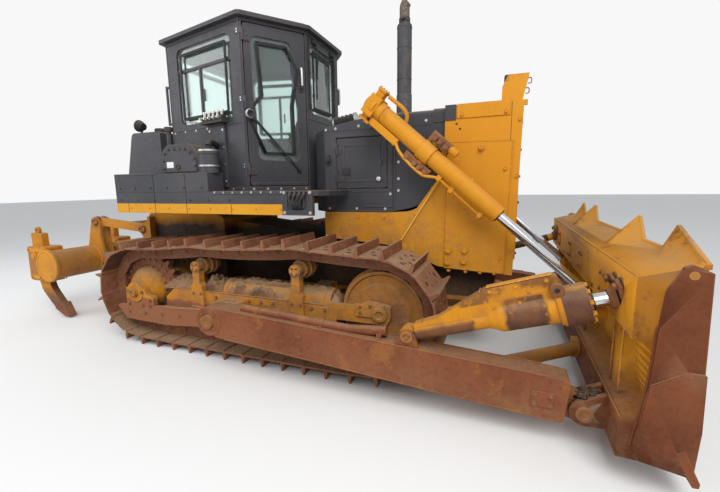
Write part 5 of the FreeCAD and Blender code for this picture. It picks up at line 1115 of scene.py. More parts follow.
def service_niche():
    """The bolted plate at the front of each fender, with the hoses that show in its window and a black sheet behind
    them, painted shade for the niche's depth.
    """
    plate, dark, coil = Shape(), Shape(), Shape()
    wall = Wall(Vector((1800, FENDER_SIDE, 0)), Vector((2150, FENDER_SIDE, 0)))
    opening = window(62, 236, 1446, 1584, 24)
    wall.band(plate, opening, 12, 4, -16, -4)
    wall.strip(plate, 0, 50, 1394, 1600, -9, 1)
    wall.strip(plate, 248, 298, 1394, 1600, -9, 1)
    wall.strip(plate, 50, 248, 1394, 1434, -9, 1)
    wall.strip(plate, 50, 248, 1594, 1600, -9, 1)
    # Painted shade: a black sheet fills the window behind the hoses.
    wall.plate(dark, opening, -3, 1)
    for i, a in enumerate((96, 132, 168, 202)):
        lean = 10 * (i - 1.5)
        coil.tube([wall.at(a + lean, 1592, 2), wall.at(a + 6 + lean, 1560, -26), wall.at(a - 8, 1520, -34),
                   wall.at(a + 4 - lean, 1478, -28), wall.at(a - lean, 1446, 2)], 14)
    piece("niche_plates", plate.flipped(), dark_paint, bevel=3)
    piece("niche_backs", dark.flipped(), black_rubber)
    piece("niche_hoses", coil.flipped(), hose_rubber)
    corners = [wall.at(a, z, -9) for a in (22, 276) for z in (1414, 1588)]
    bolts("niche_bolts", [(p, RIGHT) for p in corners], 10, 6, 2, zinc, both=True)


def tank_fittings():
    """The right tank's bolts, plate and gauge, the air cleaner's bands and pipe, and the tanks' caps."""
    y = -1076
    arch = [(400, 1830), (398, 1905), (422, 1975), (478, 2014), (548, 2017), (618, 2017), (690, 2012),
            (748, 1975),
            (793, 1920), (800, 1850)]
    bolts("drum_bolts", [((x, y, z), RIGHT) for x, z in arch], 11, 8, 3, dark_iron)
    plate = Shape().block(442, 530, y - 3, y + 1, 1838, 1896)
    piece("tank_plate", plate, white_plate, bevel=1)
    ring = Shape().lathe([(0, 26), (10, 26), (12, 20), (4, 18), (4, 0.5)], (586, y, 1846),
                         (586, y - 12, 1846))
    piece("tank_gauge", ring, dark_iron)
    bands = Shape()
    for z in (1840, 1985):
        bands.lathe([(0, 90), (0, 97), (16, 97), (16, 90)], (920, -1010, z), (920, -1010, z + 16), 32)
    piece("cleaner_bands", bands, zinc)
    cleaner_top = Shape()
    cleaner_top.lathe([(0, 60), (8, 62), (16, 40), (22, 38), (40, 34), (44, 8)], (920, -1010, 2000),
                      (920, -1010, 2044), 28)
    cleaner_top.tube([(920, -1010, 2036), (905, -960, 2080), (890, -860, 2060), (880, -822, 2020)], 30)
    piece("cleaner_pipe", cleaner_top, black_rubber)
    filler = Shape()
    filler.lathe([(0, 66), (14, 66), (18, 60), (34, 60), (38, 54), (40, 10)], (-300, -450, 2312),
                 (-300, -450, 2352), 28)
    for w in range(6):
        a = math.pi * w / 3
        filler.block(-304 + 62 * math.cos(a), -296 + 62 * math.cos(a), -454 + 62 * math.sin(a),
                     -446 + 62 * math.sin(a),
                     2316, 2344)
    piece("fuel_cap", filler, dark_iron, bevel=2)
    vent = Shape().lathe([(0, 40), (12, 42), (36, 42), (44, 30), (46, 6)], (400, -980, 2208),
                         (400, -980, 2254), 24)
    piece("breather_cap", vent, dark_iron)


def fuel_tank_seams():
    """The weld beads, bolts and steps of the rear tank."""
    beads = Shape()
    for y in (-560, 0, 560):
        beads.tube([(-613, y, 1790), (-560, y, 1975), (-489, y, 2226)], 5, 8, 2)
        beads.tube([(-480, y, 2277), (-300, y, 2278), (-60, y, 2277)], 5, 8, 2)
    beads.tube([(-613, -680, 1795), (-613, 0, 1795), (-613, 680, 1795)], 5, 8, 2)
    piece("tank_beads", beads, dark_paint)
    rows = row((-590, -640, 1640), (-590, 640, 1640), 9, REAR)
    bolts("tank_rear_bolts", rows, 10, 8, 3, dark_iron)
    steps = Shape()
    for z in (1700, 1960):
        steps.tube([(-600 + (z - 1790) * 0.28, -300, z), (-690 + (z - 1790) * 0.28, -300, z),
                    (-690 + (z - 1790) * 0.28, -60, z), (-600 + (z - 1790) * 0.28, -60, z)], 12)
    piece("tank_steps", steps, dark_paint)


# Engine housing and radiator guard

HOOD_SIDE = -540
GUARD_SIDE = -575
GUARD_PLATE = -589  # the face of the guard's thicker side plate


def hood_panels():
    """The joints, ribs and folded edges on the housing's sides and top."""
    joints, folds = Shape(), Shape()
    panel_strips(joints, HOOD_SIDE, 1.5, 2, ((2636, 2641, 1388, 2150), (1945, 2990, 2158, 2162),
                                             (1945, 2580, 1576, 1580)))
    panel_strips(folds, HOOD_SIDE, 5, 1, ((2010, 2052, 1600, 2120), (2052, 2628, 2102, 2122),
                                          (2596, 2628, 1600, 2102)))
    for out, *reach in ((7, 2350, 2625, 1436, 1448), (9, 1945, 2600, 1390, 1402),
                        (6, 2652, 2662, 1500, 2140)):
        panel_strips(folds, HOOD_SIDE, out, 1, [reach])
    piece("hood_joints", joints.flipped(), black_rubber)
    piece("hood_folds", folds.flipped(), dark_paint, bevel=2.5)
    ridge = Shape()
    for y in (-200, 200):
        ridge.block(2510, 2996, y - 6, y + 6, 2288, 2297)
    ridge.block(2380, 2386, -520, 520, 2271, 2277)
    piece("hood_top_ribs", ridge, dark_paint, bevel=3)
    rows = [((x, HOOD_SIDE, z), RIGHT) for x, z in
            ((1956, 2180), (2060, 2186), (2300, 2196), (2700, 2200), (2940, 2200), (2690, 1851), (2690, 1591),
             (2612, 1560), (2560, 1420), (1980, 1420), (2270, 1420), (2690, 1700), (2690, 2050),
             (1970, 1560))]
    bolts("hood_bolts", rows, 9, 6, 2.5, zinc, both=True)
    knobs = Shape()
    knobs.lathe([(0, 12), (14, 12), (16, 24), (30, 26), (36, 20), (38, 4)], (1978, HOOD_SIDE, 1890),
                (1978, HOOD_SIDE - 38, 1890), 18)
    knobs.block(1962, 1994, HOOD_SIDE - 8, HOOD_SIDE + 1, 1840, 1940)
    piece("hood_knobs", knobs.flipped(), black_plastic)


def engine_door_fittings(side):
    """An engine door's pressed panel, blank plate, latch and hinge bolts."""
    body = "engine_door_" + side
    press, plate, latch = Shape(), Shape(), Shape()
    wall = Wall(Vector((2071, HOOD_SIDE, 0)), Vector((2575, HOOD_SIDE, 0)))
    wall.band(press, window(46, 458, 1662, 2048, 26), 10, 8, -5, 1)
    wall.strip(plate, 50, 138, 1741, 1815, -8, 1)
    latch.lathe([(0, 14), (10, 14), (12, 22), (22, 22), (26, 16)], wall.at(430, 1700),
                wall.at(430, 1700, -26), 18)
    heads = []
    for z in (1680, 1940):
        heads += row(wall.at(22, z + 14, -9), wall.at(22, z + 46, -9), 2, RIGHT)
    if side == "left":
        for shape in (press, plate, latch):
            shape.move_left()
        heads = [(mirrored(p), mirrored(d)) for p, d in heads]
    piece("door_press_" + side, press, dark_paint, body, 2)
    piece("door_plate_" + side, plate, black_plastic, body, 2)
    piece("door_latch_" + side, latch, zinc, body)
    bolts("engine_door_bolts_" + side, heads, 6, 4, 1.5, dark_iron, body)


def guard_details():
    """The guard's top cover, seams, bosses, hooks, rods and bolts, and the louvre's frame in front."""
    cover, seams, fittings = Shape(), Shape(), Shape()
    panel_strips(cover, GUARD_SIDE, 9, 1, [(3208, 3632, 2190, 2300)])
    cover.prism([(3208, GUARD_SIDE - 9, 2298), (3632, GUARD_SIDE - 9, 2298), (3632, -520, 2298),
                 (3208, -520, 2298)],
                [(3208, GUARD_SIDE - 3, 2309), (3632, GUARD_SIDE - 3, 2309), (3632, -520, 2309),
                 (3208, -520, 2309)])
    panel_strips(seams, GUARD_SIDE, 1.5, 2, ((3112, 3640, 884, 888), (3640, 3643, 890, 2290)))
    fittings.lathe([(0, 30), (12, 28), (14, 20), (34, 20), (36, 4)], (3417, GUARD_PLATE, 1937),
                   (3417, GUARD_PLATE - 36, 1937), 6)
    piece("guard_cover", cover.flipped(), yellow_plain, bevel=4)
    piece("guard_seams", seams.flipped(), black_rubber)
    piece("guard_bosses", fittings.flipped(), yellow_bolt)
    hooks = Shape()
    for z in (2443, 2368):
        x = 3726 + (z - 2300) * 0.19
        hooks.tube([(x - 4, -563, z + 20), (x + 17, -563, z + 19), (x + 22, -563, z), (x + 17, -563, z - 19),
                    (x - 4, -563, z - 20)], 4)
    piece("guard_hooks", hooks, rusty_bolt)
    # Painted highlight: the rod's yellow is brighter than the guard's paint.
    rod = Shape().tube([(3072, -588, 1680), (2890, -589, 1388), (2702, -589, 1084)], 6, 10, 2)
    piece("guard_rods", rod.flipped(), rod_yellow_painted_highlight)
    edge = Shape()
    panel = [(3134, 897), (3632, 880), (3658, 1986), (3134, 1997)]
    for a, b in zip(panel, panel[1:] + panel[:1]):
        edge.tube([(a[0], -588, a[1]), ((a[0] + b[0]) / 2, -588, (a[1] + b[1]) / 2), (b[0], -588, b[1])], 4,
                  8, 1)
    piece("guard_panel_edges", edge.flipped(), yellow_plain)
    big = [((x, GUARD_PLATE, z), RIGHT) for x, z in ((3167, 1054), (3307, 1061), (3163, 948), (3303, 964))]
    bolts("guard_big_bolts", big, 24, 17, 6, yellow_bolt, both=True)
    small = [((x, GUARD_PLATE, z), RIGHT) for x, z in ((3600, 1010), (3600, 1400), (3610, 1760),
                                                       (3180, 1960))]
    small += [((x, GUARD_SIDE, z), RIGHT) for x, z in ((3170, 872), (3318, 872), (3442, 872), (3560, 872),
                                                       (3699, 1239),
                                                      (3700, 1700), (3705, 2150), (2853, 1372), (2000, 1350),
                                                      (2000, 1180), (2300, 1340), (2560, 1340))]
    bolts("guard_bolts", small, 12, 9, 3, yellow_bolt, both=True)
    bolts("cover_bolts", [((x, GUARD_SIDE - 9, 2216), RIGHT) for x in (3250, 3598)], 12, 9, 3, yellow_bolt,
          both=True)
    # Painted shade: two small black discs stand for the shadowed insides of holes in the guard's side.
    holes = Shape()
    for x, z in ((3207, 2148), (3238, 2105)):
        holes.rod((x, GUARD_SIDE + 2, z), (x, GUARD_SIDE - 1, z), 9)
    piece("guard_holes", holes.flipped(), grease)
    frame_strip = Shape()
    frame_strip.blocks((3700, 3722, *reach) for reach in ((-470, 470, 2172, 2196), (-470, 470, 984, 1008),
                                                          (-470, -444, 1008, 2172), (444, 470, 1008, 2172)))
    piece("grille_frame", frame_strip, yellow_plain, bevel=3)
    front = row((3722, -457, 1040), (3722, -457, 2140), 6,
                FORWARD) + row((3722, 457, 1040), (3722, 457, 2140), 6, FORWARD)
    bolts("grille_bolts", front, 11, 8, 3, dark_iron)


def exhaust_details():
    """The silencer's sleeve, seams and clamp, and the hose's clips."""
    x = 2600
    sleeve = Shape().lathe([(0, 79), (250, 79), (256, 75)], (x, 0, 2306), (x, 0, 2562), 40)
    for z in (2700, 3000, 3190):
        sleeve.lathe([(0, 74), (3, 77), (9, 77), (12, 74)], (x, 0, z), (x, 0, z + 12), 40)
    piece("silencer_sleeve", sleeve, silencer_metal)
    clamp = Shape().lathe([(0, 51), (0, 56), (34, 56), (34, 51)], (x, 0, 3252), (x, 0, 3286), 36)
    clamp.block(x - 12, x + 12, -78, -52, 3258, 3280)
    clamp.rod((x - 30, -66, 3269), (x + 30, -66, 3269), 6, 10)
    piece("exhaust_clamp", clamp, dark_iron)
    bolts("exhaust_bolts", [((x + 84 * math.cos(a), 84 * math.sin(a), 2306), UP) for a in
                            (math.pi * i / 3 for i in range(6))], 9, 8, 2, rusty_bolt)
    clips = Shape()
    for share in (0.02, 0.94):
        a = Vector((1955, -330, 2264)).lerp(Vector((2206, -330, 2304)), share)
        b = a + (Vector((2206, -330, 2304)) - Vector((1955, -330, 2264))).normalized() * 14
        clips.lathe([(0, 49), (0, 62), (14, 62), (14, 49)], a, b, 32)
    piece("hose_clips", clips, zinc)


def lamp_details():
    """Lenses and bezels of the working lamps."""
    lenses, bezels = Shape(), Shape()
    for y in (-380, 380):
        wall = Wall(Vector((3650, y - 80, 0)), Vector((3650, y + 80, 0)))
        wall.band(bezels, window(6, 154, 2446, 2524, 10), 4, 10, -5, 3)
        wall.strip(lenses, 14, 146, 2454, 2516, -3, 2)
    for y in (-610, 610):
        a, b = Vector((-380, y, 2356)), Vector((-460, y, 2371))
        along = (b - a).normalized()
        bezels.lathe([(0, 62), (0, 68), (14, 68), (14, 62)], b - along * 14, b, 32)
        lenses.lathe([(0, 58), (5, 50), (9, 30), (10, 2)], b - along * 6, b, 32)
    piece("lamp_lenses", lenses, lamp_lens)
    piece("lamp_bezels", bezels, dark_iron, bevel=1)


# Lift cylinders

LIFT_START = Vector((3000, -760, 1900))
LIFT_ALONG = (Vector((4290, -760, 764)) - LIFT_START).normalized()
LIFT_OUT = Vector((-LIFT_ALONG.z, 0, LIFT_ALONG.x))


def lift(t, n=0.0, y=0.0):
    """A place on the right lift cylinder: t toward the blade, n up from its axis, y toward the machine's middle."""
    return tuple(LIFT_START + LIFT_ALONG * t + LIFT_OUT * n + Vector((0, y, 0)))


def lift_block(shape, t0, t1, n0, n1, y0, y1):
    """A block on the lift cylinder, by its reach along it, up from its axis and toward the middle."""
    low = [lift(t, n, y0) for t, n in ((t0, n0), (t1, n0), (t1, n1), (t0, n1))]
    return shape.prism(low, [(p[0], p[1] + y1 - y0, p[2]) for p in low])


def lift_cylinders():
    """Each lift cylinder's head ports, pipes, clamps, valve cover, bearing caps and wiper ring."""
    ports, pipes, cover, caps, dark, ring = Shape(), Shape(), Shape(), Shape(), Shape(), Shape()
    lift_block(ports, -676, -566, -88, 88, -84, 84)
    lift_block(ports, -668, -596, 80, 150, -40, 40)
    lift_block(ports, -662, -600, -132, -80, -40, 40)
    for n in (-128, 146):
        lift_block(ports, -674, -590, n - 12, n + 12, -48, 48)
    pipes.tube([lift(-566, 140), lift(-470, 142), lift(-400, 140), lift(-345, 118, 10), lift(-318, 72, 20)],
               17)
    pipes.tube([lift(-612, -118), lift(-596, -136, -30), lift(-560, -130, -48)], 14)
    lift_block(cover, -566, -252, -134, -70, -50, 18)
    pipes.tube([lift(-262, -104, -38), lift(-190, -138, -48), lift(-60, -158, -52), lift(90, -156, -52),
                lift(160, -120, -46), lift(206, -92, -30)], 13)
    pipes.tube([lift(206, -92, -30), lift(350, -96, -10), lift(520, -98, 0), lift(650, -98, 0),
                lift(700, -78, 0)], 13)
    lift_block(ports, 192, 236, -112, -66, -46, 4)
    for t in (353, 664):
        lift_block(ports, t - 20, t + 20, -122, -68, -26, 26)
    ports.lathe([(0, 22), (16, 22), (18, 18), (18, 11), (6, 9)], lift(428, 66), lift(428, 92), 16)
    for side, start, end in ((-1, -150, 128), (1, -70, 128)):
        near, far = (side * 88, side * 178) if side > 0 else (side * 172, side * 88)
        lift_block(dark, start, end, near, far, -30, 58)
        lift_block(dark, start + 24, end - 70, near + 10, far - 10, -46, -28)
        lift_block(dark, end - 62, end - 8, near + 14, far - 14, -42, -28)
    caps.lathe([(0, 36), (70, 36), (80, 30), (84, 12)], lift(118, 140), lift(202, 140), 24)
    ring.lathe([(0, 38.5), (0, 60), (10, 58), (14, 38.5)], lift(768), lift(782), 32)
    for shape in (ports, pipes, cover, caps, dark, ring):
        shape.flipped()
    piece("lift_ports", ports, yellow_bolt, "lift_barrels", 4)
    piece("lift_pipes", pipes, yellow_paint, "lift_barrels")
    piece("lift_valve_covers", cover, yellow_paint, "lift_barrels", 8)
    piece("lift_bearing_caps", caps, yellow_bolt, "lift_barrels")
    piece("lift_bearings", dark, gear_dirty, "lift_barrels", 5)
    piece("lift_wipers", ring, black_rubber, "lift_barrels")
    heads = []
    out, back = tuple(LIFT_OUT), tuple(-LIFT_OUT)
    for n, side in ((-140, back), (158, out)):
        heads += [(lift(t, n, y), side) for t in (-660, -604) for y in (-34, 34)]
    heads += [(lift(t, -134, -16), back) for t in (-540, -278)]
    for t in (353, 664):
        heads += [(lift(t, -122, y), back) for y in (-16, 16)]
    bolts("lift_port_bolts", heads, 9, 8, 3, yellow_bolt, "lift_barrels", True)
    rusty_heads = [(lift(t, n, y), RIGHT) for n in (-130, 132) for t, y in ((-20, -46), (28, -46), (92, -42))]
    rusty_heads += [(lift(-112, -130, -46), RIGHT)]
    bolts("lift_bearing_bolts", rusty_heads, 21, 18, 5, rusty_bolt, "lift_barrels", True)
    ring_heads = []
    side_axis = Vector((0, 1, 0))
    for i in range(8):
        a = 2 * math.pi * (i + 0.5) / 8
        place = Vector(lift(-676)) + LIFT_OUT * (70 * math.cos(a)) + side_axis * (70 * math.sin(a))
        ring_heads.append((tuple(place), tuple(-LIFT_ALONG)))
    bolts("lift_cap_bolts", ring_heads, 8, 7, 2, yellow_bolt, "lift_barrels", True)
    pins = Shape()
    for y in (-852, -708):
        pins.rod((4290, y, 764), (4290, y + 14 * (1 if y > -760 else -1), 764), 40, 24)
    pins.flipped()
    piece("lift_pin_caps", pins, gear_dirty, "blade", 3)


fender_seams()
service_niche()
tank_fittings()
fuel_tank_seams()
hood_panels()
for side in ("right", "left"):
    engine_door_fittings(side)
guard_details()
exhaust_details()
lamp_details()
lift_cylinders()


# Tracks

PITCH, SHOES, TRACK_Y, SHOE_HALF = 217.0, 37, 1000.0, 280.0
SHOE_FACE = 75.0  # how far a shoe's face stands out from the line of the pins
TEETH = 23
ROLLER_LINE = 147  # the height of the pins on the ground run
SPROCKET_R = PITCH / (2 * math.sin(2 * math.pi / TEETH))
SPROCKET_Z = ROLLER_LINE + SPROCKET_R + 8
IDLER_R, IDLER_Z = 425.0, 588.0
IDLER_X = (SHOES * PITCH - math.pi * (SPROCKET_R + IDLER_R) - 26) / 2
CARRIERS = ((0.296 * IDLER_X, 1019.0), (0.714 * IDLER_X, 1058.0))
FIRST_ROLLER, LAST_ROLLER = SPROCKET_R + 48, IDLER_X - 412


def chain_line():
    """The closed line of the chain's pins, as the construction lays it."""
    def wrap(x, z, r, first, last):
        turns = (math.radians(first + (last - first) * i / 24) for i in range(24))
        return [Vector((x + r * math.cos(a), 0, z + r * math.sin(a))) for a in turns]

    over = [Vector((x, 0, z)) for x, z in ((0, SPROCKET_Z + SPROCKET_R), *CARRIERS,
                                           (IDLER_X, IDLER_Z + IDLER_R))]
    line = [Vector((0, 0, SPROCKET_Z - SPROCKET_R)), Vector((FIRST_ROLLER - PITCH, 0, ROLLER_LINE)),
            Vector((LAST_ROLLER + PITCH, 0, ROLLER_LINE))] + wrap(IDLER_X, IDLER_Z, IDLER_R, -90, 90)
    for i, sag in ((2, 6), (1, 22), (0, 16)):
        a, b = over[i + 1], over[i]
        line += [a.lerp(b, t / 8) - Vector((0, 0, 4 * sag * t / 8 * (1 - t / 8))) for t in range(8)]
    return line + wrap(0, SPROCKET_Z, SPROCKET_R, 90, 270)


def shoe_frames():
    """For each shoe its rear pin, the direction to the next pin and the direction outward."""
    line = chain_line()
    line.append(line[0])
    step = sum((b - a).length for a, b in zip(line, line[1:])) / SHOES
    pins, gone, wanted = [], 0.0, step * 0.35
    for a, b in zip(line, line[1:]):
        length = (b - a).length
        while wanted <= gone + length and len(pins) < SHOES:
            pins.append(a + (b - a) * ((wanted - gone) / length))
            wanted += step
        gone += length
    middle = Vector((IDLER_X / 2, 0, SPROCKET_Z))
    frames = []
    for p, q in zip(pins, pins[1:] + pins[:1]):
        along = (q - p).normalized()
        out = Vector((along.z, 0, -along.x))
        if out.dot((p + q) / 2 - middle) < 0:
            out = -out
        frames.append((p, along, out))
    return frames


SHOE_PLACES = shoe_frames()


def shoe_place(shoe, along, out, y):
    """A place on a shoe, along it from its rear pin and outward from the pin line."""
    p, a, n = shoe
    q = p + a * along + n * out
    return q.x, y, q.z


def shoe_bolts():
    """Four bolt heads on every shoe, and the links' pin ends."""
    heads, pins = [], []
    for shoe in SHOE_PLACES:
        for along in (70, 150):
            heads += [(shoe_place(shoe, along, SHOE_FACE, y), tuple(shoe[2])) for y in (-1070, -930)]
        pins += [(shoe_place(shoe, 0, 0, -1093.5), RIGHT), (shoe_place(shoe, 0, 0, -906.5), LEFT)]
    bolts("shoe_bolts", heads, 13, 9, 1, rusty_bolt, both=True)
    bolts("chain_pins", pins, 24, 8, 2, track_steel, both=True)


def shoe_lips():
    """The lips that close the gap between two shoes where the track turns."""
    shape = Shape()
    profile = [(206, 61), (214, 66), (250, 53), (246, 45), (214, 53)]
    for shoe, following in zip(SHOE_PLACES, SHOE_PLACES[1:] + SHOE_PLACES[:1]):
        if shoe[1].dot(following[1]) < 0.99:
            shape.prism(*([shoe_place(shoe, a, n, y) for a, n in profile]
                          for y in (-TRACK_Y - SHOE_HALF + 1, -TRACK_Y + SHOE_HALF - 1)))
    piece("shoe_lips", shape.flipped(), track_steel)


def painted_shoe_hole_shade():
    """Black patches for the relief holes near the middle of each shoe's front edge: painted shade, as no hole is
    cut.
    """
    holes = Shape()
    corners = [(92, -26), (128, -20), (128, 20), (92, 26)]
    for shoe in SHOE_PLACES:
        for y in (-1165, -835):
            low = [shoe_place(shoe, a, SHOE_FACE - 2, y + w) for a, w in corners]
            high = [shoe_place(shoe, a, SHOE_FACE + 0.8, y + w) for a, w in corners]
            holes.prism(low, high)
    piece("shoe_relief_holes", holes.flipped(), grease)


def roller_covers():
    """Caps and bolts on the roller shafts, the carriers' shafts and the idlers' bearings."""
    caps = Shape()
    heads = []
    step = (LAST_ROLLER - FIRST_ROLLER) / 5
    for i in range(6):
        x = FIRST_ROLLER + i * step
        caps.block(x - 46, x + 46, -1162, -1149, 312, 372)
        heads += [((x + a, -1162, 342), RIGHT) for a in (-30, 30)]
    for x, z in CARRIERS:
        caps.lathe([(0, 46), (8, 44), (12, 34), (12, 24), (4, 22)], (x, -1183, z - 152), (x, -1197, z - 152),
                   20)
        heads += [((x + 34 * math.cos(a), -1184, z - 152 + 34 * math.sin(a)), RIGHT)
                  for a in (math.pi * (i + 0.5) / 2 for i in range(4))]
        caps.block(x - 78, x + 78, -1190, -1178, 452, 470)
        heads += [((x + a, -1180, 600), RIGHT) for a in (-46, 46)]
    caps.lathe([(0, 66), (10, 66), (16, 56), (16, 34), (6, 30)], (IDLER_X, -1165, IDLER_Z),
               (IDLER_X, -1182, IDLER_Z), 24)
    for a, z in ((-170, 590), (-170, 640), (10, 640), (-80, 655)):
        heads.append(((IDLER_X + a, -1166, z), RIGHT))
    piece("roller_covers", caps.flipped(), yellow_muddy, bevel=3)
    bolts("roller_bolts", heads, 11, 8, 3, rusty_bolt, both=True)


FRAME_SIDE, PLATE_FACE = -1149, -1154


def frame_plates():
    """Seams, cover plates and bolts along the track frame, and the clamps on the recoil housing."""
    plates, weld = Shape(), Shape()
    for x in (1090, 1500, 2150):
        plates.lathe([(0, 134), (0, 141), (34, 141), (34, 134)], (x, -1000, 600), (x + 34, -1000, 600), 32)
    plates.blocks(((980, 1700, PLATE_FACE, FRAME_SIDE, 540, 604), (2040, 2230, PLATE_FACE, FRAME_SIDE, 470,
                                                                   600),
                   (1190, 1310, -1262, -1240, 592, 600)))
    weld.tube([(420, -1233, 425), (755, -1233, 448), (1090, -1233, 468)], 5, 8, 3)
    weld.tube([(360, -1151, 622), (1000, -1151, 622), (1700, -1151, 622), (2180, -1151, 618)], 5, 8, 3)
    piece("frame_plates", plates.flipped(), yellow_muddy, bevel=3)
    piece("frame_welds", weld.flipped(), yellow_muddy)
    rows = row((1010, PLATE_FACE, 572), (1670, PLATE_FACE, 572), 6, RIGHT)
    rows += row((2070, PLATE_FACE, 570), (2200, PLATE_FACE, 570), 2, RIGHT)
    rows += row((-110, -1232, 330), (1060, -1232, 372), 6, RIGHT)
    bolts("frame_bolts", rows, 12, 9, 3, rusty_bolt, both=True)


def final_drive_details():
    """The bearing cap's bolts and boss, the seat's bolts and the dome's bolted ring."""
    bolts("drive_cap_bolts", circle_row((0, SPROCKET_Z), 84, 8, -1228, start=0.3), 11, 9, 3, yellow_bolt,
          both=True)
    seat = [((x, -1232, z), RIGHT) for x, z in ((-100, 420), (100, 420), (200, 420), (205, 480), (-100, 560),
                                                (100, 560))]
    bolts("drive_seat_bolts", seat, 14, 11, 3, rusty_bolt, both=True)
    ring = []
    for i in range(20):
        a = 2 * math.pi * i / 20
        ring.append(((244 * math.cos(a), -1046, SPROCKET_Z + 244 * math.sin(a)),
                     (math.cos(a), 0, math.sin(a))))
    bolts("drive_dome_bolts", ring, 12, 8, 2, rusty_bolt, both=True)
    teeth = Shape()
    for i in range(TEETH):
        a = 2 * math.pi * (i + 0.5) / TEETH
        x, z = 318 * math.cos(a), SPROCKET_Z + 318 * math.sin(a)
        teeth.rod((x, -1037, z), (x, -1050, z), 15, 6)
    piece("sprocket_bolts", teeth.flipped(), rusty_bolt)
    boss = Shape().lathe([(0, 50), (12, 50), (18, 42), (20, 24), (8, 20)], (0, -1260, SPROCKET_Z),
                         (0, -1282, SPROCKET_Z), 24)
    piece("drive_bosses", boss.flipped(), gear_dirty)


def mud_bed(name, beds, seed):
    """Heaps of dried mud: each bed is a grid raised by noise, closed underneath."""
    shape = Shape()
    for k, (x0, x1, y0, y1, z, rise) in enumerate(beds):
        nx, ny = max(6, int((x1 - x0) / 15)), max(5, int((y1 - y0) / 15))
        top, low = [], []
        for j in range(ny + 1):
            for i in range(nx + 1):
                u, v = i / nx, j / ny
                x, y = x0 + (x1 - x0) * u, y0 + (y1 - y0) * v
                edge = min(1.0, 5 * min(u, 1 - u)) * min(1.0, 4 * min(v, 1 - v))
                n = noise.noise(Vector((x / 130, y / 130,
                                        seed + k))) + 0.6 * noise.noise(Vector((x / 38, y / 38, seed)))
                grain = 7 * noise.noise(Vector((x / 17, y / 17, seed)))
                top.append((x + 6 * n, y, z + edge ** 0.6 * (rise * max(0.12, 0.62 + 0.55 * n) + grain)))
                low.append((x, y, z - 6))
        n = len(top)
        w = nx + 1
        faces = []
        for j in range(ny):
            for i in range(nx):
                a = j * w + i
                faces += [(a, a + 1, a + w + 1, a + w), (n + a + w, n + a + w + 1, n + a + 1, n + a)]
        rim = [*range(nx), *(j * w + nx for j in range(ny)), *(ny * w + i for i in range(nx, 0, -1)),
               *(j * w for j in range(ny, 0, -1))]
        for a, b in zip(rim, rim[1:] + rim[:1]):
            faces.append((a, n + a, n + b, b))
        shape.add(top + low, faces)
    shape.flipped()
    piece(name, shape, dry_mud, smooth=80)


def dirt_forms():
    """A bent straw and a clod, the two forms that are strewn about."""
    straw = Shape().tube([(1220, 0, 0), (1246, 3, 5), (1274, -3, 3)], 1.6, 3, 2)
    clod = Shape()
    rings = []
    for k, (z, r) in enumerate(((-7, 5), (-2, 13), (6, 12), (11, 4))):
        rings.append([(1220 + r * (1 + 0.22 * math.sin(5 * k + 3 * i)) * math.cos(math.pi * i / 3),
                       r * (1 + 0.22 * math.sin(7 * k + 2 * i)) * math.sin(math.pi * i / 3), z)
                       for i in range(6)])
    clod.rings(rings)
    return [bpy.data.objects.new(name, closed_mesh(name, shape))
            for name, shape in (("straw_form", straw), ("clod_form", clod))]


def strewn(name, areas, form, density, least, most, tilt, seed, finish):
    """One form strewn over rectangles, each given by its four corners."""
    mesh = bpy.data.meshes.new(name + "_area")
    points = [tuple(at(*c)) for area in areas for c in area]
    mesh.from_pydata(points, [], [tuple(range(4 * k, 4 * k + 4)) for k in range(len(areas))])
    return grown(name, mesh, LITTER, {"Form": form, "Density": density, "Least": least, "Most": most,
                                      "Tilt": tilt,
                                      "Seed": seed, "Finish": finish}, "machine", 60)


def litter():
    """Straw and clods on the shoes, the frame and the recoil housing."""
    straw, clod = dirt_forms()
    tops, frame_tops = [], []
    for side in (-1, 1):
        for shoe in SHOE_PLACES:
            if shoe[2].z > 0.8:
                corners = [(34, -SHOE_HALF + 10), (200, -SHOE_HALF + 10), (200, SHOE_HALF - 10),
                           (34, SHOE_HALF - 10)]
                area = [shoe_place(shoe, a, SHOE_FACE + 3, side * TRACK_Y + y) for a, y in corners]
                tops.append(area if shoe_normal(area).z > 0 else area[::-1])
        for x0, x1, z in ((330, 760, 628), (850, 1080, 628), (1900, 2150, 628)):
            y0, y1 = side * TRACK_Y - 140, side * TRACK_Y + 140
            frame_tops.append([(x0, y0, z), (x1, y0, z), (x1, y1, z), (x0, y1, z)])
        y = side * TRACK_Y
        frame_tops.append([(1100, y - 60, 728), (2150, y - 60, 728), (2150, y + 60, 728),
                           (1100, y + 60, 728)])
    strewn("shoe_straw", tops, straw, 55, 0.5, 1.4, 0.25, 11, straw_finish)
    strewn("shoe_clods", tops, clod, 70, 0.25, 0.95, 0.5, 23, dry_mud)
    strewn("frame_straw", frame_tops, straw, 160, 0.5, 1.5, 0.5, 37, straw_finish)
    strewn("frame_clods", frame_tops, clod, 420, 0.3, 1.2, 0.6, 41, dry_mud)
    for form in (straw, clod):
        bpy.data.objects.remove(form)


def shoe_normal(area):
    """The direction in which a flat area faces."""
    a, b, c = (Vector(p) for p in area[:3])
    return (b - a).cross(c - b)


shoe_bolts()
shoe_lips()
painted_shoe_hole_shade()
roller_covers()
frame_plates()
final_drive_details()
mud_bed("frame_mud", [(300, 770, -1145, -860, 616, 130), (840, 1110, -1145, -860, 616, 185),
                      (1060, 1900, -1148, -1070, 616, 115), (1060, 2150, -930, -856, 616, 110),
                      (1980, 2330, -1145, -860, 610, 120)], 3.0)
mud_bed("recoil_mud", [(1110, 1900, -1075, -925, 704, 72), (1985, 2190, -1075, -925, 704, 60)], 9.0)
litter()


# Blade, arms and tilt cylinder

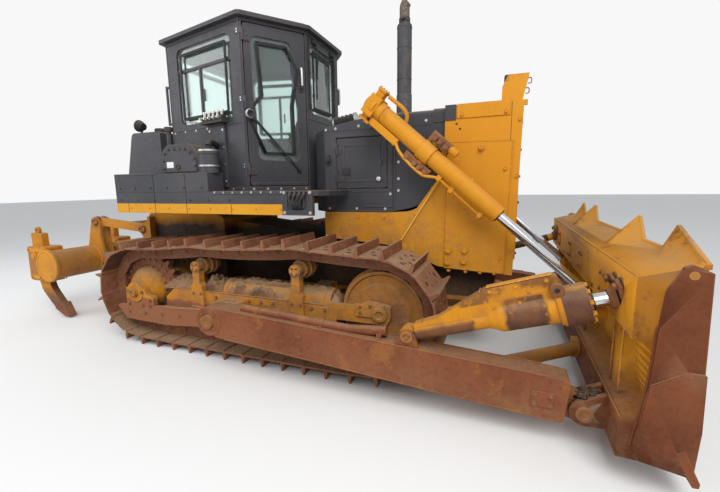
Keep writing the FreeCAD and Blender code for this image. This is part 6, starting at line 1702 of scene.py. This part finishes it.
ARM_OUTSIDE = -1530
TILT_START = Vector((3020, -1440, 585))
TILT_ALONG = (Vector((4300, -1440, 985)) - TILT_START).normalized()
TILT_OUT = Vector((-TILT_ALONG.z, 0, TILT_ALONG.x))


def tilt(t, n=0.0, y=0.0):
    """A place on the tilt cylinder: t along it, n up from its axis and y toward the machine's middle."""
    return tuple(TILT_START + TILT_ALONG * t + TILT_OUT * n + Vector((0, y, 0)))


def ring_bolts(centre, axis, r, count, start=0.0):
    """Bolts round a circle about any axis, with their heads along it."""
    axis = Vector(axis).normalized()
    u = axis.orthogonal().normalized()
    v = axis.cross(u)
    turns = [start + 2 * math.pi * i / count for i in range(count)]
    return [(tuple(Vector(centre) + (u * math.cos(w) + v * math.sin(w)) * r), tuple(axis)) for w in turns]


def notched_blade():
    """The blade with its spill plate cut down between the horns and the end wings, where it stands open."""
    work = bmesh.new()
    work.from_mesh(NODES["blade"].data)
    bmesh.ops.remove_doubles(work, verts=work.verts, dist=0.00002)
    mesh = bpy.data.meshes.new("blade_notched")
    work.to_mesh(mesh)
    work.free()
    obj = linked("blade_notched", mesh)
    notches = Shape()
    for outline in ([(-584, 1251), (584, 1251), (722, 1416), (-722, 1416)],
                    [(856, 1251), (1206, 1251), (1388, 1406), (718, 1416)],
                    [(-1206, 1251), (-856, 1251), (-718, 1416), (-1388, 1406)]):
        notches.front_plate(outline, 4515, 4560)
    cutter = linked("notches", closed_mesh("notches", notches))
    cut = obj.modifiers.new("notches", "BOOLEAN")
    cut.operation = "DIFFERENCE"
    cut.solver = "EXACT"
    cut.object = cutter
    keep_modified(obj)
    bpy.data.objects.remove(cutter)
    smoothed(obj.data, 30)
    obj.data.materials.clear()
    obj.data.materials.append(blade_paint)
    riding(obj, "blade")
    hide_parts("blade")


def tilt_cylinder_details():
    """The tilt cylinder's bolted gland, wiper, cover ribs, eye and bolts."""
    gland, wiper, cover = Shape(), Shape(), Shape()
    gland.lathe([(0, 66), (0, 96), (12, 92), (16, 60), (16, 46)], tilt(1150), tilt(1166), 36)
    wiper.lathe([(0, 44.5), (0, 58), (14, 56), (18, 44.5)], tilt(1164), tilt(1182), 30)
    along_cover = ((120, 76), (330, 122), (560, 205), (800, 213))
    for t, n in along_cover:
        cover.tube([tilt(t, n, -46), tilt(t, n + 1, 0), tilt(t, n, 46)], 3.5, 6, 2)
    cover.prism([tilt(600, 214, -30), tilt(1000, 214, -30), tilt(1000, 214, 30), tilt(600, 214, 30)],
                [tilt(606, 222, -26), tilt(994, 222, -26), tilt(994, 222, 26), tilt(606, 222, 26)])
    piece("tilt_gland", gland, gear_dirty, "blade", 2)
    piece("tilt_wiper", wiper, black_rubber, "blade")
    piece("tilt_cover_ribs", cover, yellow_paint, "blade")
    bolts("tilt_gland_bolts", ring_bolts(tilt(1150), TILT_ALONG, 108, 10, 0.2), 15, 14, 4, yellow_bolt,
          "blade")
    eye, shade = Shape(), Shape()
    eye.lathe([(0, 8), (0, 38), (4, 42), (44, 42), (48, 38), (48, 8)], tilt(1000, 128, -92),
              tilt(1000, 128, -44), 28)
    # Painted shade: a thin black disc over the eye's bore stands for its shadowed inside.
    shade.lathe([(0, 1), (0, 15), (4, 15), (4, 1)], tilt(1000, 128, -94), tilt(1000, 128, -90), 20)
    piece("tilt_eye", eye, clamp_finish, "blade")
    piece("tilt_eye_hole", shade, black_rubber, "blade")
    side = [(tilt(t, 190, -45), RIGHT) for t in (620, 780, 960)] + [(tilt(t, 84, -45), RIGHT)
                                                                    for t in (620, 780)]
    bolts("tilt_cover_bolts", side, 9, 7, 2, yellow_bolt, "blade")


def pin_caps():
    """Round retainers on the ends of the arms', tilt cylinder's and brace's pins."""
    caps = Shape()
    for x, z, y, r in ((3020, 585, -1524, 44), (4130, 250, -1540, 50)):
        caps.lathe([(0, r), (6, r), (8, r - 6), (8, r * 0.55), (3, r * 0.5)], (x, y, z), (x, y - 8, z), 28)
    caps.lathe([(0, 62), (8, 62), (10, 54), (10, 30), (4, 26)], (1250, -1550, 485), (1250, -1560, 485), 30)
    caps.flipped()
    piece("pin_caps", caps, gear_dirty, "blade", 1)
    heads = circle_row((1250, 485), 84, 4, ARM_OUTSIDE, start=0.8)
    heads += circle_row((3020, 585), 24, 3, ARM_OUTSIDE, start=0.4)
    bolts("pin_cap_bolts", heads, 9, 7, 2, rusty_bolt, "blade", both=True)


def arm_details():
    """Welds along the arms, the joint of the socket, wear strips and the hose guard's clamps."""
    weld, strips = Shape(), Shape()
    for y in (ARM_OUTSIDE + 2, -1352):
        weld.tube([(1420, y, 606), (2200, y, 559), (3000, y, 511), (3900, y, 456)], 6, 8, 3)
        weld.tube([(1420, y, 344), (2200, y, 290), (3000, y, 232), (3980, y, 165)], 6, 8, 3)
    weld.tube(ring_route((1250, 485), 128, -1530, -60, 75), 6, 8, 1)
    for x in (1700, 2300, 2780):
        z = 612 - 0.0604 * (x - 1300) + 16
        strips.lathe([(0, 36), (0, 41), (36, 41), (36, 36)], (x, -1440, z), (x + 36, -1440, z - 2), 24)
        strips.block(x, x + 36, -1496, -1384, z - 18, z - 10)
    strips.block(3830, 3960, ARM_OUTSIDE - 8, ARM_OUTSIDE + 2, 250, 350)
    weld.flipped()
    piece("arm_welds", weld, arm_finish, "blade")
    piece("hose_guard_clamps", strips, arm_finish, "blade", 2)
    heads = [((3895 + a, ARM_OUTSIDE - 8, 300 + b), RIGHT) for a in (-46, 46) for b in (-32, 32)]
    heads += [((x, ARM_OUTSIDE, z), RIGHT) for x, z in ((2160, 470), (2160, 330))]
    bolts("arm_bolts", heads, 12, 9, 3, rusty_bolt, "blade")


def ring_route(centre, r, y, first, last, steps=14):
    """An arc in X and Z, from one angle in degrees to another."""
    turns = (math.radians(first + (last - first) * i / steps) for i in range(steps + 1))
    return [(centre[0] + r * math.cos(a), y, centre[1] + r * math.sin(a)) for a in turns]


def ball_caps():
    """The four-bolt clamp over each brace's ball, its neck, and the grease that has run out of it."""
    plates, necks, smear = Shape(), Shape(), Shape()
    corners, outline = [], []
    for k in range(4):
        a = math.pi * (k + 0.5) / 2
        corners.append((132 * math.cos(a), 132 * math.sin(a)))
        for turn, share in ((-0.34, 0.93), (-0.17, 1), (0.17, 1), (0.34, 0.93)):
            outline.append((158 * math.cos(a + turn) * share, 158 * math.sin(a + turn) * share))
        middle = math.pi * (k + 1) / 2
        outline.append((112 * math.cos(middle), 112 * math.sin(middle)))
    for t0, t1, grow in ((1300, 1322, 0.96), (1326, 1346, 1.0)):
        plates.prism([tilt(t0, n * grow, y * grow) for y, n in outline],
                     [tilt(t1, n * grow, y * grow) for y, n in outline])
    necks.lathe([(0, 47), (6, 58), (30, 66), (44, 82), (52, 88)], tilt(1252), tilt(1304), 28)
    smear.lathe([(0, 90), (4, 98), (9, 90)], tilt(1293), tilt(1302), 28)
    for shape in (plates, necks, smear):
        shape.flipped()
    piece("ball_clamps", plates, clamp_finish, "blade", 5)
    piece("ball_necks", necks, clamp_finish, "blade")
    piece("ball_grease", smear, grease, "blade")
    heads = [(tilt(1300, n, y), tuple(-TILT_ALONG)) for y, n in corners]
    bolts("ball_bolts", heads, 21, 18, 5, clamp_finish, "blade", both=True)


def clevis_grease():
    """Black grease squeezed out on top of the arm pins' eyes."""
    shape = Shape()
    for side in (-1, 1):
        for k, (x, y, z, r) in enumerate(((4120, -1470, 338, 46), (4165, -1440, 344, 56),
                                          (4205, -1416, 352, 44),
                                          (4140, -1400, 336, 34), (4190, -1480, 348, 34))):
            rings = []
            for h, w in ((-14, 0.9), (-2, 1.0), (10, 0.72), (17, 0.3)):
                rings.append([(x + r * w * (1 + 0.2 * math.sin(3 * i + k)) * math.cos(i * math.pi / 8),
                               side * -1 * (y + r * w * (1 + 0.16 * math.sin(5 * i
                                                                             + k)) * math.sin(i * math.pi / 8)),
                               z + h + 4 * math.sin(2 * i + k)) for i in range(16)])
            shape.rings(rings)
    piece("clevis_grease", shape, grease, "blade", smooth=80)


def blade_details():
    """Plough bolts along the cutting edge, welds and pads behind, and the hole in each end plate."""
    slope = math.radians(65)
    ahead = (math.sin(slope), 0, math.cos(slope))
    low = Vector((4590, 0, 132))
    heads = []
    for y in [-1300 + 2600 * i / 13 for i in range(14)]:
        heads += [(tuple(low + Vector((-math.cos(slope) * a, y, math.sin(slope) * a))), ahead)
                  for a in (60, 120)]
    for y in (-1750, -1640, -1530, 1530, 1640, 1750):
        heads += [(tuple(low + Vector((-math.cos(slope) * a + 7, y, math.sin(slope) * a + 3))), ahead)
                  for a in (60, 140)]
    bolts("edge_bolts", heads, 19, 3, 1, edge_steel, "blade")
    holes, welds = Shape(), Shape()
    for side in (-1, 1):
        holes.rod((4471, side * 1766, 1199), (4471, side * 1801, 1199), 21, 20)
        welds.tube([(4296, side * 1776, 262), (4344, side * 1776, 620), (4360, side * 1776, 926)], 7, 8, 3)
        welds.tube([(4350, side * 1802, 618), (4492, side * 1802, 712), (4560, side * 1802, 712)], 6, 8, 1)
    for z, x in ((1172, 4260), (852, 4264), (404, 4244), (176, 4244)):
        welds.tube([(x, -1760, z), (x, -880, z), (x, 0, z), (x, 880, z), (x, 1760, z)], 6, 8, 2)
    for y in (-1530, -1350, -500, -440, 440, 500, 1350, 1530):
        welds.tube([(4288, y, 402), (4288, y, 560), (4288, y, 700), (4288, y, 842)], 6, 8, 2)
    piece("end_plate_holes", holes, yellow_muddy, "blade")
    piece("blade_welds", welds, blade_paint, "blade")
    pads = Shape()
    for y in (-1100, -300, 300, 1100):
        pads.block(4253, 4262, y - 70, y + 70, 900, 1060)
        pads.block(4240, 4247, y - 90, y + 90, 220, 350)
    piece("blade_pads", pads, blade_paint, "blade", 3)
    corners = []
    for y in (-1100, -300, 300, 1100):
        corners += [((4253, y + a, z), REAR) for a in (-50, 50) for z in (925, 1035)]
    bolts("blade_pad_bolts", corners, 11, 8, 3, rusty_bolt, "blade")


def brace_details():
    """The left brace's lock nut and screw thread, and the inner braces' collars."""
    nut, thread, collars = Shape(), Shape(), Shape()
    nut.lathe([(0, 74), (60, 74)], tilt(655, 0, 2880), tilt(715, 0, 2880), 6)
    thread.lathe([(3.2 * i, 44 if i % 2 else 47.5) for i in range(150)], tilt(720, 0, 2880),
                 tilt(1200, 0, 2880), 20)
    for side in (-1, 1):
        a, b = Vector((3440, side * 1346, 329)), Vector((4256, side * 560, 290))
        along = (b - a).normalized()
        for share in (0.06, 0.93):
            c = a.lerp(b, share)
            collars.lathe([(0, 52), (0, 60), (30, 60), (30, 52)], c, c + along * 30, 28)
    piece("brace_nut", nut, yellow_bolt, "blade", 3)
    piece("brace_thread", thread, dark_iron, "blade")
    piece("brace_collars", collars, yellow_paint, "blade", 2)


notched_blade()
tilt_cylinder_details()
pin_caps()
arm_details()
ball_caps()
clevis_grease()
blade_details()
brace_details()


# Ripper

POCKETS = (-955, 0, 955)


def ripper_details():
    """Pin retainers with their bolts, and grease, at the ripper's link pins."""
    links = (("machine", -560, 560), ("machine", -680, 1130), ("ripper", -1430, 635), ("ripper", -1550, 1205))
    for body in ("machine", "ripper"):
        caps, smears, heads = Shape(), Shape(), []
        for owner, x, z in links:
            if owner != body:
                continue
            for y, out in ((-534, -1), (-366, 1)):
                caps.lathe([(0, 52), (10, 52), (13, 46), (13, 20), (6, 16)], (x, y, z), (x, y + 13 * out, z),
                           28)
                heads += [((x + 34 * math.cos(a), y + 12 * out, z + 34 * math.sin(a)), (0, out, 0))
                          for a in (0.9, 3.0, 5.1)]
            for y in (-493, -413):
                smears.lathe([(0, 67), (3, 74), (6, 67)], (x, y, z), (x, y + 6, z), 24)
        for shape in (caps, smears):
            shape.flipped()
        piece("ripper_pin_caps_" + body, caps, gear_dirty, body, 1)
        piece("ripper_grease_" + body, smears, grease, body)
        bolts("ripper_cap_bolts_" + body, heads, 9, 6, 2, rusty_bolt, body, both=True)


def beam_details():
    """The beam's end covers, the pockets' plates and pins, and the welds round the lugs."""
    covers, plates, welds, pins = Shape(), Shape(), Shape(), Shape()
    covers.lathe([(0, 204), (9, 202), (12, 196), (12, 178), (7, 172), (7, 2)], (-1700, -1084, 694),
                 (-1700, -1096, 694), 48)
    for y in POCKETS:
        for side in (-1, 1):
            face = y + side * 90
            plates.block(-2128, -1770, min(face, face + side * 9), max(face, face + side * 9), 850, 905)
            plates.block(-2128, -1900, min(face, face + side * 9), max(face, face + side * 9), 500, 548)
            pins.lathe([(0, 46), (10, 46), (14, 40), (14, 26), (26, 26), (28, 8)], (-2000, face, 800),
                       (-2000, face + side * 28, 800), 26)
        for by in (-1, 1):
            welds.tube([(-1742, y + 92 * by, 480), (-1742, y + 94 * by, 700), (-1742, y + 92 * by, 922)], 7,
                       8, 3)
    for y in (-525, -375, 375, 525):
        welds.tube([(-1560 + 186 * math.cos(a) - 140, y, 694 + 190 * math.sin(a))
                    for a in (math.radians(d) for d in range(-40, 90, 20))], 7, 8, 2)
    covers.flipped()
    piece("beam_covers", covers, yellow_paint, "ripper", 2)
    piece("pocket_plates", plates, yellow_paint, "ripper", 3)
    piece("pocket_pins", pins, yellow_bolt, "ripper", 2)
    piece("ripper_welds", welds, yellow_paint, "ripper")
    small = []
    for y in POCKETS:
        for side in (-1, 1):
            face = y + side * 99
            small += [((x, face, z), (0, side, 0)) for x, z in ((-2100, 878), (-1800, 878), (-2100, 524),
                                                                (-1930, 524))]
    bolts("pocket_bolts", small, 12, 9, 3, yellow_bolt, "ripper")


def shank_details():
    """The pins that hold the points, and wear strips on the shanks."""
    pins, strips = Shape(), Shape()
    for y in POCKETS:
        pins.rod((-1770, y - 50, 150), (-1770, y + 50, 150), 15, 14)
        pins.rod((-1720, y - 50, 118), (-1720, y + 50, 118), 11, 14)
        strips.prism([(-1896, y - 30, 420), (-1896, y + 30, 420), (-1812, y + 30, 250), (-1812, y - 30, 250)],
                     [(-1882, y - 30, 424), (-1882, y + 30, 424), (-1800, y + 30, 258), (-1800, y - 30, 258)])
    piece("point_pins", pins, rusty_bolt, "ripper")
    piece("shank_strips", strips, gear_dirty, "ripper", 2)


def ripper_cylinder_details():
    """Gland rings and ports on the ripper cylinders, and their root pins' caps."""
    start, end = Vector((-545, -250, 1000)), Vector((-1400, -250, 770))
    along = (end - start).normalized()
    rings, caps = Shape(), Shape()
    rings.lathe([(0, 68), (0, 76), (36, 76), (36, 68)], start + along * 552, start + along * 588, 30)
    for t in (130, 510):
        a = start + along * t + Vector((0, 0, 52))
        rings.lathe([(0, 17), (28, 17), (30, 13), (40, 13)], a, a + Vector((0, 0, 40)), 6)
    for y in (-320, -180):
        side = -1 if y < -250 else 1
        caps.lathe([(0, 38), (8, 38), (10, 32), (10, 6)], (-545, y, 1000), (-545, y + 10 * side, 1000), 22)
    for shape in (rings, caps):
        shape.flipped()
    piece("ripper_cylinder_rings", rings, yellow_bolt, "ripper_barrels", 2)
    piece("ripper_root_caps", caps, gear_dirty, "machine", 1)


ripper_details()
beam_details()
shank_details()
ripper_cylinder_details()


# Driver's seat

VOXEL, CORNER = 0.006, 0.022


def pad(name, outline, half, pull, crown_axis, cap, channels):
    """A cushion grown from a side outline and blown up by cloth, with its sides pulled in and its channels sewn."""
    obj = linked(name, closed_mesh(name + "_start", Shape().side_plate(outline, -half, half), CORNER))
    skin = obj.modifiers.new("skin", "REMESH")
    skin.mode = "VOXEL"
    skin.voxel_size = VOXEL
    keep_modified(obj)
    low = Vector([min(v.co[k] for v in obj.data.vertices) for k in range(3)])
    high = Vector([max(v.co[k] for v in obj.data.vertices) for k in range(3)])
    long_axis = 2 if crown_axis == 0 else 0
    for vertex in obj.data.vertices:
        u, v = ((2 * vertex.co[k] - low[k] - high[k]) / (high[k] - low[k]) for k in (long_axis, 1))
        vertex.co[1] -= math.copysign(pull * (1 - u * u) * v * v, v)
        vertex.co[long_axis] -= math.copysign(pull * (1 - v * v) * u * u, u)
    blown_up(obj, cap)
    sew(obj, crown_axis, channels)
    obj.data.polygons.foreach_set("use_smooth", [True] * len(obj.data.polygons))
    obj.data.materials.append(seat_vinyl)
    finer = obj.modifiers.new("finer", "SUBSURF")
    finer.levels = finer.render_levels = 1
    keep_modified(obj)
    riding(obj, "machine")
    return obj


def blown_up(obj, cap):
    """Swells a pad with pressure, without weight, and holds every point within a distance of where it was."""
    before = [v.co.copy() for v in obj.data.vertices]
    cloth = obj.modifiers.new("cloth", "CLOTH")
    cloth.settings.use_pressure = True
    cloth.settings.uniform_pressure_force = 4
    cloth.settings.effector_weights.gravity = 0
    scene = bpy.context.scene
    for step in range(1, 21):
        scene.frame_set(step)
    keep_modified(obj)
    scene.frame_set(1)
    for vertex, start in zip(obj.data.vertices, before):
        moved = vertex.co - start
        if moved.length > cap:
            vertex.co = start + moved * (cap / moved.length)


def sew(obj, axis, channels):
    """Presses sewn channels into a pad's face: each is (axis across it, its place in metres, depth in metres)."""
    normals = [v.normal.copy() for v in obj.data.vertices]
    for vertex, normal in zip(obj.data.vertices, normals):
        facing = normal.x if axis == 0 else normal.z
        if facing < 0.35:
            continue
        deepest = 0.0
        for across, place, depth in channels:
            deepest = max(deepest, depth * math.exp(-((vertex.co[across] - place) / 0.011) ** 2))
        vertex.co[axis] -= deepest


def seat_pads():
    """The seat's cushion, back and arm rests."""
    cushion = pad("seat_cushion", [(508, 1872), (962, 1872), (968, 1962), (900, 1974), (508, 1954)], 238,
                  0.007, 2, 0.022,
                  [(1, -0.135, 0.012), (1, 0.135, 0.012), (0, -0.45, 0.011), (0, -0.56, 0.008)])
    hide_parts("seat")
    back = pad("seat_back", [(424, 1925), (494, 1985), (434, 2535), (356, 2535)], 228, 0.007, 0, 0.022,
               [(1, -0.13, 0.012), (1, 0.13, 0.012), (2, 2.16, 0.010), (2, 2.38, 0.010)])
    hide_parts("seat")
    arm_rest("right", -1)
    arm_rest("left", 1)


def arm_rest(name, side):
    """A narrow padded rest on its steel arm."""
    ends = Shape().rings([[(x, side * 289 + w * math.cos(a), 2160 + h * math.sin(a))
                           for a in (2 * math.pi * i / 16 for i in range(16))]
                          for x, w, h in ((438, 18, 14), (446, 32, 24), (470, 38, 28), (620, 40, 30),
                                          (760, 38, 28),
                                          (786, 30, 24), (796, 14, 12))])
    obj = piece("seat_rest_" + name, ends, seat_vinyl, smooth=80)
    finer = obj.modifiers.new("finer", "SUBSURF")
    finer.levels = finer.render_levels = 2


def seat_frame():
    """The seat's bellows, rails, arms, back shell and sewn seams."""
    base, metal, seams = Shape(), Shape(), Shape()
    for z in range(1640, 1800, 32):
        narrow, wide = ([(x0, -y, z), (x1, -y, z), (x1, y, z), (x0, y, z)]
                        for x0, x1, y in ((578, 882, 162), (570, 890, 170)))
        base.prism(narrow, [(x, y, z + 16) for x, y, z in wide])
        base.prism([(x, y, z + 16) for x, y, z in wide], [(x, y, z + 31) for x, y, z in narrow])
    for y in (-150, 150):
        metal.block(540, 930, y - 16, y + 16, 1800, 1832)
    metal.block(500, 960, -225, 225, 1832, 1862)
    for y in (-262, 262):
        side = math.copysign(1, y)
        metal.tube([(520, y - 14 * side, 1850), (440, y, 1930), (420, y, 2080), (470, y + 12 * side, 2140)],
                   11)
    metal.prism([(404, -215, 1900), (404, 215, 1900), (330, 215, 2540), (330, -215, 2540)],
                [(420, -220, 1905), (420, 220, 1905), (352, 220, 2545), (352, -220, 2545)])
    for y in (-239, 239):
        seams.tube([(510, y, 1913), (740, y - math.copysign(6, y), 1919), (966, y, 1920)], 4, 8)
        seams.tube([(430, y * 0.96, 1940), (424, y * 0.94, 2240), (394, y * 0.96, 2530)], 4, 8)
    piece("seat_bellows", base, black_rubber)
    piece("seat_frame", metal, dark_iron, bevel=2)
    piece("seat_seams", seams, black_rubber)


seat_pads()
seat_frame()


# Camera, floor and light

SENSOR = 36


def camera(place, yaw, pitch, roll, focal_pixels, image_width=720):
    """A camera at a station place, turned by its yaw, pitch and roll in degrees."""
    yaw, pitch, roll = (math.radians(a) for a in (yaw, pitch, roll))
    ahead = Vector((-math.sin(yaw) * math.cos(pitch), math.cos(yaw) * math.cos(pitch), -math.sin(pitch)))
    level = Vector((math.cos(yaw), math.sin(yaw), 0))
    upright = level.cross(ahead)
    right = level * math.cos(roll) + upright * math.sin(roll)
    up = upright * math.cos(roll) - level * math.sin(roll)
    data = bpy.data.cameras.new("camera")
    data.sensor_width = SENSOR
    data.lens = focal_pixels * SENSOR / image_width
    obj = linked("camera", data)
    obj.matrix_world = Matrix((right, up, -ahead)).transposed().to_4x4()
    obj.location = at(*place)
    bpy.context.scene.camera = obj


def floor():
    """A wide pale floor."""
    mesh = bpy.data.meshes.new("floor")
    half = 60
    mesh.from_pydata([(-half, -half, 0), (half, -half, 0), (half, half, 0), (-half, half, 0)], [],
                     [(0, 1, 2, 3)])
    mesh.materials.append(Finish("floor_pale").done((0.80, 0.80, 0.79), 0.9))
    linked("floor", mesh)


def soft_lamp(name, place, aim, size, power):
    """A wide square lamp, aimed at a place."""
    data = bpy.data.lights.new(name, "AREA")
    data.shape = "SQUARE"
    data.size = size
    data.energy = power
    obj = linked(name, data)
    obj.location = place
    obj.rotation_euler = (Vector(aim) - Vector(place)).to_track_quat("-Z", "Y").to_euler()


def sky():
    """A pale sky, white where the camera sees it, directly, in gloss and through glass."""
    world = bpy.data.worlds.new("studio")
    world.use_nodes = True
    nodes, links = world.node_tree.nodes, world.node_tree.links
    nodes.clear()
    output = nodes.new("ShaderNodeOutputWorld")
    lit, seen, mixed = nodes.new("ShaderNodeBackground"), nodes.new("ShaderNodeBackground"), nodes.new("ShaderNodeMixShader")
    path = nodes.new("ShaderNodeLightPath")
    lit.inputs["Color"].default_value = (0.93, 0.96, 1.0, 1)
    lit.inputs["Strength"].default_value = 0.62
    seen.inputs["Color"].default_value = (0.94, 0.94, 0.94, 1)
    seen_ray = path.outputs["Is Camera Ray"]
    for kind in ("Is Glossy Ray", "Is Transmission Ray"):
        either = nodes.new("ShaderNodeMath")
        either.operation = "MAXIMUM"
        links.new(seen_ray, either.inputs[0])
        links.new(path.outputs[kind], either.inputs[1])
        seen_ray = either.outputs[0]
    links.new(seen_ray, mixed.inputs[0])
    links.new(lit.outputs[0], mixed.inputs[1])
    links.new(seen.outputs[0], mixed.inputs[2])
    links.new(mixed.outputs[0], output.inputs["Surface"])
    bpy.context.scene.world = world


bpy.context.scene.view_settings.view_transform = "Standard"
camera(place=(3626, -3963, 1635), yaw=21.20, pitch=9.07, roll=-0.74, focal_pixels=374.7)
floor()
sky()
soft_lamp("key", place=(4.5, -7.5, 8.5), aim=(0, 0, 1.2), size=7, power=900)
soft_lamp("fill", place=(-7, -5, 5), aim=(0, 0, 1), size=6, power=260)
